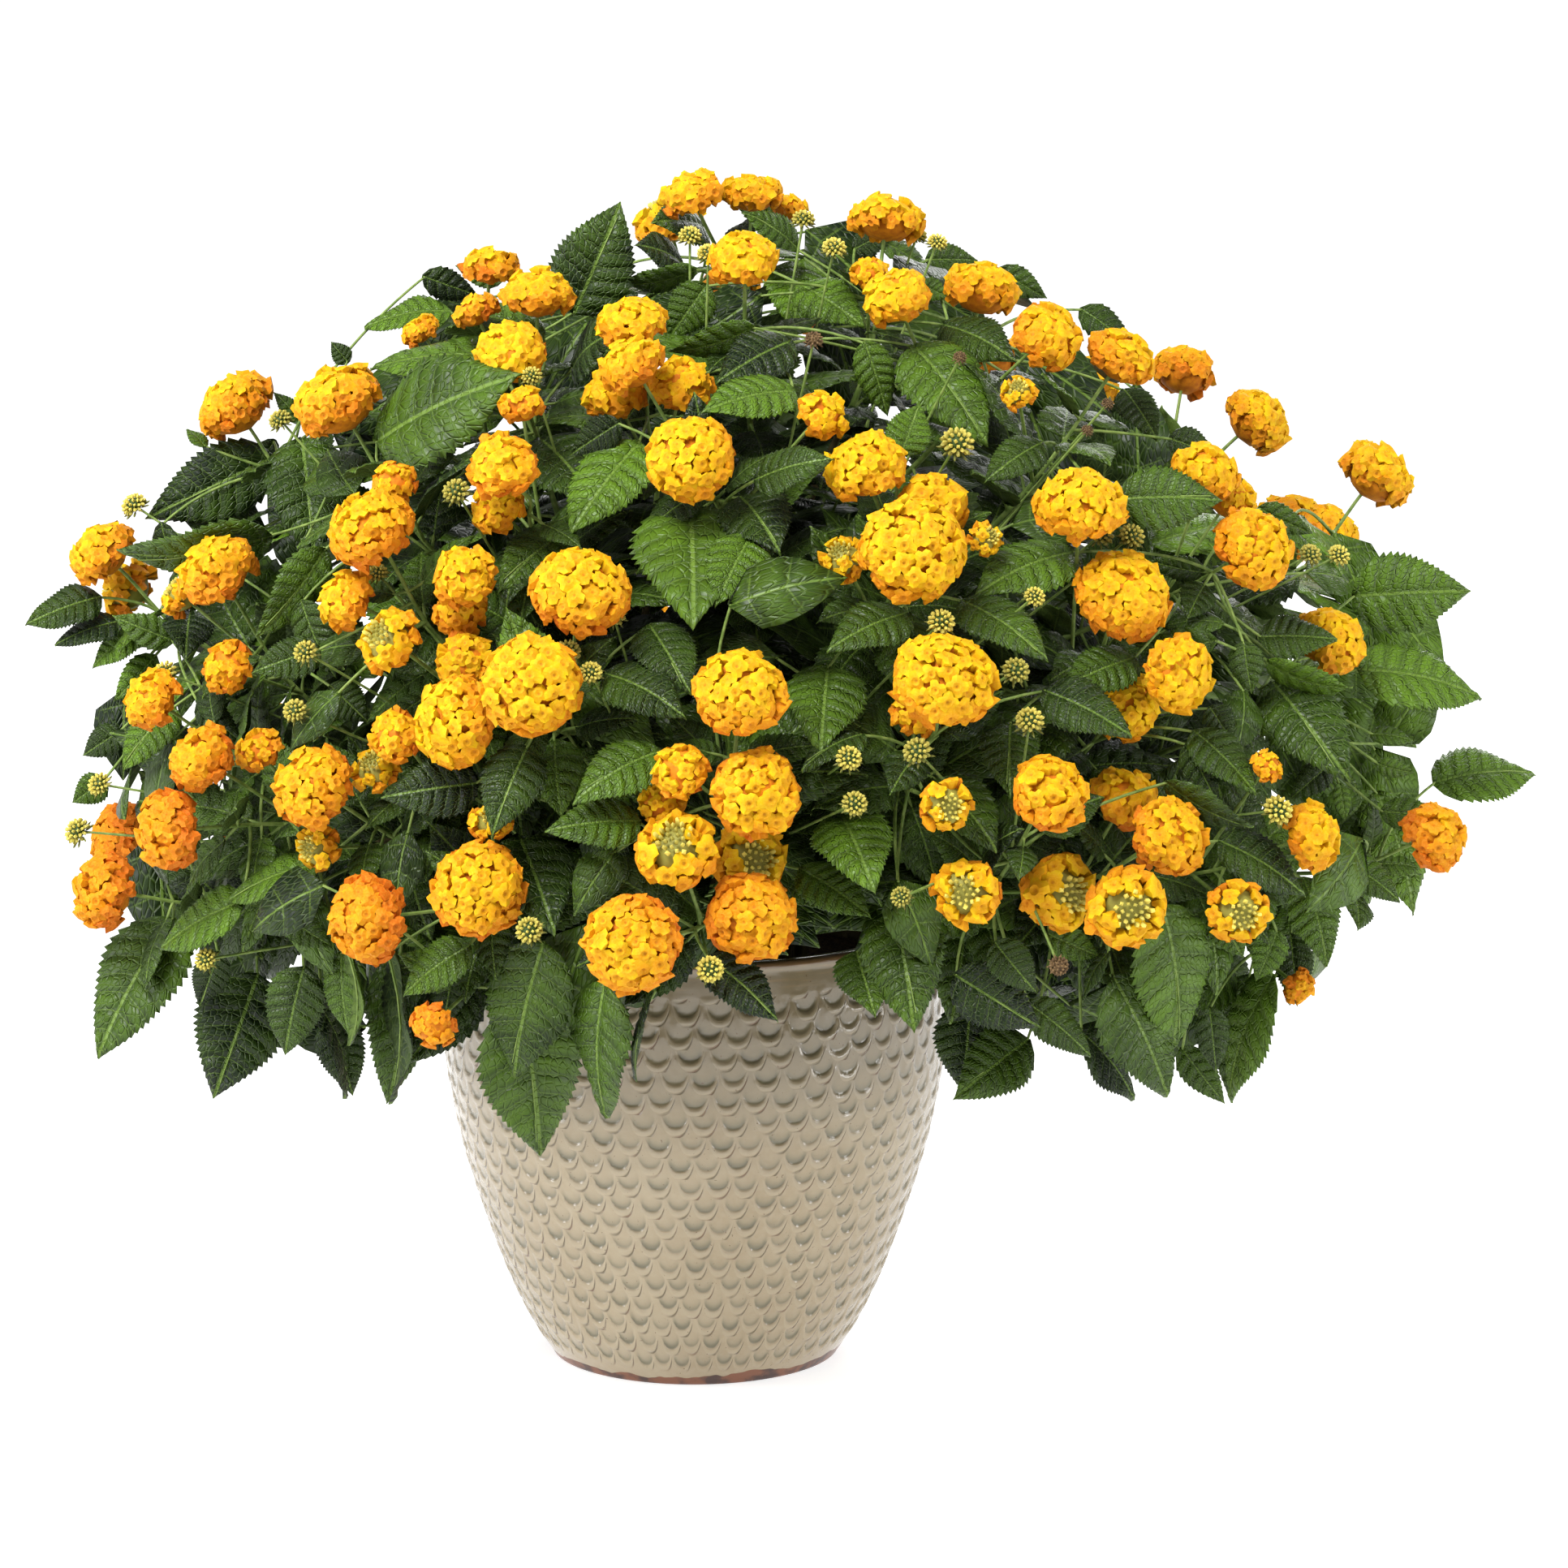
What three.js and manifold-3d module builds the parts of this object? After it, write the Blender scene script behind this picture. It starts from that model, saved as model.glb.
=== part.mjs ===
// A potted lantana: a bushy mound of toothed leaves and domed yellow flower heads in a scooped stoneware pot.
// Millimetres, +Z up, origin at the centre of the pot's foot, the front of the plant looks towards -Y.
import * as THREE from 'three';
import { mergeVertices } from 'three/addons/utils/BufferGeometryUtils.js';
import { ConvexHull } from 'three/addons/math/ConvexHull.js';
import Module from 'manifold-3d';

const wasm = await Module();
wasm.setup();

// ---------------------------------------------------------------- driving dimensions

const POT = {
  height: 250,
  wall: 9,
  floor: 12, // thickness of the base
  facets: 32, // scoops and ridges alternate round the belly
  rows: 13, // levels of scoops and ridges from the foot to the plain band
  scoop: 2.2, // depth of a scoop
  clayRing: 7, // height of the bare ring at the foot
  lip: 1.2, // how far the rolled rim stands out
  band: 16, // height of the smooth band under the rim
};

// Belly outline from the flat foot to the rim, as radius and height.
const BELLY = [[80, 0], [90.7, 16.4], [100.2, 35], [108.2, 54], [121.4, 91.4], [129.8, 119.5], [135.9, 147.6],
  [139.5, 170], [140, 190], [139, 210], [136.6, 228], [134, 250]];

const SOIL = { top: 222, edge: 216, crown: 6, clearance: 0.3, facets: 16, holeDepth: 24, holeSides: 5 };

// The mound of foliage is an ellipsoid, a little wider to the right and flatter underneath.
const MOUND = { x: 35, z: 300, left: 385, right: 428, depth: 342, up: 352, down: 158 };

// The plant is set out on a square front sheet, seen in perspective from a point ahead and above.
const SHEET = {
  eye: new THREE.Vector3(50, -3100, 900),
  aim: new THREE.Vector3(50, 0, 323),
  focal: 6990,
  middle: 966,
};

const STEM = {
  hub: new THREE.Vector3(20, 0, 300), // the main stems fan out from here
  reach: 128, // from the hub to each fork
  radius: 4.2,
  branch: 2.3,
  stalk: 1,
  petiole: 0.9,
  seat: 0.35, // gap between a stalk and the separate flower head on it
};

const LEAF = {
  thickness: 0.8,
  bow: 0.06, // rise of the rib's middle against the length
  fold: 0.05, // drop of the edges against the width
  ratio: 0.62, // width against length
  tooth: 0.1, // how far a tooth stands out against the width
  large: 80, // length from which a blade has three teeth a side
  least: 32, // length under which a leaf counts as small and is left out
  near: 6, // least space between the joints of two leaves
  farthest: 95, // longest stalk that a leaf can have
};

// Opposite leaf pairs down the branches that end behind a line across the plant.
const PAIRS = {
  behind: -30,
  first: 16, // from the end of the branch to its last pair
  gap: 30,
  count: 3,
  stagger: 1.6, // the two leaves of a pair leave the branch this far before and after its place
  petiole: 9,
  longest: 82,
  shortest: 54,
};

const GAP = 0.3; // least space between separate pieces
const MERGE = 0.07; // faces flat to within this are joined where stems and leaves are fused

const BLOOM = {
  own: 46, // heads with a node of their own, the largest first
  flat: 0.8, // height of the dome against its radius
  sideFlat: 0.66,
  cap: 1.95, // angle from the crown to the lowest florets, in radians
  density: 0.47, // florets on the dome for each millimetre of its radius
  fewest: 7,
  most: 12,
  valley: 0.84,
  foot: 0.6,
  footRadius: 2.2,
};

// Flower heads on the front sheet: across, down and width. The first list is fully open, the second still has
// buds in the middle, the third is seen from the side with its stalks showing under it.
const OPEN_HEADS = [
  [972, 258, 50], [917, 322, 86], [1105, 368, 84], [1072, 338, 50], [1210, 358, 90], [1290, 415, 88],
  [1382, 442, 84], [662, 364, 84], [780, 450, 84], [758, 487, 80], [840, 475, 80], [630, 437, 84],
  [642, 500, 60], [290, 502, 98], [417, 497, 112], [850, 565, 110], [1012, 510, 66], [1066, 577, 100],
  [620, 575, 84], [614, 625, 70], [487, 593, 56], [458, 652, 108], [1150, 622, 86], [1125, 678, 132],
  [1330, 625, 110], [1383, 735, 122], [1485, 583, 84], [1515, 615, 70], [1545, 675, 100], [127, 682, 84],
  [268, 705, 100], [715, 730, 122], [570, 710, 78], [568, 755, 70], [428, 740, 76], [280, 822, 66],
  [572, 815, 72], [655, 845, 126], [562, 890, 116], [488, 907, 70], [912, 855, 116], [1163, 838, 128],
  [1128, 880, 64], [1640, 790, 88], [1385, 868, 92], [188, 862, 76], [250, 935, 86], [320, 925, 60],
  [387, 970, 102], [210, 1022, 96], [130, 1098, 94], [838, 950, 70], [818, 985, 66], [932, 978, 112],
  [927, 1130, 112], [1293, 978, 96], [1385, 985, 84], [1440, 1030, 100], [1615, 1030, 82], [1768, 1030, 86],
  [455, 1132, 108], [590, 1095, 116], [780, 1162, 122], [535, 1262, 60], [1600, 1215, 46], [1560, 945, 44],
];
const RING_HEADS = [
  [160, 727, 76], [225, 735, 56], [480, 790, 80], [1040, 690, 62], [463, 950, 62], [393, 1045, 62],
  [835, 1048, 100], [925, 1060, 94], [1165, 992, 70], [1190, 1098, 86], [1303, 1100, 96], [1387, 1117, 100],
  [1525, 1122, 80], [605, 1012, 54], [1213, 665, 46], [1255, 485, 46],
];
const SIDE_HEADS = [
  [852, 240, 78], [926, 240, 78], [1092, 272, 92], [603, 330, 72], [585, 385, 60], [518, 408, 50],
  [778, 398, 88], [1452, 830, 96],
];

// Heads round the back, where the front sheet can't show them.
const BACK = { count: 30, width: 46, narrow: 32, front: -10, apart: 14, seed: 7 };

// Large leaves on the front sheet: foot across and down, tip across and down, width across the blade.
const FRONT_LEAVES = [
  [707, 387, 768, 251, 105], [557, 384, 448, 396, 34], [435, 450, 409, 421, 26], [625, 440, 455, 452, 40],
  [462, 545, 640, 458, 120], [372, 540, 387, 685, 88], [325, 560, 147, 698, 100], [125, 735, 32, 772, 44],
  [150, 765, 68, 795, 32], [178, 775, 110, 818, 34], [665, 540, 740, 620, 80], [789, 544, 707, 659, 50],
  [850, 622, 861, 767, 112], [925, 660, 885, 745, 60], [912, 612, 962, 673, 66], [930, 592, 1022, 565, 52],
  [980, 482, 866, 505, 48], [975, 420, 885, 470, 60], [672, 410, 556, 386, 40], [705, 455, 758, 403, 60],
  [985, 310, 922, 260, 46], [985, 320, 975, 405, 60], [985, 350, 1063, 405, 52], [868, 280, 810, 272, 52],
  [840, 325, 786, 300, 46], [1665, 735, 1812, 722, 100], [1672, 825, 1828, 853, 72],
  [1765, 965, 1897, 947, 58], [1695, 975, 1748, 1126, 26], [1680, 910, 1743, 912, 24],
  [1650, 1060, 1728, 1107, 44], [1605, 1080, 1638, 1190, 40], [1568, 840, 1655, 958, 96],
  [1470, 900, 1546, 978, 46], [1500, 1035, 1612, 1100, 58], [1432, 1115, 1458, 1298, 104],
  [1103, 1120, 1132, 1264, 106], [1055, 1172, 1075, 1250, 62], [1175, 1200, 1282, 1268, 80],
  [1268, 1280, 1175, 1347, 84], [1370, 1200, 1437, 1357, 100], [1570, 1200, 1507, 1357, 76],
  [1330, 1270, 1400, 1354, 60], [1325, 680, 1195, 728, 52], [1378, 615, 1507, 610, 78],
  [1415, 672, 1578, 640, 38], [1595, 705, 1462, 742, 44], [1550, 785, 1648, 790, 50],
  [1400, 810, 1310, 850, 54], [1285, 850, 1395, 905, 62], [1245, 890, 1240, 975, 56],
  [1185, 740, 1290, 808, 44], [1120, 755, 1017, 797, 54], [1030, 800, 966, 790, 32],
  [1020, 822, 1010, 922, 76], [1063, 905, 985, 940, 26], [1035, 1000, 1075, 1092, 78],
  [985, 1070, 1070, 1130, 52], [1210, 1060, 1252, 1020, 46], [1125, 425, 1215, 540, 78],
  [1160, 400, 1255, 440, 46], [1340, 475, 1272, 528, 62], [1385, 480, 1423, 540, 36],
  [1285, 545, 1215, 592, 46], [1565, 625, 1617, 659, 34], [215, 1130, 118, 1303, 78],
  [300, 1110, 195, 1168, 62], [318, 1200, 265, 1352, 116], [375, 1190, 345, 1300, 74],
  [395, 1240, 435, 1354, 58], [430, 1170, 440, 1290, 58], [480, 1170, 490, 1360, 84],
  [670, 1160, 625, 1330, 110], [640, 1230, 665, 1432, 126], [745, 1210, 740, 1383, 88],
  [805, 1220, 778, 1330, 52], [870, 1180, 960, 1256, 54], [580, 1165, 492, 1222, 56],
  [790, 1012, 672, 1022, 62], [815, 925, 702, 980, 58], [650, 920, 607, 1025, 62], [590, 965, 470, 985, 72],
  [395, 1065, 273, 1108, 46], [640, 1030, 680, 1145, 84], [745, 830, 848, 875, 56], [800, 770, 845, 850, 60],
  [657, 788, 552, 728, 56], [395, 800, 312, 830, 52], [235, 752, 225, 806, 46], [215, 870, 147, 945, 44],
  [700, 655, 610, 720, 56],
];

// Main stems, as compass bearing and rise in degrees from the hub.
const MAIN_STEMS = [
  [270, 0], [216, -2], [164, 0], [112, 0], [68, 0], [16, 0], [324, -2],
  [243, 36], [297, 38], [180, 42], [62, 40], [330, 78],
];

// ---------------------------------------------------------------- materials

const FINISHES = {
  glaze: new THREE.MeshStandardMaterial({ color: 0xb9b19c, roughness: 0.35, metalness: 0 }),
  soil: new THREE.MeshStandardMaterial({ color: 0x33261b, roughness: 1, metalness: 0 }),
  foliage: new THREE.MeshStandardMaterial({ color: 0x3d6b2c, roughness: 0.6, metalness: 0 }),
  petals: new THREE.MeshStandardMaterial({ color: 0xf5b312, roughness: 0.65, metalness: 0 }),
};

// ---------------------------------------------------------------- small helpers

const UP = new THREE.Vector3(0, 0, 1);

/** A repeatable draw from 0 to 1 for one numbered item. */
function chance(item, draw) {
  const wave = Math.sin(item * 12.9898 + draw * 78.233) * 43758.5453;
  return wave - Math.floor(wave);
}

/** Direction of a compass bearing and a rise, both in degrees. */
function heading(bearing, rise) {
  const turn = THREE.MathUtils.degToRad(bearing);
  const lift = THREE.MathUtils.degToRad(rise);
  return new THREE.Vector3(Math.cos(turn) * Math.cos(lift), Math.sin(turn) * Math.cos(lift), Math.sin(lift));
}

const along = (point, direction, distance) => point.clone().addScaledVector(direction, distance);

/** The part of a vector that is square to an axis, as a unit vector. */
const squareTo = (vector, axis) => vector.clone().addScaledVector(axis, -vector.dot(axis)).normalize();

/** A closed solid from any closed geometry. */
function solidOf(geometry) {
  const plain = geometry.clone();
  plain.deleteAttribute('normal');
  plain.deleteAttribute('uv');
  const merged = mergeVertices(plain, 1e-4);
  return new wasm.Manifold(new wasm.Mesh({
    numProp: 3,
    vertProperties: new Float32Array(merged.attributes.position.array),
    triVerts: new Uint32Array(merged.index.array),
  }));
}

/** A solid from corner points and the triangles between them. */
function solidFrom(points, triangles) {
  return new wasm.Manifold(new wasm.Mesh({
    numProp: 3,
    vertProperties: new Float32Array(points.flatMap((point) => point.toArray())),
    triVerts: new Uint32Array(triangles.flat()),
  }));
}

/** The named mesh that shows a solid. */
function meshOf(name, solid, finish) {
  const { vertProperties, triVerts } = solid.getMesh();
  const geometry = new THREE.BufferGeometry();
  geometry.setAttribute('position', new THREE.BufferAttribute(vertProperties, 3));
  geometry.setIndex(new THREE.BufferAttribute(triVerts, 1));
  geometry.computeVertexNormals();
  const mesh = new THREE.Mesh(geometry, finish);
  mesh.name = name;
  return mesh;
}

/** A path of straight stretches that is sampled only at its own points. */
class Polyline extends THREE.Curve {
  constructor(points) {
    super();
    this.points = points;
  }

  getPoint(share) {
    const place = share * (this.points.length - 1);
    const step = Math.min(Math.floor(place), this.points.length - 2);
    return this.points[step].clone().lerp(this.points[step + 1], place - step);
  }

  getPointAt(share) {
    return this.getPoint(share);
  }

  getSpacedPoints() {
    return this.points;
  }

  getTangentAt(share) {
    return this.getPoint(Math.min(1, share + 0.01)).sub(this.getPoint(Math.max(0, share - 0.01))).normalize();
  }
}

/** A stem with flat ends along the straight stretches between the given points, of one radius or two. */
function tube(points, radius, sides, endRadius = radius) {
  const section = new THREE.Shape();
  for (let corner = 0; corner < sides; corner += 1) {
    const turn = (2 * Math.PI * corner) / sides;
    if (corner === 0) section.moveTo(radius, 0);
    else section.lineTo(radius * Math.cos(turn), radius * Math.sin(turn));
  }
  section.closePath();
  const options = { steps: points.length - 1, extrudePath: new Polyline(points), bevelEnabled: false };
  const geometry = new THREE.ExtrudeGeometry(section, options);
  const places = geometry.attributes.position;
  const corner = new THREE.Vector3();
  for (let number = 0; number < places.count && endRadius !== radius; number += 1) {
    corner.fromBufferAttribute(places, number);
    const near = points.reduce((best, point) =>
      (point.distanceToSquared(corner) < best.distanceToSquared(corner) ? point : best));
    const size = near === points.at(-1) ? endRadius / radius : 1;
    corner.sub(near).multiplyScalar(size).add(near);
    places.setXYZ(number, corner.x, corner.y, corner.z);
  }
  return solidOf(geometry);
}

// ---------------------------------------------------------------- setting out

const FORWARD = SHEET.aim.clone().sub(SHEET.eye).normalize();
const ACROSS = new THREE.Vector3().crossVectors(FORWARD, UP).normalize();
const ABOVE = new THREE.Vector3().crossVectors(ACROSS, FORWARD);

/** Sight line from the eye through a point of the front sheet. */
function sightLine(across, down) {
  return FORWARD.clone().multiplyScalar(SHEET.focal)
    .addScaledVector(ACROSS, across - SHEET.middle)
    .addScaledVector(ABOVE, SHEET.middle - down)
    .normalize();
}

/** How far out of the mound's middle a point lies: 1 on its surface, 0 at its centre. */
function moundReach(point) {
  const x = point.x - MOUND.x;
  const z = point.z - MOUND.z;
  return Math.hypot(
    x / (x < 0 ? MOUND.left : MOUND.right),
    point.y / MOUND.depth,
    z / (z < 0 ? MOUND.down : MOUND.up),
  );
}

/** Outward direction of the mound at a point. */
function moundNormal(point) {
  const x = point.x - MOUND.x;
  const z = point.z - MOUND.z;
  return new THREE.Vector3(
    x / (x < 0 ? MOUND.left : MOUND.right) ** 2,
    point.y / MOUND.depth ** 2,
    z / (z < 0 ? MOUND.down : MOUND.up) ** 2,
  ).normalize();
}

/** Distance along a sight line to a shell of the mound, or to where the line passes closest to it. */
function sightDistance(sight, shell) {
  let best = 0;
  let closest = Infinity;
  for (let distance = 2600; distance < 3400; distance += 4) {
    const reach = moundReach(along(SHEET.eye, sight, distance));
    if (reach < closest) {
      closest = reach;
      best = distance;
    }
    if (closest <= shell) break;
  }
  return best;
}

const isClear = (centre, radius, heads) =>
  heads.every((head) => head.centre.distanceTo(centre) > head.radius + radius + 1);

/** Flower heads of the front sheet, the largest first, each moved back until it is clear of the others. */
function frontHeads() {
  const listed = [
    ...OPEN_HEADS.map((entry) => ({ entry, stage: 'open' })),
    ...RING_HEADS.map((entry) => ({ entry, stage: 'ring' })),
    ...SIDE_HEADS.map((entry) => ({ entry, stage: 'side' })),
  ];
  listed.forEach((item, index) => {
    item.index = index;
  });
  listed.sort((first, second) => second.entry[2] - first.entry[2] || first.index - second.index);
  const heads = [];
  for (const { entry: [across, down, width], stage, index } of listed) {
    const sight = sightLine(across, down);
    let distance = sightDistance(sight, 0.92 + 0.08 * chance(index, 1));
    let radius = (width / 2) * (distance / SHEET.focal);
    let centre = along(SHEET.eye, sight, distance);
    for (let push = 0; push < 30 && !isClear(centre, radius, heads); push += 1) {
      distance += 5;
      radius = (width / 2) * (distance / SHEET.focal);
      centre = along(SHEET.eye, sight, distance);
    }
    const facing = moundNormal(centre).addScaledVector(UP, stage === 'side' ? 0.9 : 0.35).normalize();
    heads.push({ centre, radius, facing, stage, index });
  }
  return heads;
}

/** Flower heads round the back, spread evenly over the far half of the mound. */
function backHeads(heads) {
  const golden = Math.PI * (3 - Math.sqrt(5));
  const added = [];
  for (let step = 0; added.length < BACK.count && step < 400; step += 1) {
    const index = 200 + step;
    const height = 0.96 - 1.3 * ((step * 0.618034 + 0.31) % 1);
    const turn = golden * step + chance(BACK.seed, 3);
    const level = Math.sqrt(Math.max(0, 1 - height * height));
    const way = new THREE.Vector3(level * Math.cos(turn), level * Math.abs(Math.sin(turn)), height);
    const shell = 0.9 + 0.1 * chance(index, 2);
    const centre = new THREE.Vector3(
      MOUND.x + way.x * shell * (way.x < 0 ? MOUND.left : MOUND.right),
      way.y * shell * MOUND.depth,
      MOUND.z + way.z * shell * (way.z < 0 ? MOUND.down : MOUND.up),
    );
    const radius = (BACK.narrow + (BACK.width - BACK.narrow) * chance(index, 4)) / 2;
    if (centre.y < BACK.front || !isClear(centre, radius + BACK.apart, [...heads, ...added])) continue;
    const facing = moundNormal(centre).addScaledVector(UP, 0.35).normalize();
    added.push({ centre, radius, facing, stage: chance(index, 5) < 0.2 ? 'ring' : 'open', index });
  }
  return added;
}

const HEADS = frontHeads();
HEADS.push(...backHeads(HEADS));

/** Shoots that carry up to three neighbouring heads each, with the knot where their stalks start. */
function gatherShoots() {
  const left = [...HEADS];
  const shoots = [];
  while (left.length > 0) {
    const first = left.shift();
    const near = left
      .filter((head) => head.centre.distanceTo(first.centre) < 76 && head.facing.dot(first.facing) > 0.7)
      .sort((a, b) => a.centre.distanceTo(first.centre) - b.centre.distanceTo(first.centre))
      .slice(0, 2);
    near.forEach((head) => left.splice(left.indexOf(head), 1));
    const heads = [first, ...near];
    const middle = new THREE.Vector3();
    const facing = new THREE.Vector3();
    for (const head of heads) {
      middle.addScaledVector(head.centre, 1 / heads.length);
      facing.add(head.facing);
    }
    shoots.push({ heads, knot: along(middle, facing.normalize(), -64) });
  }
  return shoots;
}

/** How far a straight line stays from a point. */
function lineDistance(start, end, point) {
  return new THREE.Line3(start, end).closestPointToPoint(point, true, new THREE.Vector3()).distanceTo(point);
}

/** Whether a straight stem of some radius passes clear of every head but its own. */
function isOpenWay(start, end, radius, own) {
  return HEADS.every((head) =>
    head === own || lineDistance(start, end, head.centre) > head.radius + radius + 1.5);
}

/** Evenly spaced points on a smooth curve through a few given ones. */
const smooth = (points, steps) =>
  new THREE.CatmullRomCurve3(points, false, 'centripetal').getSpacedPoints(steps);

/** A straight route, or one led round the heads in its way. */
function routeTo(start, end, radius, own = null) {
  if (isOpenWay(start, end, radius, own)) return [start, end];
  const points = [0, 0.2, 0.4, 0.6, 0.8, 1].map((share) => start.clone().lerp(end, share));
  for (let pass = 0; pass < 12; pass += 1) {
    for (let step = 1; step < points.length - 1; step += 1) {
      for (const head of HEADS) {
        if (head === own) continue;
        const away = points[step].clone().sub(head.centre);
        const short = head.radius + radius + 3 - away.length();
        if (short > 0) points[step].addScaledVector(away.normalize(), short);
      }
    }
  }
  return smooth(points, 5);
}

/** The place on a route at some distance back from its end. */
function backFromEnd(route, distance) {
  let left = distance;
  for (let step = route.length - 1; step > 0; step -= 1) {
    const length = route[step].distanceTo(route[step - 1]);
    if (left <= length) return route[step].clone().lerp(route[step - 1], left / length);
    left -= length;
  }
  return route[0].clone();
}

/** The route of one main stem, up out of its hole and outward to its fork. */
function layStem([bearing, rise], number) {
  const way = heading(bearing, rise);
  const spread = rise > 60 ? 10 : rise > 20 ? 34 : 62;
  const foot = new THREE.Vector3(spread, 0, SOIL.top).applyAxisAngle(UP, THREE.MathUtils.degToRad(bearing));
  const fork = along(STEM.hub, way, STEM.reach);
  const turn = foot.clone().multiplyScalar(1.2).setZ(STEM.hub.z - 8);
  const start = along(foot, UP, GAP - SOIL.holeDepth);
  const route = [start, ...smooth([along(foot, UP, 16), turn, fork], 3)];
  return { number, way, foot, fork, route, branches: [], stalks: [] };
}

const STEMS = MAIN_STEMS.map(layStem);

/** The main stem whose direction from the hub comes nearest to a place. */
function stemFor(place) {
  const way = place.clone().sub(STEM.hub).normalize();
  return STEMS.reduce((best, stem) => (stem.way.dot(way) > best.way.dot(way) ? stem : best));
}

/** Gives every shoot its branch, each from its own place on the main stem, and every head its stalk. */
function growWood() {
  for (const shoot of gatherShoots()) stemFor(shoot.knot).branches.push(shoot);
  for (const stem of STEMS) {
    const turn = stem.route.at(-2);
    stem.branches.sort((a, b) => stem.way.dot(b.knot.clone().sub(STEM.hub).normalize())
      - stem.way.dot(a.knot.clone().sub(STEM.hub).normalize()));
    stem.branches.forEach((shoot, order) => {
      const start = stem.fork.clone().lerp(turn, Math.min(0.97, 0.03 + order * 0.13));
      const bow = along(start.clone().lerp(shoot.knot, 0.45), stem.way, 10);
      const direct = routeTo(start, shoot.knot, STEM.branch);
      const bowed = isOpenWay(start, bow, STEM.branch, null) && isOpenWay(bow, shoot.knot, STEM.branch, null);
      shoot.route = direct.length === 2 && bowed ? [start, bow, shoot.knot] : direct;
      shoot.heads.forEach((head, place) => {
        const leave = backFromEnd(shoot.route, 5 * place);
        const route = routeTo(leave, head.centre, STEM.stalk, head);
        head.facing = head.centre.clone().sub(route.at(-2)).normalize();
        route[route.length - 1] = along(head.centre, head.facing, -BLOOM.foot * head.radius);
        if (place === 0) shoot.leader = { head, route };
        else stem.stalks.push({ head, route });
      });
    });
  }
}

growWood();

/** Every stretch of wood, as pairs of end points. */
const WOOD = STEMS.flatMap((stem) => {
  const parts = [stem, ...stem.branches, ...stem.branches.map(({ leader }) => leader), ...stem.stalks];
  return parts.flatMap(({ route }) => route.slice(1).map((end, step) => ({ start: route[step], end, stem })));
});

// ---------------------------------------------------------------- leaves

/** Coarse outline of a leaf: foot, right, tip, left, the middle of its rib and the joint of its stalk. */
function leafOutline({ joint, foot, tip, normal, width }) {
  const axis = tip.clone().sub(foot);
  const length = axis.length();
  axis.normalize();
  const side = new THREE.Vector3().crossVectors(normal, axis);
  const shoulder = along(foot, axis, 0.36 * length);
  return [
    foot,
    along(shoulder, side, -width / 2),
    tip,
    along(shoulder, side, width / 2),
    along(along(foot, axis, 0.45 * length), normal, LEAF.bow * length),
    joint.spot,
  ];
}

const LEAF_FACES = [[4, 0, 1], [4, 1, 2], [4, 2, 3], [4, 3, 0]];
const LEAF_EDGES = [[0, 1], [1, 2], [2, 3], [3, 0], [4, 0], [4, 1], [4, 2], [4, 3], [5, 0]];

/** Whether the line between two points passes through a triangle. */
function pierces(start, end, first, second, third) {
  const line = end.clone().sub(start);
  const edge = second.clone().sub(first);
  const other = third.clone().sub(first);
  const cross = new THREE.Vector3().crossVectors(line, other);
  const spread = edge.dot(cross);
  if (Math.abs(spread) < 1e-9) return false;
  const offset = start.clone().sub(first);
  const across = offset.dot(cross) / spread;
  if (across < 0 || across > 1) return false;
  const turned = new THREE.Vector3().crossVectors(offset, edge);
  const upward = line.dot(turned) / spread;
  if (upward < 0 || across + upward > 1) return false;
  const share = other.dot(turned) / spread;
  return share >= 0 && share <= 1;
}

const cutsThrough = (start, end, outline) =>
  LEAF_FACES.some(([p, q, r]) => pierces(start, end, outline[p], outline[q], outline[r]));

/** Whether two leaves, each with its stalk, pass through each other. */
function leavesCross(one, two) {
  if (!one.box.intersectsBox(two.box)) return false;
  const cuts = (a, b) => LEAF_EDGES.some(([start, end]) => cutsThrough(a[start], a[end], b));
  return cuts(one.outline, two.outline) || cuts(two.outline, one.outline);
}

/** Whether the stalk of a leaf runs into a stretch of wood other than the one that it grows from. */
function stalkMeets(start, end, stretch, own) {
  const length = start.distanceTo(end);
  const wood = lineDistance(stretch.start, stretch.end, start);
  if (own && wood < STEM.branch) return false;
  for (let way = own ? LEAF.near : 0; way <= length; way += LEAF.near) {
    const spot = start.clone().lerp(end, way / length);
    if (lineDistance(stretch.start, stretch.end, spot) < (own ? 0.6 : 1) * LEAF.near) return true;
  }
  return false;
}

/** Whether a leaf is inside a head, is pierced by wood, or has a stalk that folds back or meets either. */
function leafBlocked({ outline, length, joint }) {
  const [foot, right, tip, left, middle] = outline;
  const lead = foot.clone().sub(joint.spot).normalize();
  if (lead.dot(tip.clone().sub(foot)) < LEAF.fold * length) return true;
  const spots = [right, tip, left, middle];
  spots.push(right.clone().lerp(tip, 0.5), left.clone().lerp(tip, 0.5), right.clone().lerp(left, 0.5));
  if (!isOpenWay(joint.spot, foot, STEM.petiole, null)) return true;
  if (HEADS.some((head) => spots.some((spot) => spot.distanceTo(head.centre) < head.radius + 2))) return true;
  return WOOD.some((stretch) => {
    if (lineDistance(stretch.start, stretch.end, middle) > length + 60) return false;
    return cutsThrough(stretch.start, stretch.end, outline)
      || stalkMeets(joint.spot, foot, stretch, stretch.stem === joint.stem);
  });
}

/** Adds what the tests need to a leaf. */
function finishLeaf(leaf) {
  leaf.length = leaf.tip.distanceTo(leaf.foot);
  leaf.outline = leafOutline(leaf);
  leaf.box = new THREE.Box3().setFromPoints(leaf.outline).expandByScalar(1);
  return leaf;
}

/** The wood that a leaf can hang from: the end of the main stem, its branches and the foot of each leader. */
function leafyWood(stem) {
  const branches = stem.branches.map(({ route, leader }) => {
    const reach = leader.head.centre.distanceTo(route.at(-1));
    return [...route, backFromEnd(leader.route, 0.4 * reach)];
  });
  return [stem.route.slice(-3), ...branches];
}

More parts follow.
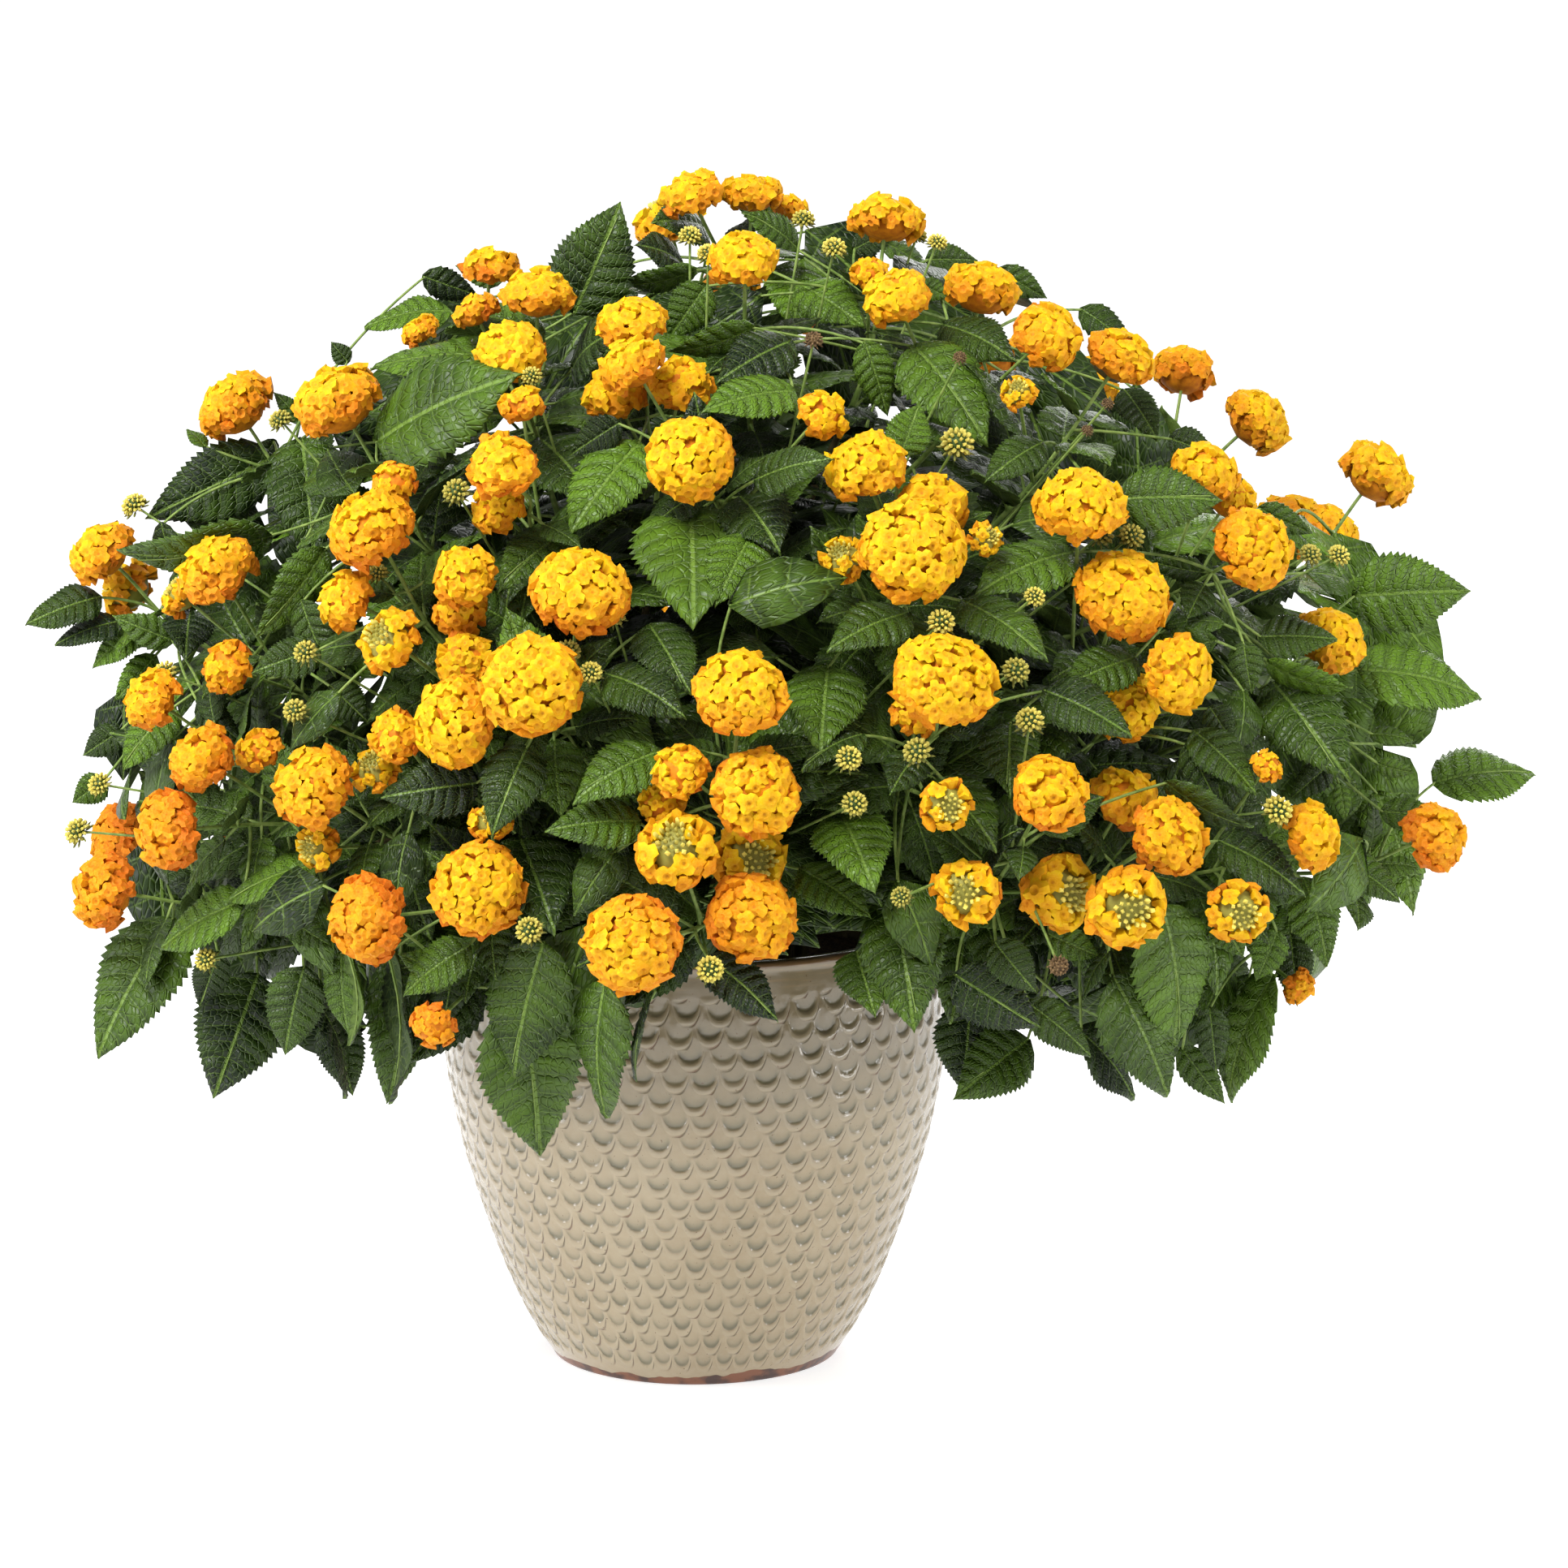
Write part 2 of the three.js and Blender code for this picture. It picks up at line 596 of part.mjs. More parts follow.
/** Free places on the stems and branches to hang a leaf from, one on each of the nearest ones. */
function nearestJoints(place, count) {
  const joints = [];
  for (const stem of STEMS) {
    for (const wood of leafyWood(stem)) {
      let best = { distance: LEAF.farthest };
      for (let step = 1; step < wood.length; step += 1) {
        for (const share of [0.1, 0.28, 0.46, 0.64, 0.82, 0.96]) {
          const spot = wood[step - 1].clone().lerp(wood[step], share);
          const distance = spot.distanceTo(place);
          const taken = LEAVES.some(({ joint }) => joint.spot.distanceTo(spot) < LEAF.near);
          if (distance < best.distance && !taken) best = { stem, spot, distance };
        }
      }
      if (best.stem) joints.push(best);
    }
  }
  return joints.sort((a, b) => a.distance - b.distance).slice(0, count);
}

/** A leaf of the front sheet, moved back or forward along its sight lines, on each of the nearest joints. */
function frontLeaves([footAcross, footDown, tipAcross, tipDown, width], shift) {
  const footSight = sightLine(footAcross, footDown);
  const tipSight = sightLine(tipAcross, tipDown);
  const footReach = sightDistance(footSight, 0.9) + shift;
  const scale = footReach / SHEET.focal;
  const seen = Math.hypot(tipAcross - footAcross, tipDown - footDown) * scale;
  const broad = width * scale;
  const wanted = sightDistance(tipSight, 0.97) + shift;
  const tipReach = THREE.MathUtils.clamp(wanted, footReach - 0.6 * seen, footReach + 30);
  const need = broad / LEAF.ratio;
  const tip = along(SHEET.eye, tipSight, tipReach);
  const deeper = need > seen ? Math.sqrt(need ** 2 - seen ** 2) : 0;
  const foot = along(SHEET.eye, footSight, footReach + deeper);
  const axis = tip.clone().sub(foot);
  const full = Math.max(broad, LEAF.ratio * axis.length());
  axis.normalize();
  const turn = Math.acos(Math.min(1, broad / full));
  const normal = squareTo(footSight.clone().negate(), axis).multiplyScalar(Math.cos(turn))
    .addScaledVector(squareTo(UP, axis), Math.sin(turn));
  return nearestJoints(foot, 6).map((joint) =>
    finishLeaf({ joint, foot, tip, normal: squareTo(normal, axis), width: full }));
}

/** The versions of one leaf of an opposite pair, turned a little round its branch. */
function pairLeaves(joint, axis, side, span) {
  return [0, 0.5, -0.5, 1, -1].map((turn) => {
    const way = side.clone().applyAxisAngle(axis, turn).addScaledVector(axis, 0.5)
      .addScaledVector(UP, -0.3).normalize();
    const foot = along(joint.spot, way, PAIRS.petiole);
    const tip = along(foot, way, span);
    const normal = squareTo(moundNormal(tip).addScaledVector(UP, 0.8), way);
    return finishLeaf({ joint, foot, tip, normal, width: LEAF.ratio * span });
  });
}

/** Keeps the first version of a leaf that is clear of heads, wood and the leaves set before it. */
function settleLeaf(versions, fits) {
  const leaf = versions.find((version) =>
    !leafBlocked(version) && !LEAVES.some((other) => leavesCross(version, other)) && fits(version));
  if (leaf) LEAVES.push(leaf);
  return leaf;
}

const SHIFTS = [0, 10, -10, 20, -20, 32, -32, 46, 60, 75];
const LEAVES = [];

/** Every large leaf of the front sheet, on a long stalk from a near branch. */
function setFrontLeaves(fits) {
  FRONT_LEAVES.forEach((entry) => {
    const versions = SHIFTS.flatMap((shift) => frontLeaves(entry, shift));
    if (versions.some(({ length }) => length > LEAF.least)) settleLeaf(versions, fits);
  });
}

/** Opposite pairs of leaves down each branch behind the front, every pair square to the one before it. */
function setPairs(fits) {
  STEMS.forEach((stem) => stem.branches.forEach((shoot, order) => {
    const item = 1000 + stem.number * 40 + order;
    if (shoot.heads[0].centre.y < PAIRS.behind) return;
    const path = new THREE.CatmullRomCurve3([...shoot.route].reverse(), false, 'centripetal');
    for (let pair = 0; pair < PAIRS.count; pair += 1) {
      const share = (PAIRS.first + PAIRS.gap * pair) / path.getLength();
      if (share > 0.8) break;
      const axis = path.getTangentAt(share).negate();
      const level = squareTo(new THREE.Vector3().crossVectors(UP, axis), axis);
      level.applyAxisAngle(axis, (pair * Math.PI) / 2 + 0.6 * (chance(item, pair) - 0.5));
      for (const hand of [1, -1]) {
        const joint = { stem, spot: path.getPointAt(share + (hand * PAIRS.stagger) / path.getLength()) };
        const span = PAIRS.shortest + (PAIRS.longest - PAIRS.shortest) * chance(item, 10 * pair + hand);
        settleLeaf(pairLeaves(joint, axis, level.clone().multiplyScalar(hand), span), fits);
      }
    }
  }));
}

// Corners of one side of a blade from foot to tip, as share of the length and of half the width.
const LARGE_SIDE = [[0.18, 0.82], [0.55, 0.86]];
const SMALL_SIDE = [[0.36, 0.92]];

/** One leaf: a bowed blade with a tooth over every stretch of its edge, and a three-edged stalk. */
function leafSolid(leaf) {
  const axis = leaf.tip.clone().sub(leaf.foot).normalize();
  const side = new THREE.Vector3().crossVectors(leaf.normal, axis);
  const shape = leaf.length > LEAF.large ? LARGE_SIDE : SMALL_SIDE;
  const drop = (share, out) =>
    LEAF.bow * leaf.length * 4 * share * (1 - share) - LEAF.fold * leaf.width * Math.abs(out);
  const place = (share, out) => along(leaf.foot, axis, share * leaf.length)
    .addScaledVector(side, (out * leaf.width) / 2)
    .addScaledVector(leaf.normal, drop(share, out));
  const raise = (point) => along(point, leaf.normal, LEAF.thickness);
  const lower = [
    ...shape.map(([share, out]) => place(share, -out)),
    place(1, 0),
    ...[...shape].reverse().map(([share, out]) => place(share, out)),
  ];
  const count = lower.length;
  const middle = place(0.45, 0);
  const turn = leaf.foot.clone().sub(leaf.joint.spot).normalize().add(axis).normalize();
  const across = squareTo(side, turn);
  const upright = new THREE.Vector3().crossVectors(turn, across);
  const stalk = [[-1, 1], [1, 1], [0, -1]].map(([out, high]) =>
    along(along(leaf.foot, across, out * STEM.petiole), upright, high * STEM.petiole));
  const heart = stalk.reduce((sum, point) => sum.addScaledVector(point, 1 / 3), new THREE.Vector3());
  const root = stalk.map((point) => leaf.joint.spot.clone().addScaledVector(point.clone().sub(heart), 0.7));
  const rim = [stalk[0], ...lower.map(raise), stalk[1]];
  const teeth = rim.slice(1).map((next, number) => {
    const corner = rim[number];
    const edge = next.clone().sub(corner).normalize();
    const out = squareTo(corner.clone().lerp(next, 0.5).sub(raise(middle)), edge);
    const forward = number <= shape.length ? 0.62 : 0.38;
    return corner.clone().lerp(next, forward).addScaledVector(out, LEAF.tooth * leaf.width);
  });
  const base = [stalk[2], ...lower, stalk[2]];
  const points = [...rim, ...teeth, stalk[2], ...lower, raise(middle), middle, ...root];
  const at = (point) => points.indexOf(point);
  const [over, under] = [points.length - 5, points.length - 4];
  const faces = [[over, at(stalk[1]), at(stalk[0])]];
  teeth.forEach((tooth, number) => {
    const [corner, next] = [at(rim[number]), at(rim[number + 1])];
    const [low, ahead] = [at(base[number]), at(base[number + 1])];
    faces.push([over, corner, at(tooth)], [over, at(tooth), next], [under, ahead, low]);
    faces.push([low, ahead, at(tooth)], [low, at(tooth), corner], [ahead, next, at(tooth)]);
  });
  root.forEach((point, number) => {
    const [near, far] = [at(stalk[number]), at(stalk[(number + 1) % 3])];
    const [nearRoot, farRoot] = [at(point), at(root[(number + 1) % 3])];
    faces.push([near, far, farRoot], [near, farRoot, nearRoot]);
  });
  faces.push([at(root[0]), at(root[1]), at(root[2])]);
  return solidFrom(points, faces);
}

// ---------------------------------------------------------------- flower heads

/** One domed head: florets stand out as points over the cap, with hollows between and a plain underside. */
function bloomSolid(head) {
  const florets = Math.round(THREE.MathUtils.clamp(head.radius * BLOOM.density, BLOOM.fewest, BLOOM.most));
  const golden = Math.PI * (3 - Math.sqrt(5));
  const side = squareTo(new THREE.Vector3(1, 0.3, 0.2), head.facing);
  const other = new THREE.Vector3().crossVectors(head.facing, side);
  const flat = head.stage === 'side' ? BLOOM.sideFlat : BLOOM.flat;
  const corners = [];
  for (let floret = 0; floret < florets; floret += 1) {
    const height = 1 - (1 - Math.cos(BLOOM.cap)) * ((floret + 0.35) / florets);
    const level = Math.sqrt(1 - height * height);
    const turn = golden * floret + head.index;
    corners.push(new THREE.Vector3(level * Math.cos(turn), level * Math.sin(turn), height));
  }
  for (let corner = 0; corner < 3; corner += 1) {
    const turn = (2 * Math.PI * corner) / 3;
    const spot = BLOOM.footRadius / head.radius;
    corners.push(new THREE.Vector3(spot * Math.cos(turn), spot * Math.sin(turn), -BLOOM.foot / flat));
  }
  const hull = new ConvexHull().setFromPoints(corners);
  const points = corners.map((corner, number) =>
    corner.clone().multiplyScalar(head.stage === 'ring' && number < florets && corner.z > 0.72 ? 0.8 : 1));
  const faces = [];
  for (const face of hull.faces) {
    const loop = [];
    let edge = face.edge;
    do {
      loop.push(corners.indexOf(edge.head().point));
      edge = edge.next;
    } while (edge !== face.edge);
    if (loop.every((number) => number < florets)) {
      const hollow = new THREE.Vector3();
      loop.forEach((number) => hollow.addScaledVector(points[number], 1 / loop.length));
      points.push(hollow.multiplyScalar(BLOOM.valley / Math.max(0.8, hollow.length())));
      loop.forEach((number, step) => faces.push([number, loop[(step + 1) % loop.length], points.length - 1]));
    } else {
      for (let step = 2; step < loop.length; step += 1) faces.push([loop[0], loop[step - 1], loop[step]]);
    }
  }
  return solidFrom(points.map((point) => along(
    along(along(head.centre, side, point.x * head.radius), other, point.y * head.radius),
    head.facing,
    point.z * head.radius * flat,
  )), faces);
}

// ---------------------------------------------------------------- pot and soil

/** Radius of the belly's outline at a height. */
function bellyRadius(height) {
  const above = BELLY.findIndex(([, level]) => level >= height);
  if (above <= 0) return BELLY[0][0];
  const [[lowRadius, low], [highRadius, high]] = [BELLY[above - 1], BELLY[above]];
  return lowRadius + ((highRadius - lowRadius) * (height - low)) / (high - low);
}

// Heights at which the inner wall changes its slope, up to the edge of the soil.
const INSIDE = [POT.floor, 60, 130, 190, SOIL.edge];

/** The vessel: a belly with staggered scoops all over, a plain band and rim, hollowed from above. */
function potSolid() {
  const top = POT.height - POT.band;
  const levels = [[0, 0], [POT.clayRing, 0]];
  for (let row = 1; row <= POT.rows; row += 1) {
    levels.push([POT.clayRing + ((top - POT.clayRing) * row) / (POT.rows + 1), POT.scoop]);
  }
  levels.push([top, 0], [POT.height - 4, 0], [POT.height, 0]);
  const points = [];
  levels.forEach(([height, scoop], level) => {
    for (let facet = 0; facet < POT.facets; facet += 1) {
      const turn = (2 * Math.PI * facet) / POT.facets;
      const sunk = (facet + level) % 2 === 0 ? scoop : 0;
      const lip = level === levels.length - 2 ? POT.lip : 0;
      const radius = bellyRadius(height) - sunk + lip;
      points.push(new THREE.Vector3(radius * Math.cos(turn), radius * Math.sin(turn), height));
    }
  });
  const faces = [];
  const ring = (level, facet) => level * POT.facets + (facet % POT.facets);
  for (let level = 1; level < levels.length; level += 1) {
    for (let facet = 0; facet < POT.facets; facet += 1) {
      const [a, b] = [ring(level - 1, facet), ring(level - 1, facet + 1)];
      const [c, d] = [ring(level, facet), ring(level, facet + 1)];
      if ((facet + level) % 2 === 0) faces.push([a, b, d], [a, d, c]);
      else faces.push([a, b, c], [b, d, c]);
    }
  }
  const last = (levels.length - 1) * POT.facets;
  for (let facet = 2; facet < POT.facets; facet += 1) {
    faces.push([0, facet, facet - 1], [last, last + facet - 1, last + facet]);
  }
  return solidFrom(points, faces).subtract(cavity(0, [...INSIDE, POT.height], POT.height + 5));
}

/** The space inside the pot, drawn in from the wall by a clearance, closed at the top by a low cone. */
function cavity(clearance, levels, peak) {
  const profile = levels.map((level) =>
    new THREE.Vector2(bellyRadius(level) - POT.wall - clearance, Math.max(level, POT.floor + clearance)));
  profile.unshift(new THREE.Vector2(0, profile[0].y));
  profile.push(new THREE.Vector2(0, peak));
  return solidOf(new THREE.LatheGeometry(profile, SOIL.facets).rotateX(Math.PI / 2));
}

/** The soil, a little higher in the middle, with a plain hole for every main stem. */
function soilSolid() {
  const holes = STEMS.map((stem) => {
    const hole = new THREE.CylinderGeometry(STEM.radius + 1.4, STEM.radius + 1.4, 60, SOIL.holeSides);
    hole.rotateX(Math.PI / 2);
    return solidOf(hole.translate(stem.foot.x, stem.foot.y, SOIL.top - SOIL.holeDepth + 30));
  });
  const heap = cavity(SOIL.clearance, INSIDE, SOIL.top + SOIL.crown);
  return heap.subtract(wasm.Manifold.union(holes));
}

// ---------------------------------------------------------------- leafy stems

/** Whether two solids come nearer than the gap that separate pieces keep. */
function touches(one, two) {
  const [a, b] = [one.boundingBox(), two.boundingBox()];
  for (let axis = 0; axis < 3; axis += 1) {
    if (a.min[axis] > b.max[axis] + 2 * GAP || b.min[axis] > a.max[axis] + 2 * GAP) return false;
  }
  return one.minGap(two, 2 * GAP) < GAP;
}

/** The wood of one leafy stem: main stem, branches, flower stalks and the heads with no node of their own. */
function woodSolids(stem) {
  const pieces = [tube(stem.route, STEM.radius, 4)];
  const seated = ({ route, head }) => {
    const own = OWN_HEADS.includes(head);
    if (!own) pieces.push(bloomSolid(head));
    return [...route.slice(0, -1), along(route.at(-1), head.facing, own ? -STEM.seat : 2)];
  };
  for (const { route, leader } of stem.branches) {
    pieces.push(tube([...route, ...seated(leader).slice(1)], STEM.branch, 3, STEM.stalk));
  }
  for (const stalk of stem.stalks) pieces.push(tube(seated(stalk), STEM.stalk, 3));
  return pieces;
}

/** Sets the leaves, each clear of every other stem and separate head, and joins each stem in one solid. */
function growStems(separate) {
  const parts = STEMS.map(woodSolids);
  const fits = (leaf) => {
    const blade = leafSolid(leaf);
    const others = parts.filter((own, number) => number !== leaf.joint.stem.number);
    const foreign = [...separate, ...others.flat()];
    if (foreign.some((solid) => touches(blade, solid))) return false;
    parts[leaf.joint.stem.number].push(blade);
    return true;
  };
  setFrontLeaves(fits);
  setPairs(fits);
  return parts.map((own) => wasm.Manifold.union(own).asOriginal().simplify(MERGE));
}

// ---------------------------------------------------------------- the whole plant in its pot

const OWN_HEADS = [...HEADS].sort((a, b) => b.radius - a.radius || a.index - b.index).slice(0, BLOOM.own);

const plant = new THREE.Group();
const pot = potSolid();
const blooms = OWN_HEADS.map(bloomSolid);
const numbered = (name, order) => `${name}_${String(order + 1).padStart(2, '0')}`;

plant.add(meshOf('pot', pot, FINISHES.glaze), meshOf('soil', soilSolid(), FINISHES.soil));
growStems([pot, ...blooms]).forEach((solid, order) => {
  plant.add(meshOf(numbered('leafy_stem', order), solid, FINISHES.foliage));
});
blooms.forEach((solid, order) => plant.add(meshOf(numbered('bloom', order), solid, FINISHES.petals)));

export default plant;
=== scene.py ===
"""A potted lantana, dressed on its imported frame.

The plant is a bushy mound: main stems rise from the soil and fork into branches, the branches carry
opposite toothed leaves and long stalks, and each stalk ends in a dome of small four-lobed florets. The pot
is hand-made stoneware with rows of pressed scoops under a milky glaze. Lengths are millimetres while the
plant is laid out, and become metres when a mesh is made.
"""

from __future__ import annotations

import logging
import math
from dataclasses import dataclass, field
from enum import Enum

import bmesh
import bpy
import numpy as np
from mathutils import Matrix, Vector, noise

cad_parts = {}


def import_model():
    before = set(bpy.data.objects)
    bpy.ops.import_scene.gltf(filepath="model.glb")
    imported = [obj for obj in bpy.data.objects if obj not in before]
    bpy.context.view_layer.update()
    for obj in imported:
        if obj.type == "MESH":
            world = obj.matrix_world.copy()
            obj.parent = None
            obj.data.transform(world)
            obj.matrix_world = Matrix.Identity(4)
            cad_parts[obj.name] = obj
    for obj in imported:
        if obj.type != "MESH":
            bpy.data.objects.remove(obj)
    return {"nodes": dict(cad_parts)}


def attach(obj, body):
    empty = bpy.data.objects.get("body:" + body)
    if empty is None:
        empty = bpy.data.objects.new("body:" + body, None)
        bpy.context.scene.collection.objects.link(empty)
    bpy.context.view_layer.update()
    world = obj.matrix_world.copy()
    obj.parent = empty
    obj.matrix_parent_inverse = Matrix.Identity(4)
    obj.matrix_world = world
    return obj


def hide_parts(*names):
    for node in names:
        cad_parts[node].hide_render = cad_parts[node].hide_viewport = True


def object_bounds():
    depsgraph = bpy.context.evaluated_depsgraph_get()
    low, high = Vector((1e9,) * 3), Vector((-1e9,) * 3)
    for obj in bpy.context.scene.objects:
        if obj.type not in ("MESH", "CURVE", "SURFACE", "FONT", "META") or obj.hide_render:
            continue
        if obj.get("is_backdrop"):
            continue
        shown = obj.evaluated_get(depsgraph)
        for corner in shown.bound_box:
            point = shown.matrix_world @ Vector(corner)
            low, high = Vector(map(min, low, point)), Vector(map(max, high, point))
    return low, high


LOG = logging.getLogger("lantana")
METRE = 0.001
UP = np.array((0.0, 0.0, 1.0))
GOLDEN = math.pi * (3 - math.sqrt(5))
BOX_MARGIN = 2.0
LIGHT_BOUNCES = 3

# ------------------------------------------------------------------ what stands where

# Flower heads on the front sheet: across, down and width, by stage.
OPEN_HEADS = [
    (972, 258, 50), (917, 322, 86), (1105, 368, 84), (1072, 338, 50), (1210, 358, 90), (1290, 415, 88),
    (1382, 442, 84), (662, 364, 84), (780, 450, 84), (758, 487, 80), (840, 475, 80), (630, 437, 84),
    (642, 500, 60), (290, 502, 98), (417, 497, 112), (850, 565, 110), (1012, 510, 66), (1066, 577, 100),
    (620, 575, 84), (614, 625, 70), (487, 593, 56), (458, 652, 108), (1150, 622, 86), (1125, 678, 132),
    (1330, 625, 110), (1383, 735, 122), (1485, 583, 84), (1515, 615, 70), (1545, 675, 100),
    (127, 682, 84), (268, 705, 100), (715, 730, 122), (570, 710, 78), (568, 755, 70), (428, 740, 76),
    (280, 822, 66), (572, 815, 72), (655, 845, 126), (562, 890, 116), (488, 907, 70), (912, 855, 116),
    (1163, 838, 128), (1128, 880, 64), (1640, 790, 88), (1385, 868, 92), (188, 862, 76), (250, 935, 86),
    (320, 925, 60), (387, 970, 102), (210, 1022, 96), (130, 1098, 94), (838, 950, 70), (818, 985, 66),
    (932, 978, 112), (927, 1130, 112), (1293, 978, 96), (1385, 985, 84), (1440, 1030, 100),
    (1615, 1030, 82), (1768, 1030, 86), (455, 1132, 108), (590, 1095, 116), (780, 1162, 122),
    (535, 1262, 60), (1600, 1215, 46), (1560, 945, 44),
]
RING_HEADS = [
    (160, 727, 76), (225, 735, 56), (480, 790, 80), (1040, 690, 62), (463, 950, 62), (393, 1045, 62),
    (835, 1048, 100), (925, 1060, 94), (1165, 992, 70), (1190, 1098, 86), (1303, 1100, 96),
    (1387, 1117, 100), (1525, 1122, 80), (605, 1012, 54), (1213, 665, 46), (1255, 485, 46),
]
SIDE_HEADS = [
    (852, 240, 78), (926, 240, 78), (1092, 272, 92), (603, 330, 72), (585, 385, 60), (518, 408, 50),
    (778, 398, 88), (1452, 830, 96),
]

# Heads still in tight green bud.
BUD_HEADS = [
    (990, 270, 30), (1028, 305, 32), (1155, 298, 26), (1130, 290, 26), (850, 290, 30), (873, 312, 30),
    (345, 517, 30), (165, 622, 34), (562, 605, 36), (465, 706, 28), (376, 803, 32), (363, 875, 32),
    (756, 758, 32), (700, 803, 34), (728, 828, 30), (1357, 658, 34), (1395, 660, 34), (1275, 735, 28),
    (1160, 766, 36), (1252, 826, 36), (1269, 887, 38), (1130, 925, 38), (1046, 934, 34), (1053, 990, 34),
    (1110, 1105, 28), (875, 1194, 36), (253, 1182, 30), (95, 1024, 36), (122, 966, 32), (203, 828, 32),
    (645, 1103, 34), (652, 1146, 36), (1615, 683, 30), (1650, 684, 30), (655, 463, 28), (1180, 545, 44),
    (1575, 998, 40), (1505, 595, 26),
]
SPENT_HEADS = [(1305, 1190, 26), (1003, 418, 24), (1183, 440, 18), (1365, 497, 16), (1340, 530, 16)]

# Large leaves on the front sheet: foot across and down, tip across and down, width across the blade.
FRONT_LEAVES = [
    (707, 387, 768, 251, 105), (557, 384, 448, 396, 34), (435, 450, 409, 421, 26),
    (625, 440, 455, 452, 40), (462, 545, 640, 458, 120), (372, 540, 387, 685, 88),
    (325, 560, 147, 698, 100), (125, 735, 32, 772, 44), (150, 765, 68, 795, 32), (178, 775, 110, 818, 34),
    (665, 540, 740, 620, 80), (789, 544, 707, 659, 50), (850, 622, 861, 767, 112),
    (925, 660, 885, 745, 60), (912, 612, 962, 673, 66), (930, 592, 1022, 565, 52),
    (980, 482, 866, 505, 48), (975, 420, 885, 470, 60), (672, 410, 556, 386, 40),
    (705, 455, 758, 403, 60), (985, 310, 922, 260, 46), (985, 320, 975, 405, 60),
    (985, 350, 1063, 405, 52), (868, 280, 810, 272, 52), (840, 325, 786, 300, 46),
    (1665, 735, 1812, 722, 100), (1672, 825, 1828, 853, 72), (1765, 965, 1897, 947, 58),
    (1695, 975, 1748, 1126, 26), (1680, 910, 1743, 912, 24), (1650, 1060, 1728, 1107, 44),
    (1605, 1080, 1638, 1190, 40), (1568, 840, 1655, 958, 96), (1470, 900, 1546, 978, 46),
    (1500, 1035, 1612, 1100, 58), (1432, 1115, 1458, 1298, 104), (1103, 1120, 1132, 1264, 106),
    (1055, 1172, 1075, 1250, 62), (1175, 1200, 1282, 1268, 80), (1268, 1280, 1175, 1347, 84),
    (1370, 1200, 1437, 1357, 100), (1570, 1200, 1507, 1357, 76), (1330, 1270, 1400, 1354, 60),
    (1325, 680, 1195, 728, 52), (1378, 615, 1507, 610, 78), (1415, 672, 1578, 640, 38),
    (1595, 705, 1462, 742, 44), (1550, 785, 1648, 790, 50), (1400, 810, 1310, 850, 54),
    (1285, 850, 1395, 905, 62), (1245, 890, 1240, 975, 56), (1185, 740, 1290, 808, 44),
    (1120, 755, 1017, 797, 54), (1030, 800, 966, 790, 32), (1020, 822, 1010, 922, 76),
    (1063, 905, 985, 940, 26), (1035, 1000, 1075, 1092, 78), (985, 1070, 1070, 1130, 52),
    (1210, 1060, 1252, 1020, 46), (1125, 425, 1215, 540, 78), (1160, 400, 1255, 440, 46),
    (1340, 475, 1272, 528, 62), (1385, 480, 1423, 540, 36), (1285, 545, 1215, 592, 46),
    (1565, 625, 1617, 659, 34), (215, 1130, 118, 1303, 78), (300, 1110, 195, 1168, 62),
    (318, 1200, 265, 1352, 116), (375, 1190, 345, 1300, 74), (395, 1240, 435, 1354, 58),
    (430, 1170, 440, 1290, 58), (480, 1170, 490, 1360, 84), (670, 1160, 625, 1330, 110),
    (640, 1230, 665, 1432, 126), (745, 1210, 740, 1383, 88), (805, 1220, 778, 1330, 52),
    (870, 1180, 960, 1256, 54), (580, 1165, 492, 1222, 56), (790, 1012, 672, 1022, 62),
    (815, 925, 702, 980, 58), (650, 920, 607, 1025, 62), (590, 965, 470, 985, 72),
    (395, 1065, 273, 1108, 46), (640, 1030, 680, 1145, 84), (745, 830, 848, 875, 56),
    (800, 770, 845, 850, 60), (657, 788, 552, 728, 56), (395, 800, 312, 830, 52),
    (235, 752, 225, 806, 46), (215, 870, 147, 945, 44), (700, 655, 610, 720, 56),
]

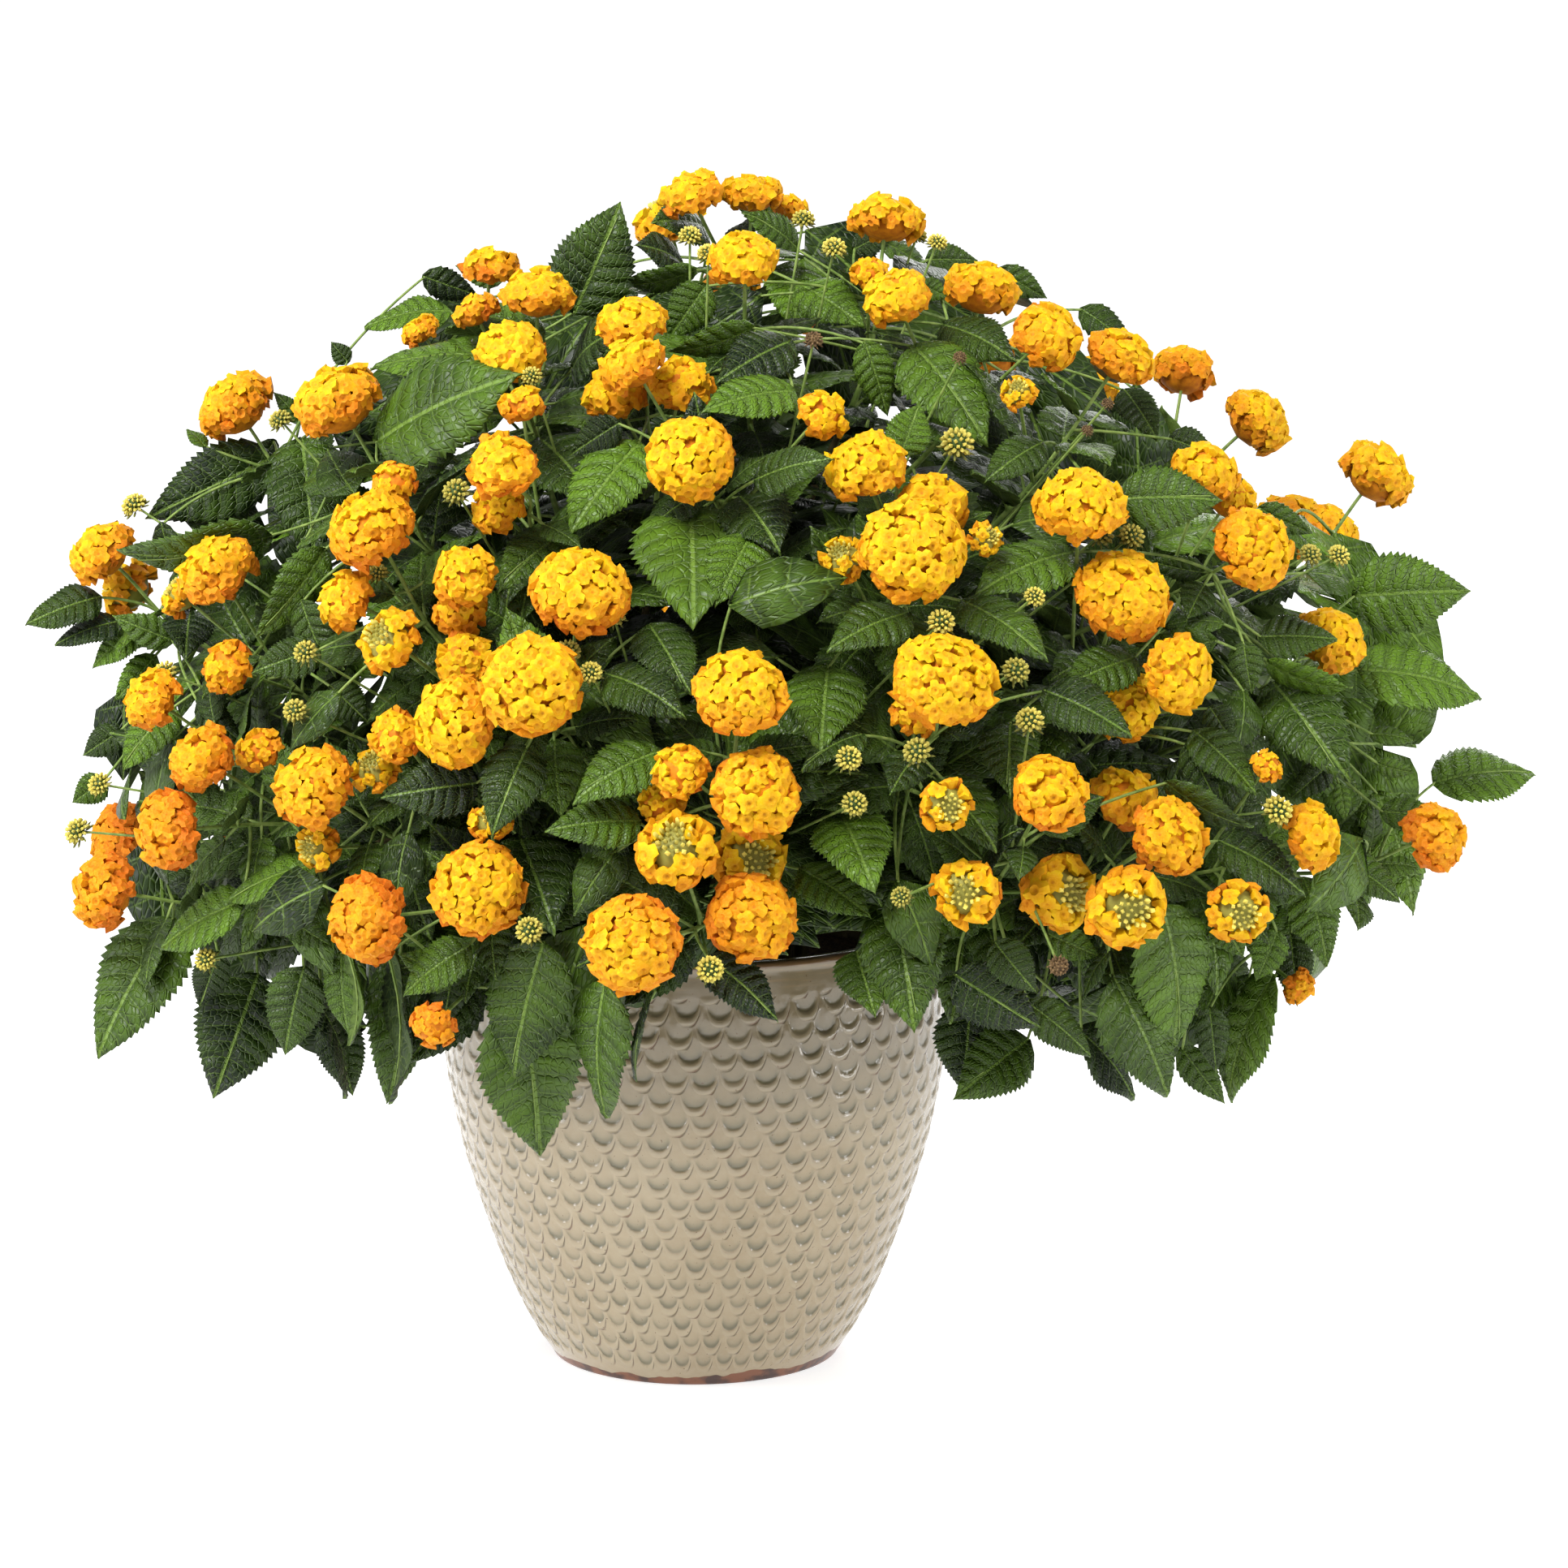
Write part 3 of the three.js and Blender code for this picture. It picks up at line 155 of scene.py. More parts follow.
# Further leaves of the front sheet, listed the same way. They hang where they cover none of the others.
FURTHER_LEAVES = [
    (338, 562, 180, 640, 92), (372, 522, 338, 482, 24), (336, 659, 147, 697, 64),
    (199, 643, 224, 716, 30), (401, 675, 318, 785, 60), (371, 739, 415, 838, 48),
    (215, 790, 138, 761, 42), (192, 807, 143, 866, 40), (430, 447, 407, 422, 26),
    (253, 552, 230, 528, 18), (339, 541, 313, 583, 28), (243, 866, 297, 917, 38),
    (406, 844, 454, 890, 50), (270, 1172, 246, 1243, 46), (410, 1250, 433, 1352, 60),
    (421, 1172, 430, 1280, 48), (493, 1175, 489, 1361, 84), (349, 1128, 410, 1169, 42),
    (858, 332, 763, 352, 30), (872, 350, 822, 418, 58), (930, 402, 826, 440, 42),
    (1050, 308, 1100, 284, 36), (1083, 297, 1157, 343, 28), (1140, 320, 1206, 318, 40),
    (1135, 350, 1168, 368, 30), (1065, 420, 1098, 512, 50), (1110, 560, 1134, 495, 56),
    (797, 483, 760, 535, 50), (765, 520, 700, 560, 46), (1550, 625, 1618, 658, 36),
    (1688, 905, 1743, 912, 22), (1695, 940, 1742, 955, 24), (1650, 965, 1656, 1012, 22),
    (1640, 940, 1590, 985, 40), (1462, 915, 1500, 990, 44), (1435, 962, 1542, 1024, 36),
    (1500, 788, 1395, 800, 40), (1508, 768, 1430, 768, 24), (1484, 705, 1416, 690, 32),
    (1560, 815, 1664, 856, 32), (1532, 790, 1540, 855, 44), (1490, 870, 1520, 915, 40),
    (1195, 1235, 1190, 1346, 84), (1225, 1160, 1275, 1225, 54), (1265, 1235, 1345, 1302, 50),
    (1455, 1290, 1506, 1362, 44), (1490, 1240, 1500, 1322, 44), (1540, 1200, 1508, 1352, 76),
    (1575, 1145, 1550, 1210, 44), (1368, 1172, 1330, 1232, 18), (1290, 1150, 1355, 1180, 44),
    (1500, 1120, 1530, 1180, 50), (1340, 475, 1272, 528, 62), (890, 250, 935, 285, 40),
    (960, 275, 900, 240, 36), (520, 340, 590, 365, 40), (620, 345, 560, 330, 30),
    (500, 560, 560, 520, 44), (130, 960, 90, 990, 40), (150, 900, 100, 930, 40),
    (1700, 1000, 1780, 1010, 40), (1230, 330, 1290, 370, 36), (1330, 380, 1400, 430, 40),
    (1440, 540, 1500, 560, 44), (560, 1180, 545, 1270, 50), (1590, 1150, 1600, 1240, 50),
]

# Main stems, as compass bearing and rise in degrees from the hub.
MAIN_STEMS = [
    (270, 0), (216, -2), (164, 0), (112, 0), (68, 0), (16, 0), (324, -2),
    (243, 36), (297, 38), (180, 42), (62, 40), (330, 78),
]

# Outline of the foliage on the front sheet, which the small leaves keep inside.
OUTLINE = [
    (790, 262), (900, 235), (1000, 255), (1110, 262), (1180, 300), (1260, 350), (1350, 410), (1430, 470),
    (1530, 570), (1620, 640), (1700, 680), (1790, 735), (1800, 830), (1760, 900), (1790, 960),
    (1770, 1060), (1730, 1110), (1650, 1180), (1590, 1270), (1510, 1340), (1400, 1335), (1280, 1310),
    (1175, 1330), (1160, 1200), (1060, 1185), (860, 1185), (800, 1300), (700, 1330), (600, 1290),
    (560, 1290), (490, 1340), (420, 1330), (330, 1290), (250, 1330), (130, 1290), (90, 1120), (85, 1000),
    (110, 900), (60, 790), (110, 700), (160, 620), (250, 540), (330, 490), (440, 450), (470, 390),
    (600, 350), (700, 380), (740, 300),
]


class Stage(Enum):
    """How far a flower head has opened."""

    OPEN = "open"
    RING = "ring"
    SIDE = "side"


class BladeCut(Enum):
    """How finely a blade is cut: rows along it, columns across, veins a side, and if it has teeth."""

    FINE = (19, 8, 8, True)
    PLAIN = (12, 4, 6, True)
    COARSE = (7, 2, 3, False)


# ------------------------------------------------------------------ small helpers


def chance(item: float, draw: float) -> float:
    """A repeatable draw from 0 to 1 for one numbered item."""
    wave = math.sin(item * 12.9898 + draw * 78.233) * 43758.5453
    return wave - math.floor(wave)


def unit(vector: np.ndarray) -> np.ndarray:
    """The vector at length one."""
    return vector / max(1e-12, float(np.linalg.norm(vector)))


def square_to(vector: np.ndarray, axis: np.ndarray) -> np.ndarray:
    """The part of a vector that is square to an axis, as a unit vector."""
    return unit(vector - axis * float(np.dot(vector, axis)))


def turned(vector: np.ndarray, axis: np.ndarray, angle: float) -> np.ndarray:
    """A vector turned round an axis by an angle in radians."""
    cosine, sine = math.cos(angle), math.sin(angle)
    along = axis * float(np.dot(axis, vector))
    return vector * cosine + np.cross(axis, vector) * sine + along * (1 - cosine)


def heading(bearing: float, rise: float) -> np.ndarray:
    """Direction of a compass bearing and a rise, both in degrees."""
    turn, lift = math.radians(bearing), math.radians(rise)
    return np.array((math.cos(turn) * math.cos(lift), math.sin(turn) * math.cos(lift), math.sin(lift)))


def smoothstep(low: float, high: float, value: float | np.ndarray) -> np.ndarray:
    """A smooth rise from 0 at low to 1 at high."""
    share = np.clip((value - low) / (high - low), 0.0, 1.0)
    return share * share * (3 - 2 * share)


def cross(first: np.ndarray, second: np.ndarray) -> np.ndarray:
    """Cross products along the last axis."""
    a, b, c = first[..., 0], first[..., 1], first[..., 2]
    d, e, f = second[..., 0], second[..., 1], second[..., 2]
    return np.stack((b * f - c * e, c * d - a * f, a * e - b * d), axis=-1)


def line_distances(starts: np.ndarray, ends: np.ndarray, spots: np.ndarray) -> np.ndarray:
    """How far each of some straight lines stays from each of some points.

    Args:
        starts: first ends of the lines, one row each.
        ends: second ends of the lines.
        spots: the points.

    Returns:
        One row for each line and one column for each point.
    """
    line = ends - starts
    offset = spots[None, :, :] - starts[:, None, :]
    size = np.maximum(1e-12, np.einsum("ij,ij->i", line, line))
    share = np.clip(np.einsum("ikj,ij->ik", offset, line) / size[:, None], 0.0, 1.0)
    return np.linalg.norm(offset - share[:, :, None] * line[:, None, :], axis=2)


def pierced(starts: np.ndarray, ends: np.ndarray, faces: np.ndarray) -> np.ndarray:
    """Whether each of some lines passes through each of some triangles.

    Args:
        starts: first ends of the lines.
        ends: second ends of the lines.
        faces: triangles, as three corners each.

    Returns:
        One row for each line and one column for each triangle.
    """
    line = (ends - starts)[:, None, :]
    edge = (faces[:, 1] - faces[:, 0])[None]
    other = (faces[:, 2] - faces[:, 0])[None]
    square = cross(line, other)
    spread = (edge * square).sum(axis=2)
    safe = np.where(np.abs(spread) < 1e-9, 1e9, spread)
    offset = starts[:, None, :] - faces[:, 0][None]
    across = (offset * square).sum(axis=2) / safe
    around = cross(offset, edge)
    upward = (line * around).sum(axis=2) / safe
    share = (other * around).sum(axis=2) / safe
    inside = (across >= 0) & (upward >= 0) & (across + upward <= 1) & (share >= 0) & (share <= 1)
    return inside & (np.abs(spread) >= 1e-9)


def inside_polygon(corners: np.ndarray, spots: np.ndarray) -> np.ndarray:
    """Which flat points lie inside a closed outline.

    Args:
        corners: the outline, one flat point a row.
        spots: the flat points.

    Returns:
        One truth value for each point.
    """
    ahead = np.roll(corners, -1, axis=0)
    level = spots[:, 1][:, None]
    crosses = (corners[:, 1] > level) != (ahead[:, 1] > level)
    rise = ahead[:, 1] - corners[:, 1]
    rise = np.where(rise == 0, 1e-9, rise)
    edge = (ahead[:, 0] - corners[:, 0]) * (level - corners[:, 1]) / rise + corners[:, 0]
    return (crosses & (spots[:, 0][:, None] < edge)).sum(axis=1) % 2 == 1


def add_object(name: str, data: bpy.types.ID | None) -> bpy.types.Object:
    """A new object with some data, linked to the scene."""
    made = bpy.data.objects.new(name, data)
    bpy.context.scene.collection.objects.link(made)
    return made


def to_mesh(form: bmesh.types.BMesh, name: str) -> bpy.types.Mesh:
    """A mesh of a finished form, which is freed.

    Args:
        form: the finished form.
        name: name of the mesh.

    Returns:
        The mesh.
    """
    mesh = bpy.data.meshes.new(name)
    form.to_mesh(mesh)
    form.free()
    return mesh


class SmoothPath:
    """A smooth curve through some points, measured along its length."""

    STEPS = 200

    def __init__(self, points: list[np.ndarray]) -> None:
        """Fits the curve and measures it.

        Args:
            points: what the curve goes through, two at least.
        """
        knots = np.asarray(points, float)
        self.count = len(knots)
        self.knots = np.concatenate((2 * knots[:1] - knots[1:2], knots, 2 * knots[-1:] - knots[-2:-1]))
        self.shares = np.linspace(0, 1, self.STEPS + 1)
        self.places = self.points(self.shares)
        steps = np.linalg.norm(np.diff(self.places, axis=0), axis=1)
        self.lengths = np.concatenate(([0.0], np.cumsum(steps)))
        self.length = float(self.lengths[-1])

    def points(self, shares: np.ndarray) -> np.ndarray:
        """The curve's places at some shares of its knots.

        Args:
            shares: shares of the way from the first knot to the last.

        Returns:
            One place a row.
        """
        place = shares * (self.count - 1)
        step = np.minimum(place.astype(int), self.count - 2)
        weight = (place - step)[:, None]
        before, one, two, after = (self.knots[step + ahead] for ahead in range(4))
        gaps = [np.linalg.norm(b - a, axis=1)[:, None] for a, b in ((before, one), (one, two), (two, after))]
        first, second, third = (np.maximum(1e-4, np.sqrt(gap)) for gap in gaps)
        lead = (one - before) / first - (two - before) / (first + second) + (two - one) / second
        trail = (two - one) / second - (after - one) / (second + third) + (after - two) / third
        lead, trail = lead * second, trail * second
        square = -3 * one + 3 * two - 2 * lead - trail
        cube = 2 * one - 2 * two + lead + trail
        return one + lead * weight + square * weight**2 + cube * weight**3

    def many(self, shares: np.ndarray) -> np.ndarray:
        """The places at some shares of the length."""
        return self.points(np.interp(np.asarray(shares, float) * self.length, self.lengths, self.shares))

    def at(self, share: float) -> np.ndarray:
        """The place at a share of the length."""
        return self.many(np.array((share,)))[0]

    def tangent(self, share: float) -> np.ndarray:
        """The direction at a share of the length."""
        knot = np.interp(share * self.length, self.lengths, self.shares)
        ends = self.points(np.clip(np.array((knot - 1e-4, knot + 1e-4)), 0, 1))
        return unit(ends[1] - ends[0])

    def spaced(self, steps: int) -> list[np.ndarray]:
        """Evenly spaced places from end to end."""
        return list(self.many(np.linspace(0, 1, steps + 1)))


def back_from_end(route: list[np.ndarray], distance: float) -> np.ndarray:
    """The place on a route at some distance back from its end.

    Args:
        route: the corners of the route.
        distance: how far back from its end.

    Returns:
        The place, or the start where the route is shorter.
    """
    left = distance
    for step in range(len(route) - 1, 0, -1):
        length = float(np.linalg.norm(route[step] - route[step - 1]))
        if left <= length:
            return route[step] + (route[step - 1] - route[step]) * (left / length)
        left -= length
    return route[0].copy()


# ------------------------------------------------------------------ setting out


@dataclass(frozen=True)
class FrontSheet:
    """The square sheet on which the front of the plant is set out, seen from a point ahead and above."""

    eye: tuple[float, float, float] = (50, -3100, 900)
    aim: tuple[float, float, float] = (50, 0, 323)
    focal: float = 6990
    middle: float = 966

    @property
    def axes(self) -> tuple[np.ndarray, np.ndarray, np.ndarray]:
        """Directions forward, across and up the sheet."""
        forward = unit(np.array(self.aim, float) - np.array(self.eye, float))
        across = unit(np.cross(forward, UP))
        return forward, across, np.cross(across, forward)

    def sight(self, across: float, down: float) -> np.ndarray:
        """Direction from the eye through a point of the sheet."""
        forward, side, above = self.axes
        return unit(forward * self.focal + side * (across - self.middle) + above * (self.middle - down))

    def along(self, sight: np.ndarray, distance: float) -> np.ndarray:
        """The place at a distance from the eye."""
        return np.array(self.eye, float) + sight * distance

    def seen(self, places: np.ndarray) -> np.ndarray:
        """Across and down of places in space.

        Args:
            places: the places, one a row.

        Returns:
            Across and down, one row for each place.
        """
        forward, side, above = self.axes
        offset = places - np.array(self.eye, float)
        flat = self.focal / (offset @ forward)
        across = self.middle + offset @ side * flat
        down = self.middle - offset @ above * flat
        return np.stack((across, down), axis=1)


@dataclass(frozen=True)
class Mound:
    """The ellipsoid that the foliage fills, a little wider to the right and flatter underneath."""

    x: float = 35
    z: float = 300
    left: float = 385
    right: float = 428
    depth: float = 342
    up: float = 352
    down: float = 158

    def radii(self, places: np.ndarray) -> np.ndarray:
        """The radii that hold at each place."""
        side = np.where(places[..., 0] < self.x, self.left, self.right)
        rise = np.where(places[..., 2] < self.z, self.down, self.up)
        return np.stack((side, np.full_like(side, self.depth), rise), axis=-1)

    def reach(self, places: np.ndarray) -> np.ndarray:
        """How far out of the middle places lie: 1 on the surface, 0 at the centre."""
        places = np.asarray(places, float)
        return np.linalg.norm((places - (self.x, 0, self.z)) / self.radii(places), axis=-1)

    def normal(self, place: np.ndarray) -> np.ndarray:
        """Outward direction at a place."""
        return unit((place - (self.x, 0, self.z)) / self.radii(place) ** 2)

    def sight_distance(self, sheet: FrontSheet, sight: np.ndarray, shell: float) -> float:
        """Distance along a sight line to a shell, or to where the line passes closest to it.

        Args:
            sheet: the sheet whose eye the line starts from.
            sight: direction of the line.
            shell: how far out of the middle the shell is.

        Returns:
            The distance from the eye.
        """
        steps = np.arange(2600, 3400, 4.0)
        reach = self.reach(np.array(sheet.eye, float) + sight * steps[:, None])
        low = np.minimum.accumulate(reach)
        within = np.nonzero(low <= shell)[0]
        last = int(within[0]) if len(within) else len(steps) - 1
        return float(steps[int(np.argmin(reach[: last + 1]))])


SHEET = FrontSheet()
MOUND = Mound()


@dataclass
class Head:
    """One flower head: where it is, how large, which way it looks and how far it has opened."""

    centre: np.ndarray
    radius: float
    facing: np.ndarray
    stage: Stage
    index: int


@dataclass
class Stalk:
    """The route that ends in one flower head."""

    head: Head
    route: list[np.ndarray]


@dataclass
class Shoot:
    """A branch that carries up to three neighbouring heads."""

    heads: list[Head]
    knot: np.ndarray
    route: list[np.ndarray] = field(default_factory=list)
    leader: Stalk | None = None


@dataclass
class MainStem:
    """One stem out of the soil, with its branches and side stalks."""

    number: int
    way: np.ndarray
    foot: np.ndarray
    fork: np.ndarray
    route: list[np.ndarray]
    branches: list[Shoot] = field(default_factory=list)
    stalks: list[Stalk] = field(default_factory=list)


@dataclass
class Leaf:
    """One leaf: the joint of its stalk, the foot and tip of its blade, and which way the blade looks."""

    joint: np.ndarray
    stem: int
    foot: np.ndarray
    tip: np.ndarray
    normal: np.ndarray
    width: float
    tone: float = 0.5
    cut: BladeCut = BladeCut.FINE
    length: float = 0.0
    outline: np.ndarray = field(default_factory=lambda: np.zeros((6, 3)))

    BOW = 0.06
    FOLD = 0.05

    def __post_init__(self) -> None:
        """Works out the coarse outline: foot, right, tip, left, the middle of the rib and the joint."""
        axis = self.tip - self.foot
        self.length = float(np.linalg.norm(axis))
        axis = axis / self.length
        side = np.cross(self.normal, axis)
        shoulder = self.foot + axis * 0.36 * self.length
        middle = self.foot + axis * 0.45 * self.length + self.normal * self.BOW * self.length
        self.outline = np.array((
            self.foot, shoulder - side * self.width / 2, self.tip, shoulder + side * self.width / 2, middle,
            self.joint,
        ))

    @property
    def faces(self) -> np.ndarray:
        """The four triangles round the middle of the rib."""
        return self.outline[np.array(((4, 0, 1), (4, 1, 2), (4, 2, 3), (4, 3, 0)))]

    @property
    def edges(self) -> tuple[np.ndarray, np.ndarray]:
        """Both ends of each edge, the stalk's among them."""
        return self.outline[[0, 1, 2, 3, 4, 4, 4, 4, 5]], self.outline[[1, 2, 3, 0, 0, 1, 2, 3, 0]]


@dataclass
class Growth:
    """Sets out the whole plant: its flower heads, its wood and its leaves, with no two in the same place."""

    hub: tuple[float, float, float] = (20, 0, 300)
    reach: float = 128
    branch: float = 2.3
    stalk: float = 1.0
    petiole: float = 0.9
    soil_top: float = 222
    hole_depth: float = 24
    head_foot: float = 0.6
    back_count: int = 30
    joint_space: float = 6
    longest_petiole: float = 95
    least_leaf: float = 32
    leaf_ratio: float = 0.62
    neighbour_space: float = 76
    neighbour_facing: float = 0.7
    shoot_tip: float = 64
    pair_behind: float = -30
    pair_first: float = 16
    pair_gap: float = 30
    pair_count: int = 3
    pair_stagger: float = 1.6
    joint_shares: tuple[float, ...] = (0.1, 0.28, 0.46, 0.64, 0.82, 0.96)
    sight_shifts: tuple[float, ...] = (0, 10, -10, 20, -20, 32, -32, 46, 60, 75)
    front_count: int = 0
    heads: list[Head] = field(default_factory=list)
    stems: list[MainStem] = field(default_factory=list)
    leaves: list[Leaf] = field(default_factory=list)
    lows: np.ndarray = field(default_factory=lambda: np.zeros((4000, 3)))
    highs: np.ndarray = field(default_factory=lambda: np.zeros((4000, 3)))

    def grow(self) -> None:
        """Sets out heads, wood and the leaves that the solids have too."""
        self.set_front_heads()
        self.set_back_heads()
        self.centres = np.array([head.centre for head in self.heads])
        self.sizes = np.array([head.radius for head in self.heads])
        self.stems = [self.lay_stem(*way, number) for number, way in enumerate(MAIN_STEMS)]
        self.grow_wood()
        self.gather_wood()
        self.gather_spots()
        self.set_front_leaves()
        self.set_pairs()

    # -- flower heads

    def is_clear(self, centre: np.ndarray, radius: float) -> bool:
        """Whether a new head stays off the ones already set."""
        space = [float(np.linalg.norm(head.centre - centre)) - head.radius for head in self.heads]
        return all(gap > radius + 1 for gap in space)

    def set_front_heads(self) -> None:
        """Sets the heads of the front sheet, the largest first, each moved back until it is clear."""
        listed = [(entry, Stage.OPEN) for entry in OPEN_HEADS]
        listed += [(entry, Stage.RING) for entry in RING_HEADS]
        listed += [(entry, Stage.SIDE) for entry in SIDE_HEADS]
        numbered = sorted(enumerate(listed), key=lambda item: (-item[1][0][2], item[0]))
        for index, ((across, down, width), stage) in numbered:
            sight = SHEET.sight(across, down)
            distance = MOUND.sight_distance(SHEET, sight, 0.92 + 0.08 * chance(index, 1))
            for _ in range(31):
                radius = (width / 2) * (distance / SHEET.focal)
                centre = SHEET.along(sight, distance)
                if self.is_clear(centre, radius):
                    break
                distance += 5
            facing = unit(MOUND.normal(centre) + UP * (0.9 if stage is Stage.SIDE else 0.35))
            self.heads.append(Head(centre, radius, facing, stage, index))

    def set_back_heads(self) -> None:
        """Spreads heads evenly over the far half of the mound."""
        added = 0
        for step in range(400):
            index = 200 + step
            height = 0.96 - 1.3 * ((step * 0.618034 + 0.31) % 1)
            turn = GOLDEN * step + chance(7, 3)
            level = math.sqrt(max(0.0, 1 - height * height))
            way = np.array((level * math.cos(turn), level * abs(math.sin(turn)), height))
            shell = 0.9 + 0.1 * chance(index, 2)
            side = MOUND.left if way[0] < 0 else MOUND.right
            rise = MOUND.down if way[2] < 0 else MOUND.up
            centre = np.array((MOUND.x, 0, MOUND.z)) + way * shell * (side, MOUND.depth, rise)
            radius = (32 + 14 * chance(index, 4)) / 2
            if centre[1] < -10 or not self.is_clear(centre, radius + 14):
                continue
            facing = unit(MOUND.normal(centre) + UP * 0.35)
            stage = Stage.RING if chance(index, 5) < 0.2 else Stage.OPEN
            self.heads.append(Head(centre, radius, facing, stage, index))
            added += 1
            if added == self.back_count:
                return

    # -- wood

    def gather_shoots(self) -> list[Shoot]:
        """Joins neighbouring heads that look the same way on one shoot.

        Returns:
            The shoots, whose routes are still to be laid.
        """
        left = list(self.heads)
        shoots = []
        while left:
            first = left.pop(0)
            near = [
                head for head in left
                if np.linalg.norm(head.centre - first.centre) < self.neighbour_space
                and float(head.facing @ first.facing) > self.neighbour_facing
            ]
            near.sort(key=lambda head: float(np.linalg.norm(head.centre - first.centre)))
            heads = [first, *near[:2]]
            left = [head for head in left if not any(head is other for other in heads)]
            middle = sum(head.centre for head in heads) / len(heads)
            facing = unit(sum(head.facing for head in heads))
            shoots.append(Shoot(heads, middle - facing * self.shoot_tip))
        return shoots

    def is_open_way(self, start: np.ndarray, end: np.ndarray, radius: float, own: Head | None) -> bool:
        """Whether a straight stem passes clear of every head but its own.

        Args:
            start: one end of the stem.
            end: its other end.
            radius: its radius.
            own: the head that it carries, if any.

        Returns:
            Whether the way is open.
        """
        space = line_distances(start[None], end[None], self.centres)[0] - self.sizes - radius - 1.5
        if own is not None:
            space[[head is own for head in self.heads].index(True)] = 1
        return bool((space > 0).all())

    def route_to(
        self, start: np.ndarray, end: np.ndarray, radius: float, own: Head | None = None
    ) -> list[np.ndarray]:
        """A straight route, or one led round the heads in its way.

        Args:
            start: where the wood starts.
            end: where it ends.
            radius: its radius.
            own: the head that it carries, if any.

        Returns:
            The corners of the route.
        """
        if self.is_open_way(start, end, radius, own):
            return [start, end]
        points = [start + (end - start) * share for share in (0, 0.2, 0.4, 0.6, 0.8, 1)]
        for _ in range(12):
            for step in range(1, 5):
                space = np.linalg.norm(self.centres - points[step], axis=1) - self.sizes - radius - 3
                if (space >= 0).all():
                    continue
                for head in self.heads:
                    if head is own:
                        continue
                    away = points[step] - head.centre
                    short = head.radius + radius + 3 - float(np.linalg.norm(away))
                    if short > 0:
                        points[step] = points[step] + unit(away) * short
        return SmoothPath(points).spaced(5)

    def lay_stem(self, bearing: float, rise: float, number: int) -> MainStem:
        """The route of one main stem, up out of its hole and outward to its fork.

        Args:
            bearing: compass bearing in degrees.
            rise: rise from the hub in degrees.
            number: number of the stem.

        Returns:
            The stem, with no branches yet.
        """
        way = heading(bearing, rise)
        spread = 10 if rise > 60 else 34 if rise > 20 else 62
        turn = math.radians(bearing)
        foot = np.array((spread * math.cos(turn), spread * math.sin(turn), self.soil_top))
        fork = np.array(self.hub, float) + way * self.reach
        bend = np.array((foot[0] * 1.2, foot[1] * 1.2, self.hub[2] - 8))
        start = foot + UP * (0.3 - self.hole_depth)
        route = [start, *SmoothPath([foot + UP * 16, bend, fork]).spaced(3)]
        return MainStem(number, way, foot, fork, route)

    def grow_wood(self) -> None:
        """Gives every shoot its branch and every head its stalk."""
        hub = np.array(self.hub, float)
        for shoot in self.gather_shoots():
            way = unit(shoot.knot - hub)
            max(self.stems, key=lambda stem: float(stem.way @ way)).branches.append(shoot)
        for stem in self.stems:
            bend = stem.route[-2]
            stem.branches.sort(key=lambda shoot: -float(stem.way @ unit(shoot.knot - hub)))
            for order, shoot in enumerate(stem.branches):
                start = stem.fork + (bend - stem.fork) * min(0.97, 0.03 + order * 0.13)
                bow = start + (shoot.knot - start) * 0.45 + stem.way * 10
                direct = self.route_to(start, shoot.knot, self.branch)
                bowed = self.is_open_way(start, bow, self.branch, None)
                bowed = bowed and self.is_open_way(bow, shoot.knot, self.branch, None)
                shoot.route = [start, bow, shoot.knot] if len(direct) == 2 and bowed else direct
                for place, head in enumerate(shoot.heads):
                    leave = back_from_end(shoot.route, 5 * place)
                    route = self.route_to(leave, head.centre, self.stalk, head)
                    head.facing = unit(head.centre - route[-2])
                    route[-1] = head.centre - head.facing * self.head_foot * head.radius
                    if place == 0:
                        shoot.leader = Stalk(head, route)
                    else:
                        stem.stalks.append(Stalk(head, route))

    def gather_wood(self) -> None:
        """Lists every straight stretch of wood."""
        starts, ends, owners = [], [], []
        for stem in self.stems:
            routes = [stem.route] + [shoot.route for shoot in stem.branches]
            routes += [shoot.leader.route for shoot in stem.branches]
            routes += [stalk.route for stalk in stem.stalks]
            for route in routes:
                starts += route[:-1]
                ends += route[1:]
                owners += [stem.number] * (len(route) - 1)
        self.wood_starts, self.wood_ends = np.array(starts), np.array(ends)
        self.wood_owners = np.array(owners)

    def gather_spots(self) -> None:
        """Lists the places that a leaf can hang from, by route."""
        spots, routes, owners = [], [], []
        for stem in self.stems:
            leafy = [stem.route[-3:]]
            for shoot in stem.branches:
                reach = float(np.linalg.norm(shoot.leader.head.centre - shoot.route[-1]))
                leafy.append([*shoot.route, back_from_end(shoot.leader.route, 0.4 * reach)])
            for number, wood in enumerate(leafy):
                for start, end in zip(wood, wood[1:]):
                    for share in self.joint_shares:
                        spots.append(start + (end - start) * share)
                        routes.append(stem.number * 100 + number)
                        owners.append(stem.number)
        self.spots, self.spot_routes, self.spot_owners = np.array(spots), np.array(routes), np.array(owners)
        self.taken = np.zeros(len(spots), bool)

    # -- leaves

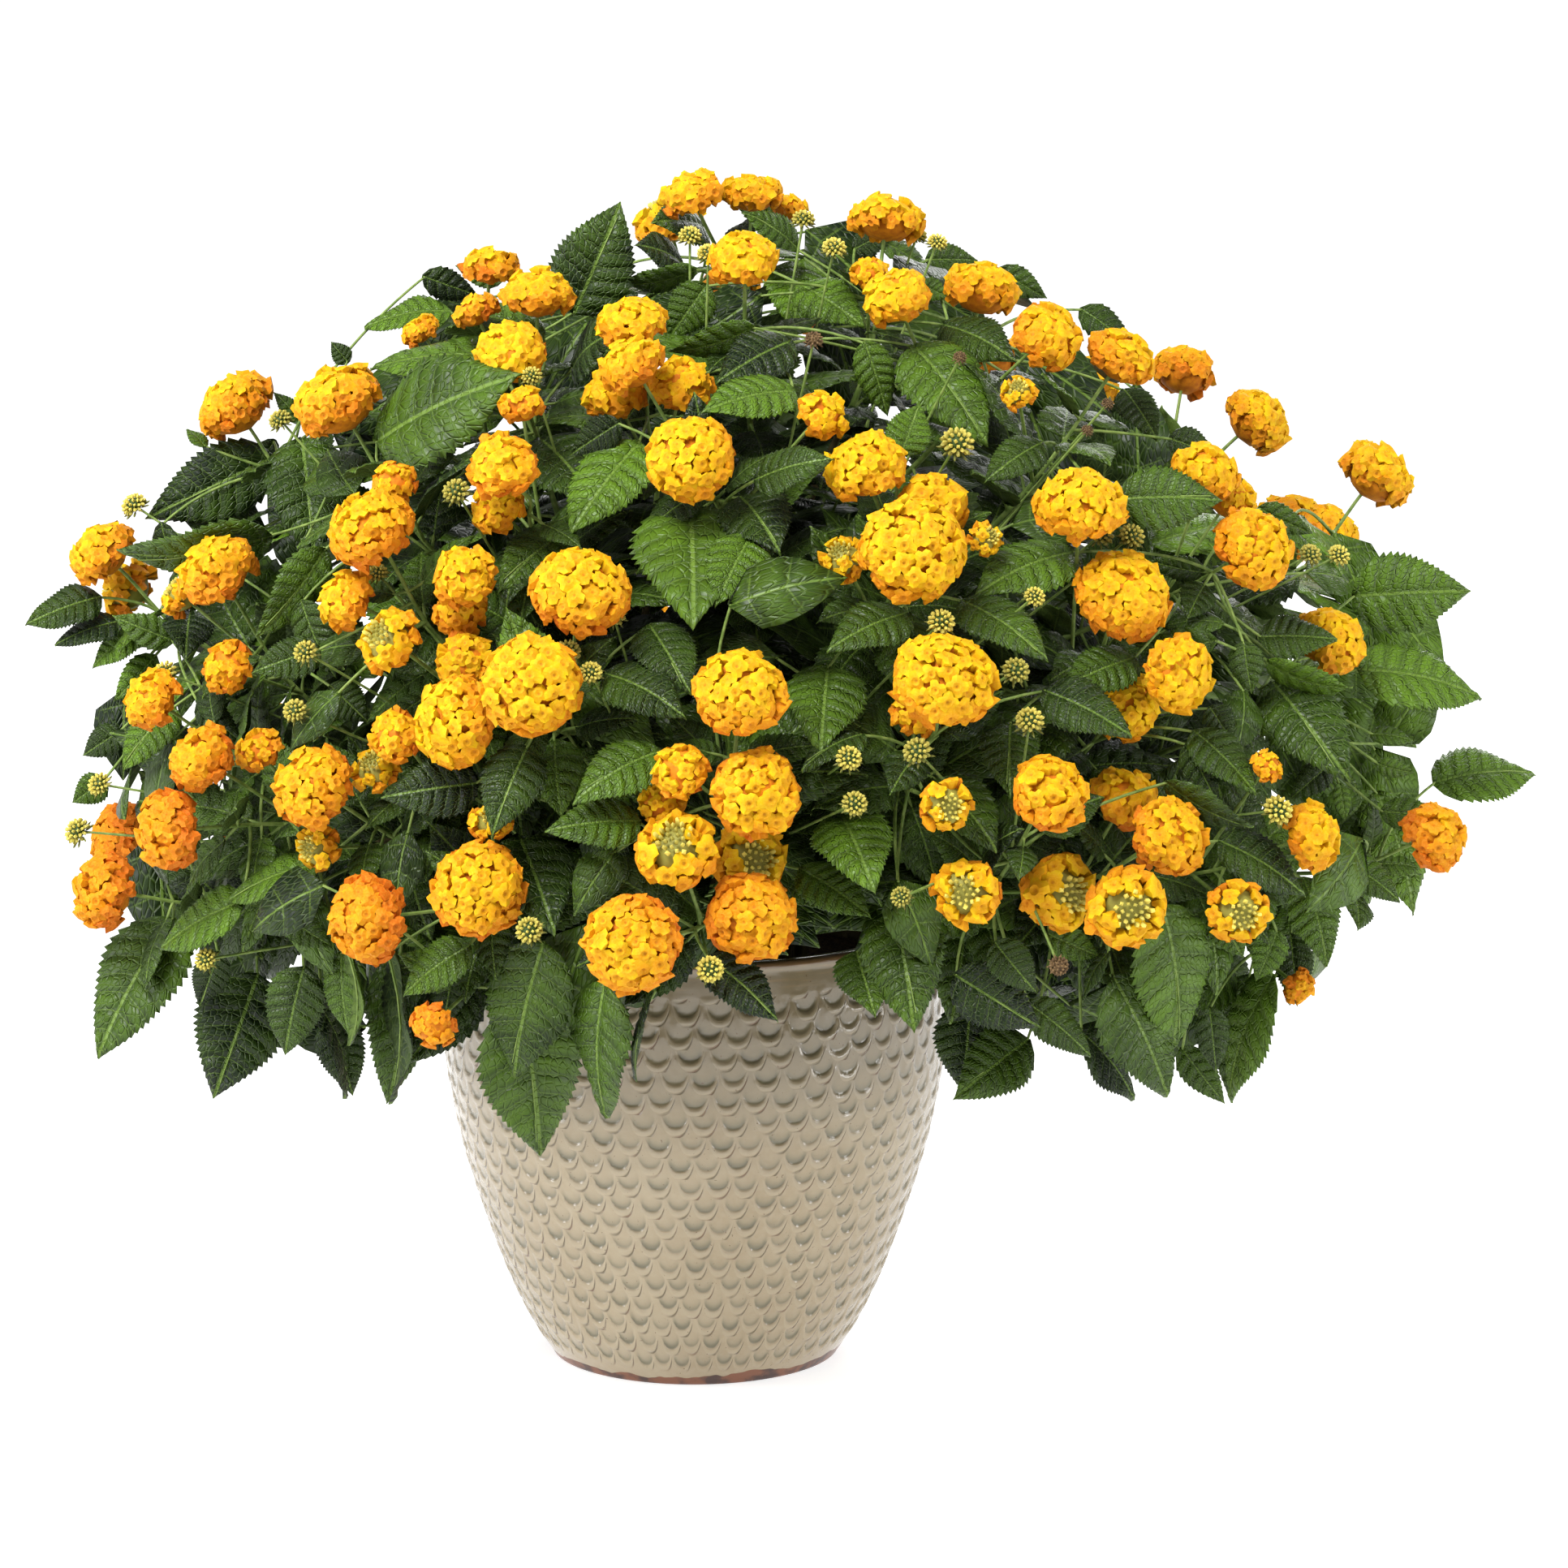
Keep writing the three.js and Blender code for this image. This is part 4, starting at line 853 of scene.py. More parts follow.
    def nearest_joints(
        self, place: np.ndarray, count: int, longest: float = 0.0
    ) -> list[tuple[np.ndarray, int]]:
        """Places to hang a leaf from, one on each of the nearest stretches of wood.

        Args:
            place: where the blade starts.
            count: how many are wanted.
            longest: longest stalk, from places that may have a leaf already, or 0 for the free ones only.

        Returns:
            Each place, with the number of its main stem.
        """
        distance = np.linalg.norm(self.spots - place, axis=1)
        order = np.argsort(distance, kind="stable")
        within = distance[order] < (longest or self.longest_petiole)
        order = order[within if longest else within & ~self.taken[order]]
        _, first = np.unique(self.spot_routes[order], return_index=True)
        best = order[np.sort(first)][:count]
        return [(self.spots[number], int(self.spot_owners[number])) for number in best]

    def is_blocked(self, leaf: Leaf) -> bool:
        """Whether a leaf is in a head or pierced by wood, or has a stalk that folds back or meets either.

        Args:
            leaf: the leaf to try.

        Returns:
            Whether it has to go elsewhere.
        """
        foot, right, tip, left, middle, joint = leaf.outline
        if float(unit(foot - joint) @ (tip - foot)) < 0.05 * leaf.length:
            return True
        spots = np.array((
            right, tip, left, middle, (right + tip) / 2, (left + tip) / 2, (right + left) / 2,
        ))
        if not self.is_open_way(joint, foot, self.petiole, None):
            return True
        space = np.linalg.norm(spots[None] - self.centres[:, None], axis=2) - self.sizes[:, None]
        if (space < 2).any():
            return True
        near = line_distances(self.wood_starts, self.wood_ends, middle[None])[:, 0] <= leaf.length + 60
        starts, ends = self.wood_starts[near], self.wood_ends[near]
        if len(starts) == 0:
            return False
        if pierced(starts, ends, leaf.faces).any():
            return True
        length = float(np.linalg.norm(foot - joint))
        ways = np.arange(0, length + 1e-9, self.joint_space)
        along = joint + (foot - joint) * (ways / max(1e-9, length))[:, None]
        distance = line_distances(starts, ends, along)
        own = self.wood_owners[near] == leaf.stem
        passing = distance[~own]
        if len(passing) and (passing < self.joint_space).any():
            return True
        grown = distance[own]
        grown = grown[grown[:, 0] >= self.branch]
        return bool(len(grown) and (grown[:, 1:] < 0.6 * self.joint_space).any())

    def crosses_leaves(self, leaf: Leaf) -> bool:
        """Whether a leaf, with its stalk, passes through one that is set.

        Args:
            leaf: the leaf to try.

        Returns:
            Whether it passes through another.
        """
        if not self.leaves:
            return False
        low, high = leaf.outline.min(axis=0) - 2, leaf.outline.max(axis=0) + 2
        meets = (self.lows[: len(self.leaves)] < high).all(axis=1)
        meets &= (self.highs[: len(self.leaves)] > low).all(axis=1)
        others = [self.leaves[number] for number in np.nonzero(meets)[0]]
        if not others:
            return False
        starts, ends = leaf.edges
        if pierced(starts, ends, np.concatenate([other.faces for other in others])).any():
            return True
        pairs = [other.edges for other in others]
        starts = np.concatenate([pair[0] for pair in pairs])
        ends = np.concatenate([pair[1] for pair in pairs])
        return bool(pierced(starts, ends, leaf.faces).any())

    def keep(self, leaf: Leaf) -> None:
        """Adds a leaf to the ones that are set.

        Args:
            leaf: the leaf.
        """
        self.lows[len(self.leaves)] = leaf.outline.min(axis=0)
        self.highs[len(self.leaves)] = leaf.outline.max(axis=0)
        self.leaves.append(leaf)
        self.taken |= np.linalg.norm(self.spots - leaf.joint, axis=1) < self.joint_space

    def front_versions(self, entry: tuple[float, ...], shift: float) -> list[Leaf]:
        """A leaf of the front sheet, moved along its sight lines, on each of the nearest joints.

        Args:
            entry: foot, tip and width on the sheet.
            shift: how far back it is moved.

        Returns:
            The versions, nearest joint first.
        """
        foot_across, foot_down, tip_across, tip_down, width = entry
        foot_sight, tip_sight = SHEET.sight(foot_across, foot_down), SHEET.sight(tip_across, tip_down)
        foot_reach = MOUND.sight_distance(SHEET, foot_sight, 0.9) + shift
        scale = foot_reach / SHEET.focal
        seen = math.hypot(tip_across - foot_across, tip_down - foot_down) * scale
        broad = width * scale
        wanted = MOUND.sight_distance(SHEET, tip_sight, 0.97) + shift
        tip_reach = min(max(wanted, foot_reach - 0.6 * seen), foot_reach + 30)
        need = broad / self.leaf_ratio
        tip = SHEET.along(tip_sight, tip_reach)
        deeper = math.sqrt(need**2 - seen**2) if need > seen else 0.0
        foot = SHEET.along(foot_sight, foot_reach + deeper)
        axis = tip - foot
        full = max(broad, self.leaf_ratio * float(np.linalg.norm(axis)))
        axis = unit(axis)
        turn = math.acos(min(1.0, broad / full))
        normal = square_to(-foot_sight, axis) * math.cos(turn) + square_to(UP, axis) * math.sin(turn)
        normal = square_to(normal, axis)
        return [Leaf(joint, stem, foot, tip, normal, full) for joint, stem in self.nearest_joints(foot, 6)]

    def set_front_leaves(self) -> None:
        """Sets every large leaf of the front sheet, on a long stalk from a near branch."""
        for number, entry in enumerate(FRONT_LEAVES):
            nearest = [leaf for shift in self.sight_shifts for leaf in self.front_versions(entry, shift)[:1]]
            if all(leaf.length <= self.least_leaf for leaf in nearest):
                continue
            for shift in self.sight_shifts:
                fitting = (
                    leaf for leaf in self.front_versions(entry, shift)
                    if not self.is_blocked(leaf) and not self.crosses_leaves(leaf)
                )
                leaf = next(fitting, None)
                if leaf is not None:
                    leaf.tone = chance(number, 31)
                    self.keep(leaf)
                    break
        self.front_count = len(self.leaves)

    def pair_versions(
        self, joint: np.ndarray, stem: int, axis: np.ndarray, side: np.ndarray, span: float,
        petiole: float = 9,
    ) -> list[Leaf]:
        """The versions of one leaf of an opposite pair, turned a little round its branch.

        Args:
            joint: where its stalk leaves the branch.
            stem: number of the main stem.
            axis: direction of the branch.
            side: direction away from the branch.
            span: length of the blade.
            petiole: length of the stalk.

        Returns:
            The versions, the straightest first.
        """
        versions = []
        for turn in (0, 0.5, -0.5, 1, -1):
            way = unit(turned(side, axis, turn) + axis * 0.5 - UP * 0.3)
            foot = joint + way * petiole
            tip = foot + way * span
            normal = square_to(MOUND.normal(tip) + UP * 0.8, way)
            versions.append(Leaf(joint, stem, foot, tip, normal, self.leaf_ratio * span))
        return versions

    def set_pairs(self) -> None:
        """Sets opposite pairs down each branch behind the front, every pair square to the one before."""
        for stem in self.stems:
            for order, shoot in enumerate(stem.branches):
                item = 1000 + stem.number * 40 + order
                if shoot.heads[0].centre[1] < self.pair_behind:
                    continue
                path = SmoothPath(shoot.route[::-1])
                for pair in range(self.pair_count):
                    share = (self.pair_first + self.pair_gap * pair) / path.length
                    if share > 0.8:
                        break
                    axis = -path.tangent(share)
                    level = square_to(np.cross(UP, axis), axis)
                    level = turned(level, axis, pair * math.pi / 2 + 0.6 * (chance(item, pair) - 0.5))
                    for hand in (1, -1):
                        joint = path.at(share + hand * self.pair_stagger / path.length)
                        span = 54 + 28 * chance(item, 10 * pair + hand)
                        versions = self.pair_versions(joint, stem.number, axis, level * hand, span)
                        self.settle(versions, chance(item, 50 + pair))

    def settle(self, versions: list[Leaf], tone: float) -> None:
        """Keeps the first version that is clear of heads, wood and the leaves set before it.

        Args:
            versions: the versions, in the order that they are tried.
            tone: how light the leaf is.
        """
        for leaf in versions:
            if not self.is_blocked(leaf) and not self.crosses_leaves(leaf):
                leaf.tone = tone
                self.keep(leaf)
                return


@dataclass
class Filling:
    """Adds the leaves that make the plant dense, where they hide nothing and stay in its outline."""

    growth: Growth
    low: np.ndarray
    high: np.ndarray
    pitch: float = 15
    inner: int = 320
    cover: int = 1100
    mesh: int = 24
    sight_shifts: tuple[float, ...] = (0, 12, -12, 24, 36, 50, 66, 84, 104, 126, 150)
    shells: tuple[tuple[float, int], ...] = ((0.9, 60), (0.8, 80), (0.7, 100))
    added: list[Leaf] = field(default_factory=list)

    def __post_init__(self) -> None:
        """Gathers the sight lines that stay open, from the eye to every front head and large leaf."""
        ends = []
        for head in self.growth.heads:
            if head.index < 200:
                side = square_to(np.array((1.0, 0, 0)), head.facing) * head.radius * 0.6
                rise = square_to(UP, unit(head.centre - np.array(SHEET.eye))) * head.radius * 0.6
                ends += [head.centre, head.centre + side, head.centre - side, head.centre + rise]
        for leaf in self.growth.leaves[: self.growth.front_count]:
            _, right, tip, left, middle, _ = leaf.outline
            ends += [middle, (right + tip) / 2, (left + tip) / 2]
        self.ends = np.array(ends)
        self.ends += unit(np.array(SHEET.eye) - np.array((0, 0, 320.0))) * 2
        self.starts = np.tile(np.array(SHEET.eye, float), (len(ends), 1))
        self.frame = np.array(OUTLINE, float)

    def fits(self, leaf: Leaf, listed: bool) -> bool:
        """Whether a leaf stays in the box and, unless listed, the outline, and covers nothing in front.

        Args:
            leaf: the leaf to try.
            listed: whether it is a listed one.

        Returns:
            Whether it fits.
        """
        corners = leaf.outline[:5]
        if (corners < self.low).any() or (corners > self.high).any():
            return False
        if not listed and not inside_polygon(self.frame, SHEET.seen(corners)).all():
            return False
        return not pierced(self.starts, self.ends, leaf.faces).any()

    def try_leaf(self, versions: list[Leaf], tone: float, cut: BladeCut, listed: bool = False) -> None:
        """Keeps the first version of a leaf that fits and is clear of everything.

        Args:
            versions: the versions, in the order that they are tried.
            tone: how light the leaf is.
            cut: how finely it is cut.
            listed: whether it is a listed one.
        """
        growth = self.growth
        for leaf in versions:
            if self.fits(leaf, listed) and not growth.is_blocked(leaf) and not growth.crosses_leaves(leaf):
                leaf.tone, leaf.cut = tone, cut
                self.growth.keep(leaf)
                self.added.append(leaf)
                return

    def hang_listed(self) -> None:
        """Hangs the further leaves of the front sheet, each as near to the front as it fits."""
        for number, (foot_across, foot_down, tip_across, tip_down, width) in enumerate(FURTHER_LEAVES):
            foot_sight, tip_sight = SHEET.sight(foot_across, foot_down), SHEET.sight(tip_across, tip_down)
            versions = []
            for shift in self.sight_shifts:
                reach = MOUND.sight_distance(SHEET, foot_sight, 0.9) + shift
                foot = SHEET.along(foot_sight, reach)
                tip = SHEET.along(tip_sight, reach - 6 + 20 * chance(number, 141))
                axis = unit(tip - foot)
                full = max(width * reach / SHEET.focal, 0.5 * float(np.linalg.norm(tip - foot)))
                turn = math.acos(min(1.0, width * reach / SHEET.focal / full)) * (1 if number % 2 else -1)
                side = np.cross(axis, square_to(-foot_sight, axis))
                normal = square_to(-foot_sight, axis) * math.cos(turn) + side * math.sin(turn)
                for joint, stem in self.growth.nearest_joints(foot, 5, 150):
                    versions.append(Leaf(joint, stem, foot, tip, normal, full))
            cut = BladeCut.FINE if width > 44 else BladeCut.PLAIN
            self.try_leaf(versions, 0.15 + 0.8 * chance(number, 142), cut, True)

    def fill(self) -> None:
        """Hangs opposite pairs down every branch, and then leaves that close the inside."""
        self.hang_listed()
        sites, ends = [], {}
        for stem in self.growth.stems:
            for order, shoot in enumerate(stem.branches):
                path = SmoothPath([*shoot.route, *shoot.leader.route[1:]])
                ends[50 + stem.number * 15 + order] = path.at(1.0)
                steps = int((path.length - 20) / self.pitch)
                for step in range(steps):
                    share = (10 + self.pitch * step) / path.length
                    place = path.at(share)
                    number = 3000 + stem.number * 900 + order * 60 + step
                    inward = -float(MOUND.reach(place))
                    sites.append((inward, number, step, stem.number, place, path.tangent(share)))
        sites.sort(key=lambda site: site[:2])
        for reach, number, step, stem, place, axis in sites:
            level = square_to(np.cross(UP, axis), axis)
            level = turned(level, axis, step * math.pi / 2 + chance(number, 1))
            front = place[1] < 60 and -reach > 0.62
            for hand in (1, -1):
                left = float(np.linalg.norm(place - ends[number // 60]))
                span = (36 + 32 * chance(number, 4 + hand)) * min(1.0, 0.3 + left / 80)
                petiole = 6 + 8 * chance(number, 9)
                versions = self.growth.pair_versions(place, stem, axis, level * hand, span, petiole)
                # Painted shade: leaves deeper in the mound get a darker tone.
                tone = 0.25 + 0.6 * chance(number, 12) * min(1.0, -reach)
                self.try_leaf(versions, tone, BladeCut.PLAIN if front else BladeCut.COARSE)
        # Painted shade: a shell of leaves deep inside, kept dark by a low tone.
        self.close_shell(self.inner, 0.64, 40, BladeCut.COARSE, 0.12)
        for shell, first in self.shells:
            self.close_shell(self.cover, shell, first, BladeCut.COARSE, 0.8, True)
        self.close_sights()

    def close_sights(self) -> None:
        """Lays leaves in the middle, darkened as painted shade, where one could still see right through the
        plant.
        """
        eye = np.array(SHEET.eye, float)
        number = 0
        for down in range(300, 1330, self.mesh):
            for across in range(80, 1790, self.mesh):
                number += 1
                sight = SHEET.sight(across, down)
                spots = eye + sight * np.arange(2600, 3500, 6.0)[:, None]
                inside = spots[MOUND.reach(spots) < 0.93]
                framed = inside_polygon(self.frame, np.array(((across, down),), float)).all()
                if len(inside) < 12 or not framed or self.is_shut(eye, inside[-1]):
                    continue
                versions = []
                for share in (0.5, 0.62, 0.75, 0.38, 0.28):
                    place = inside[int(len(inside) * share)]
                    turn = math.radians(360 * chance(number, 121 + share))
                    axis = square_to(np.array((math.cos(turn), 0, math.sin(turn) - 0.4)), sight)
                    span = 50 + 24 * chance(number, 131)
                    start = place - axis * 0.45 * span
                    normal = square_to(-sight + UP * 0.5, axis)
                    for joint, stem in self.growth.nearest_joints(start, 5, 130):
                        versions.append(Leaf(joint, stem, start, start + axis * span, normal, 0.66 * span))
                # Painted shade: these leaves get a dark tone.
                self.try_leaf(versions, 0.35 * chance(number, 132), BladeCut.COARSE)

    def is_shut(self, start: np.ndarray, end: np.ndarray) -> bool:
        """Whether a head or a leaf lies across a line of sight.

        Args:
            start: one end of the line.
            end: its other end.

        Returns:
            Whether something is in the way.
        """
        growth = self.growth
        space = line_distances(start[None], end[None], growth.centres)[0] - growth.sizes
        if (space < 0).any():
            return True
        count = len(growth.leaves)
        middles = (growth.lows[:count] + growth.highs[:count]) / 2
        near = np.nonzero(line_distances(start[None], end[None], middles)[0] < 60)[0]
        if not len(near):
            return False
        faces = np.concatenate([growth.leaves[number].faces for number in near])
        return bool(pierced(start[None], end[None], faces).any())

    def close_shell(
        self, count: int, shell: float, first: int, cut: BladeCut, tone: float, gaps: bool = False
    ) -> None:
        """Lays leaves along a shell of the mound, from its crown to its underside.

        Args:
            count: how many places are tried, spread evenly.
            shell: how far out the shell is.
            first: number of the first random draw.
            cut: how finely the leaves are cut.
            tone: the brightest tone they get.
            gaps: whether only the places with no leaf over them get one.
        """
        for number in range(count):
            height = 1 - 1.8 * (number + 0.5) / count
            level, turn = math.sqrt(1 - height * height), GOLDEN * number
            way = np.array((level * math.cos(turn), level * math.sin(turn), height))
            depth = shell + 0.12 * (chance(number, first) - 0.5)
            radii = MOUND.radii(np.array((way[0] * 900, 0, way[2] * 900)))
            foot = np.array((MOUND.x, 0, MOUND.z)) + way * depth * radii
            outward = MOUND.normal(foot)
            if gaps and self.is_covered(foot, outward):
                continue
            axis = square_to(heading(360 * chance(number, first + 1), -40), outward)
            span = 38 + 30 * chance(number, first + 2)
            versions = []
            for back in (0.5, 0.0):
                start = foot - axis * back * span
                for joint, stem in self.growth.nearest_joints(start, 3):
                    lean = unit(square_to(axis + unit(start - joint) * 0.8, outward) + outward * 0.15)
                    normal = square_to(outward + UP * 0.3, lean)
                    versions.append(Leaf(joint, stem, start, start + lean * span, normal, 0.64 * span))
            self.try_leaf(versions, tone * (0.25 + 0.75 * chance(number, first + 3)), cut)

    def is_covered(self, place: np.ndarray, outward: np.ndarray) -> bool:
        """Whether a leaf lies over or just under a place.

        Args:
            place: the place.
            outward: direction out of the mound there.

        Returns:
            Whether it has a leaf already.
        """
        growth = self.growth
        count = len(growth.leaves)
        near = (growth.lows[:count] < place + 45).all(axis=1)
        near &= (growth.highs[:count] > place - 45).all(axis=1)
        faces = [growth.leaves[number].faces for number in np.nonzero(near)[0]]
        if not faces:
            return False
        start, end = place - outward * 34, place + outward * 44
        return bool(pierced(start[None], end[None], np.concatenate(faces)).any())


# ------------------------------------------------------------------ finishes


def srgb(red: float, green: float, blue: float) -> tuple[float, float, float, float]:
    """The linear colour of an sRGB colour whose channels run to 255."""
    channels = [part / 255 for part in (red, green, blue)]
    linear = [part / 12.92 if part <= 0.04045 else ((part + 0.055) / 1.055) ** 2.4 for part in channels]
    return (*linear, 1.0)


class Shading:
    """One node material, built up step by step round its main shader."""

    def __init__(self, name: str, roughness: float, **uniform: float) -> None:
        """Starts the material.

        Args:
            name: name of the material.
            roughness: roughness of the surface.
            **uniform: other sockets of the shader, spelt with underscores.
        """
        self.material = bpy.data.materials.new(name)
        self.material.use_nodes = True
        self.tree = self.material.node_tree
        self.surface = self.tree.nodes["Principled BSDF"]
        self.surface.inputs["Roughness"].default_value = roughness
        for socket, value in uniform.items():
            self.surface.inputs[socket.replace("_", " ")].default_value = value
        self.object = self.add("ShaderNodeTexCoord").outputs["Object"]

    def feed(self, socket: bpy.types.NodeSocket, value: object) -> None:
        """Links an output to a socket, or sets the socket to a value.

        Args:
            socket: the input.
            value: the output or the value.
        """
        if isinstance(value, bpy.types.NodeSocket):
            self.tree.links.new(value, socket)
        else:
            socket.default_value = value

    def add(self, kind: str, feeds: dict | None = None, **settings: object) -> bpy.types.Node:
        """A new node with its settings made and its sockets fed.

        Args:
            kind: type of the node.
            feeds: what goes into each input, by name or number.
            **settings: properties of the node.

        Returns:
            The node.
        """
        made = self.tree.nodes.new(kind)
        for name, value in settings.items():
            setattr(made, name, value)
        for socket, value in (feeds or {}).items():
            self.feed(made.inputs[socket], value)
        return made

    def noise(
        self, scale: float, detail: float = 2, stretch: tuple[float, float, float] = (1, 1, 1)
    ) -> object:
        """Noise from 0 to 1 over the object.

        Args:
            scale: how many of its features go into a metre.
            detail: how many finer layers it has.
            stretch: further scale along each axis.

        Returns:
            The output that carries it.
        """
        place = self.add("ShaderNodeMapping", {"Vector": self.object, "Scale": stretch}).outputs[0]
        return self.add("ShaderNodeTexNoise", {"Vector": place, "Scale": scale, "Detail": detail}).outputs[0]

    def attribute(self, name: str) -> object:
        """A number stored on the mesh."""
        return self.add("ShaderNodeAttribute", attribute_name=name).outputs["Fac"]

    def rise(self, value: object, low: float, high: float, to: tuple[float, float] = (0, 1)) -> object:
        """A smooth rise of a value between two bounds."""
        feeds = {0: value, 1: low, 2: high, 3: to[0], 4: to[1]}
        return self.add("ShaderNodeMapRange", feeds, interpolation_type="SMOOTHSTEP").outputs[0]

    def math(self, operation: str, first: object, second: object = 0.0, third: object = 0.5) -> object:
        """One sum of up to three numbers."""
        feeds = {0: first, 1: second, 2: third}
        return self.add("ShaderNodeMath", feeds, operation=operation).outputs[0]

    def mix(self, share: object, first: object, second: object) -> object:
        """One colour laid over another."""
        return self.add("ShaderNodeMix", {0: share, 6: first, 7: second}, data_type="RGBA").outputs[2]

    def paint(self, colour: object) -> None:
        """Gives the surface its colour."""
        self.feed(self.surface.inputs["Base Color"], colour)

    def bump(self, height: object, distance: float, strength: float = 1.0) -> None:
        """Adds relief under what is already there.

        Args:
            height: output with the height.
            distance: depth of the relief in metres.
            strength: how strongly it shows.
        """
        socket = self.surface.inputs["Normal"]
        feeds = {"Height": height, "Distance": distance, "Strength": strength}
        if socket.is_linked:
            feeds["Normal"] = socket.links[0].from_socket
        self.feed(socket, self.add("ShaderNodeBump", feeds).outputs[0])


class Wire:
    """A number that a material's nodes work out, which takes the ordinary signs."""

    def __init__(self, shade: Shading, socket: bpy.types.NodeSocket) -> None:
        """Wraps an output."""
        self.shade, self.socket = shade, socket

    def sum(self, operation: str, first: object, second: object = 0.0) -> Wire:
        """One sum, of wires or plain numbers."""
        bare = [value.socket if isinstance(value, Wire) else value for value in (first, second)]
        return Wire(self.shade, self.shade.math(operation, *bare))

    def __add__(self, other: object) -> Wire:
        """Sum."""
        return self.sum("ADD", self, other)

    def __sub__(self, other: object) -> Wire:
        """Difference."""
        return self.sum("SUBTRACT", self, other)

    def __rsub__(self, other: object) -> Wire:
        """Difference from a plain number."""
        return self.sum("SUBTRACT", other, self)

    def __mul__(self, other: object) -> Wire:
        """Product."""
        return self.sum("MULTIPLY", self, other)

    def __truediv__(self, other: object) -> Wire:
        """Quotient."""
        return self.sum("DIVIDE", self, other)

    __radd__, __rmul__ = __add__, __mul__


class WireKit:
    """The functions that a pattern needs, on wires."""

    @staticmethod
    def floor(value: Wire) -> Wire:
        """Whole part."""
        return value.sum("FLOOR", value)

    @staticmethod
    def sine(value: Wire) -> Wire:
        """Sine of an angle in radians."""
        return value.sum("SINE", value)

    @staticmethod
    def size(value: Wire) -> Wire:
        """Size without its sign."""
        return value.sum("ABSOLUTE", value)

    @staticmethod
    def exponent(value: Wire) -> Wire:
        """Natural exponent."""
        return value.sum("EXPONENT", value)

    @staticmethod
    def rise(value: Wire, low: float, high: float) -> Wire:
        """Smooth rise from 0 to 1 between two bounds."""
        return Wire(value.shade, value.shade.rise(value.socket, low, high))


class ArrayKit:
    """The functions that a pattern needs, on arrays."""

    floor, sine, size, exponent = (staticmethod(step) for step in (np.floor, np.sin, np.abs, np.exp))

    @staticmethod
    def rise(value: np.ndarray, low: float, high: float) -> np.ndarray:
        """Smooth rise from 0 to 1 between two bounds."""
        return smoothstep(low, high, value)


@dataclass(frozen=True)
class Scoops:
    """The rows of scoops pressed into the belly, worked out alike for its corners and for its glaze.

    Each scoop is a smile-shaped recess, deepest along its lower edge. The clay pushed out of it stands up as
    a band below, and a groove runs under the band, deepest to the right.
    """

    around: int = 52
    pitch: float = 12.2
    low: float = 10
    high: float = 233.5
    edge: float = 0.34
    curl: float = 1.05
    band: float = 0.30

    def cell(self, kit: object, spot: object, row: object, line: object) -> tuple[object, object, object]:
        """Height over the scoop's lower edge, place across it from -1 to 1, and the depth of the scoop.

        Args:
            kit: functions for the kind of numbers given.
            spot: place round the pot, in scoops.
            row: height, in rows.
            line: the row that the scoop is in.

        Returns:
            The three numbers, of the kind given.
        """
        shifted = spot + 0.5 * (line - 2 * kit.floor(line * 0.5)) + 0.10 * kit.sine(line * 2.3)
        column = kit.floor(shifted)
        number = column - self.around * kit.floor(column / self.around)
        first = kit.sine(number * 1.7 + line * 2.9)
        second = kit.sine(number * 2.3 + line * 1.3 + 1)
        third = kit.sine(number * 3.1 + line * 0.7 + 2)
        across = 2 * (shifted - column) - 1 + 0.13 * first
        curve = across * across
        above = row - line + 0.08 * second - self.edge - self.curl * curve * (0.3 + 0.6 * curve)
        narrow = kit.rise(kit.size(across), 0.58, 0.92)
        recess = kit.rise(above, 0.0, 0.16) * kit.exponent(above * -2.6) * (1 - narrow)
        recess = recess * (0.8 + 0.17 * third)
        return above, across, recess

    def fields(self, kit: object, turn: object, height: object) -> tuple[object, object, object, object]:
        """Recess, raised band and groove, each from 0 to about 1, and how far into the upper rows.

        Args:
            kit: functions for the kind of numbers given.
            turn: angle round the pot, in radians.
            height: height in millimetres.

        Returns:
            The four numbers, of the kind given.
        """
        height = height - 1.7 * kit.sine(turn + 0.8) - 0.7 * kit.sine(turn * 3 + 2)
        row = (height - self.low) / self.pitch
        line = kit.floor(row)
        spot = turn * (self.around / (2 * math.pi))
        above, across, recess = self.cell(kit, spot, row, line)
        _, _, lower = self.cell(kit, spot, row, line - 1)
        within = kit.rise(height, self.low, self.low + 5) * (1 - kit.rise(height, self.high - 2, self.high))
        side = 1 - kit.rise(kit.size(across), 0.74, 1.0)
        band = kit.rise(above, -self.band, -self.band + 0.07) * (1 - kit.rise(above, -0.08, 0.01)) * side
        under = 1 - kit.rise(above, -0.02, 0.02)
        recess = recess + lower * under * (1 - band)
        offset = (above + self.band + 0.03) / 0.06
        right = kit.rise(across, -0.45, 0.4) * (1 - kit.rise(across, 0.82, 0.97))
        groove = kit.exponent(offset * offset * -1.0) * right
        return recess * within, band * within, groove * within, kit.rise(height, 176, 212)


SCOOPS = Scoops()


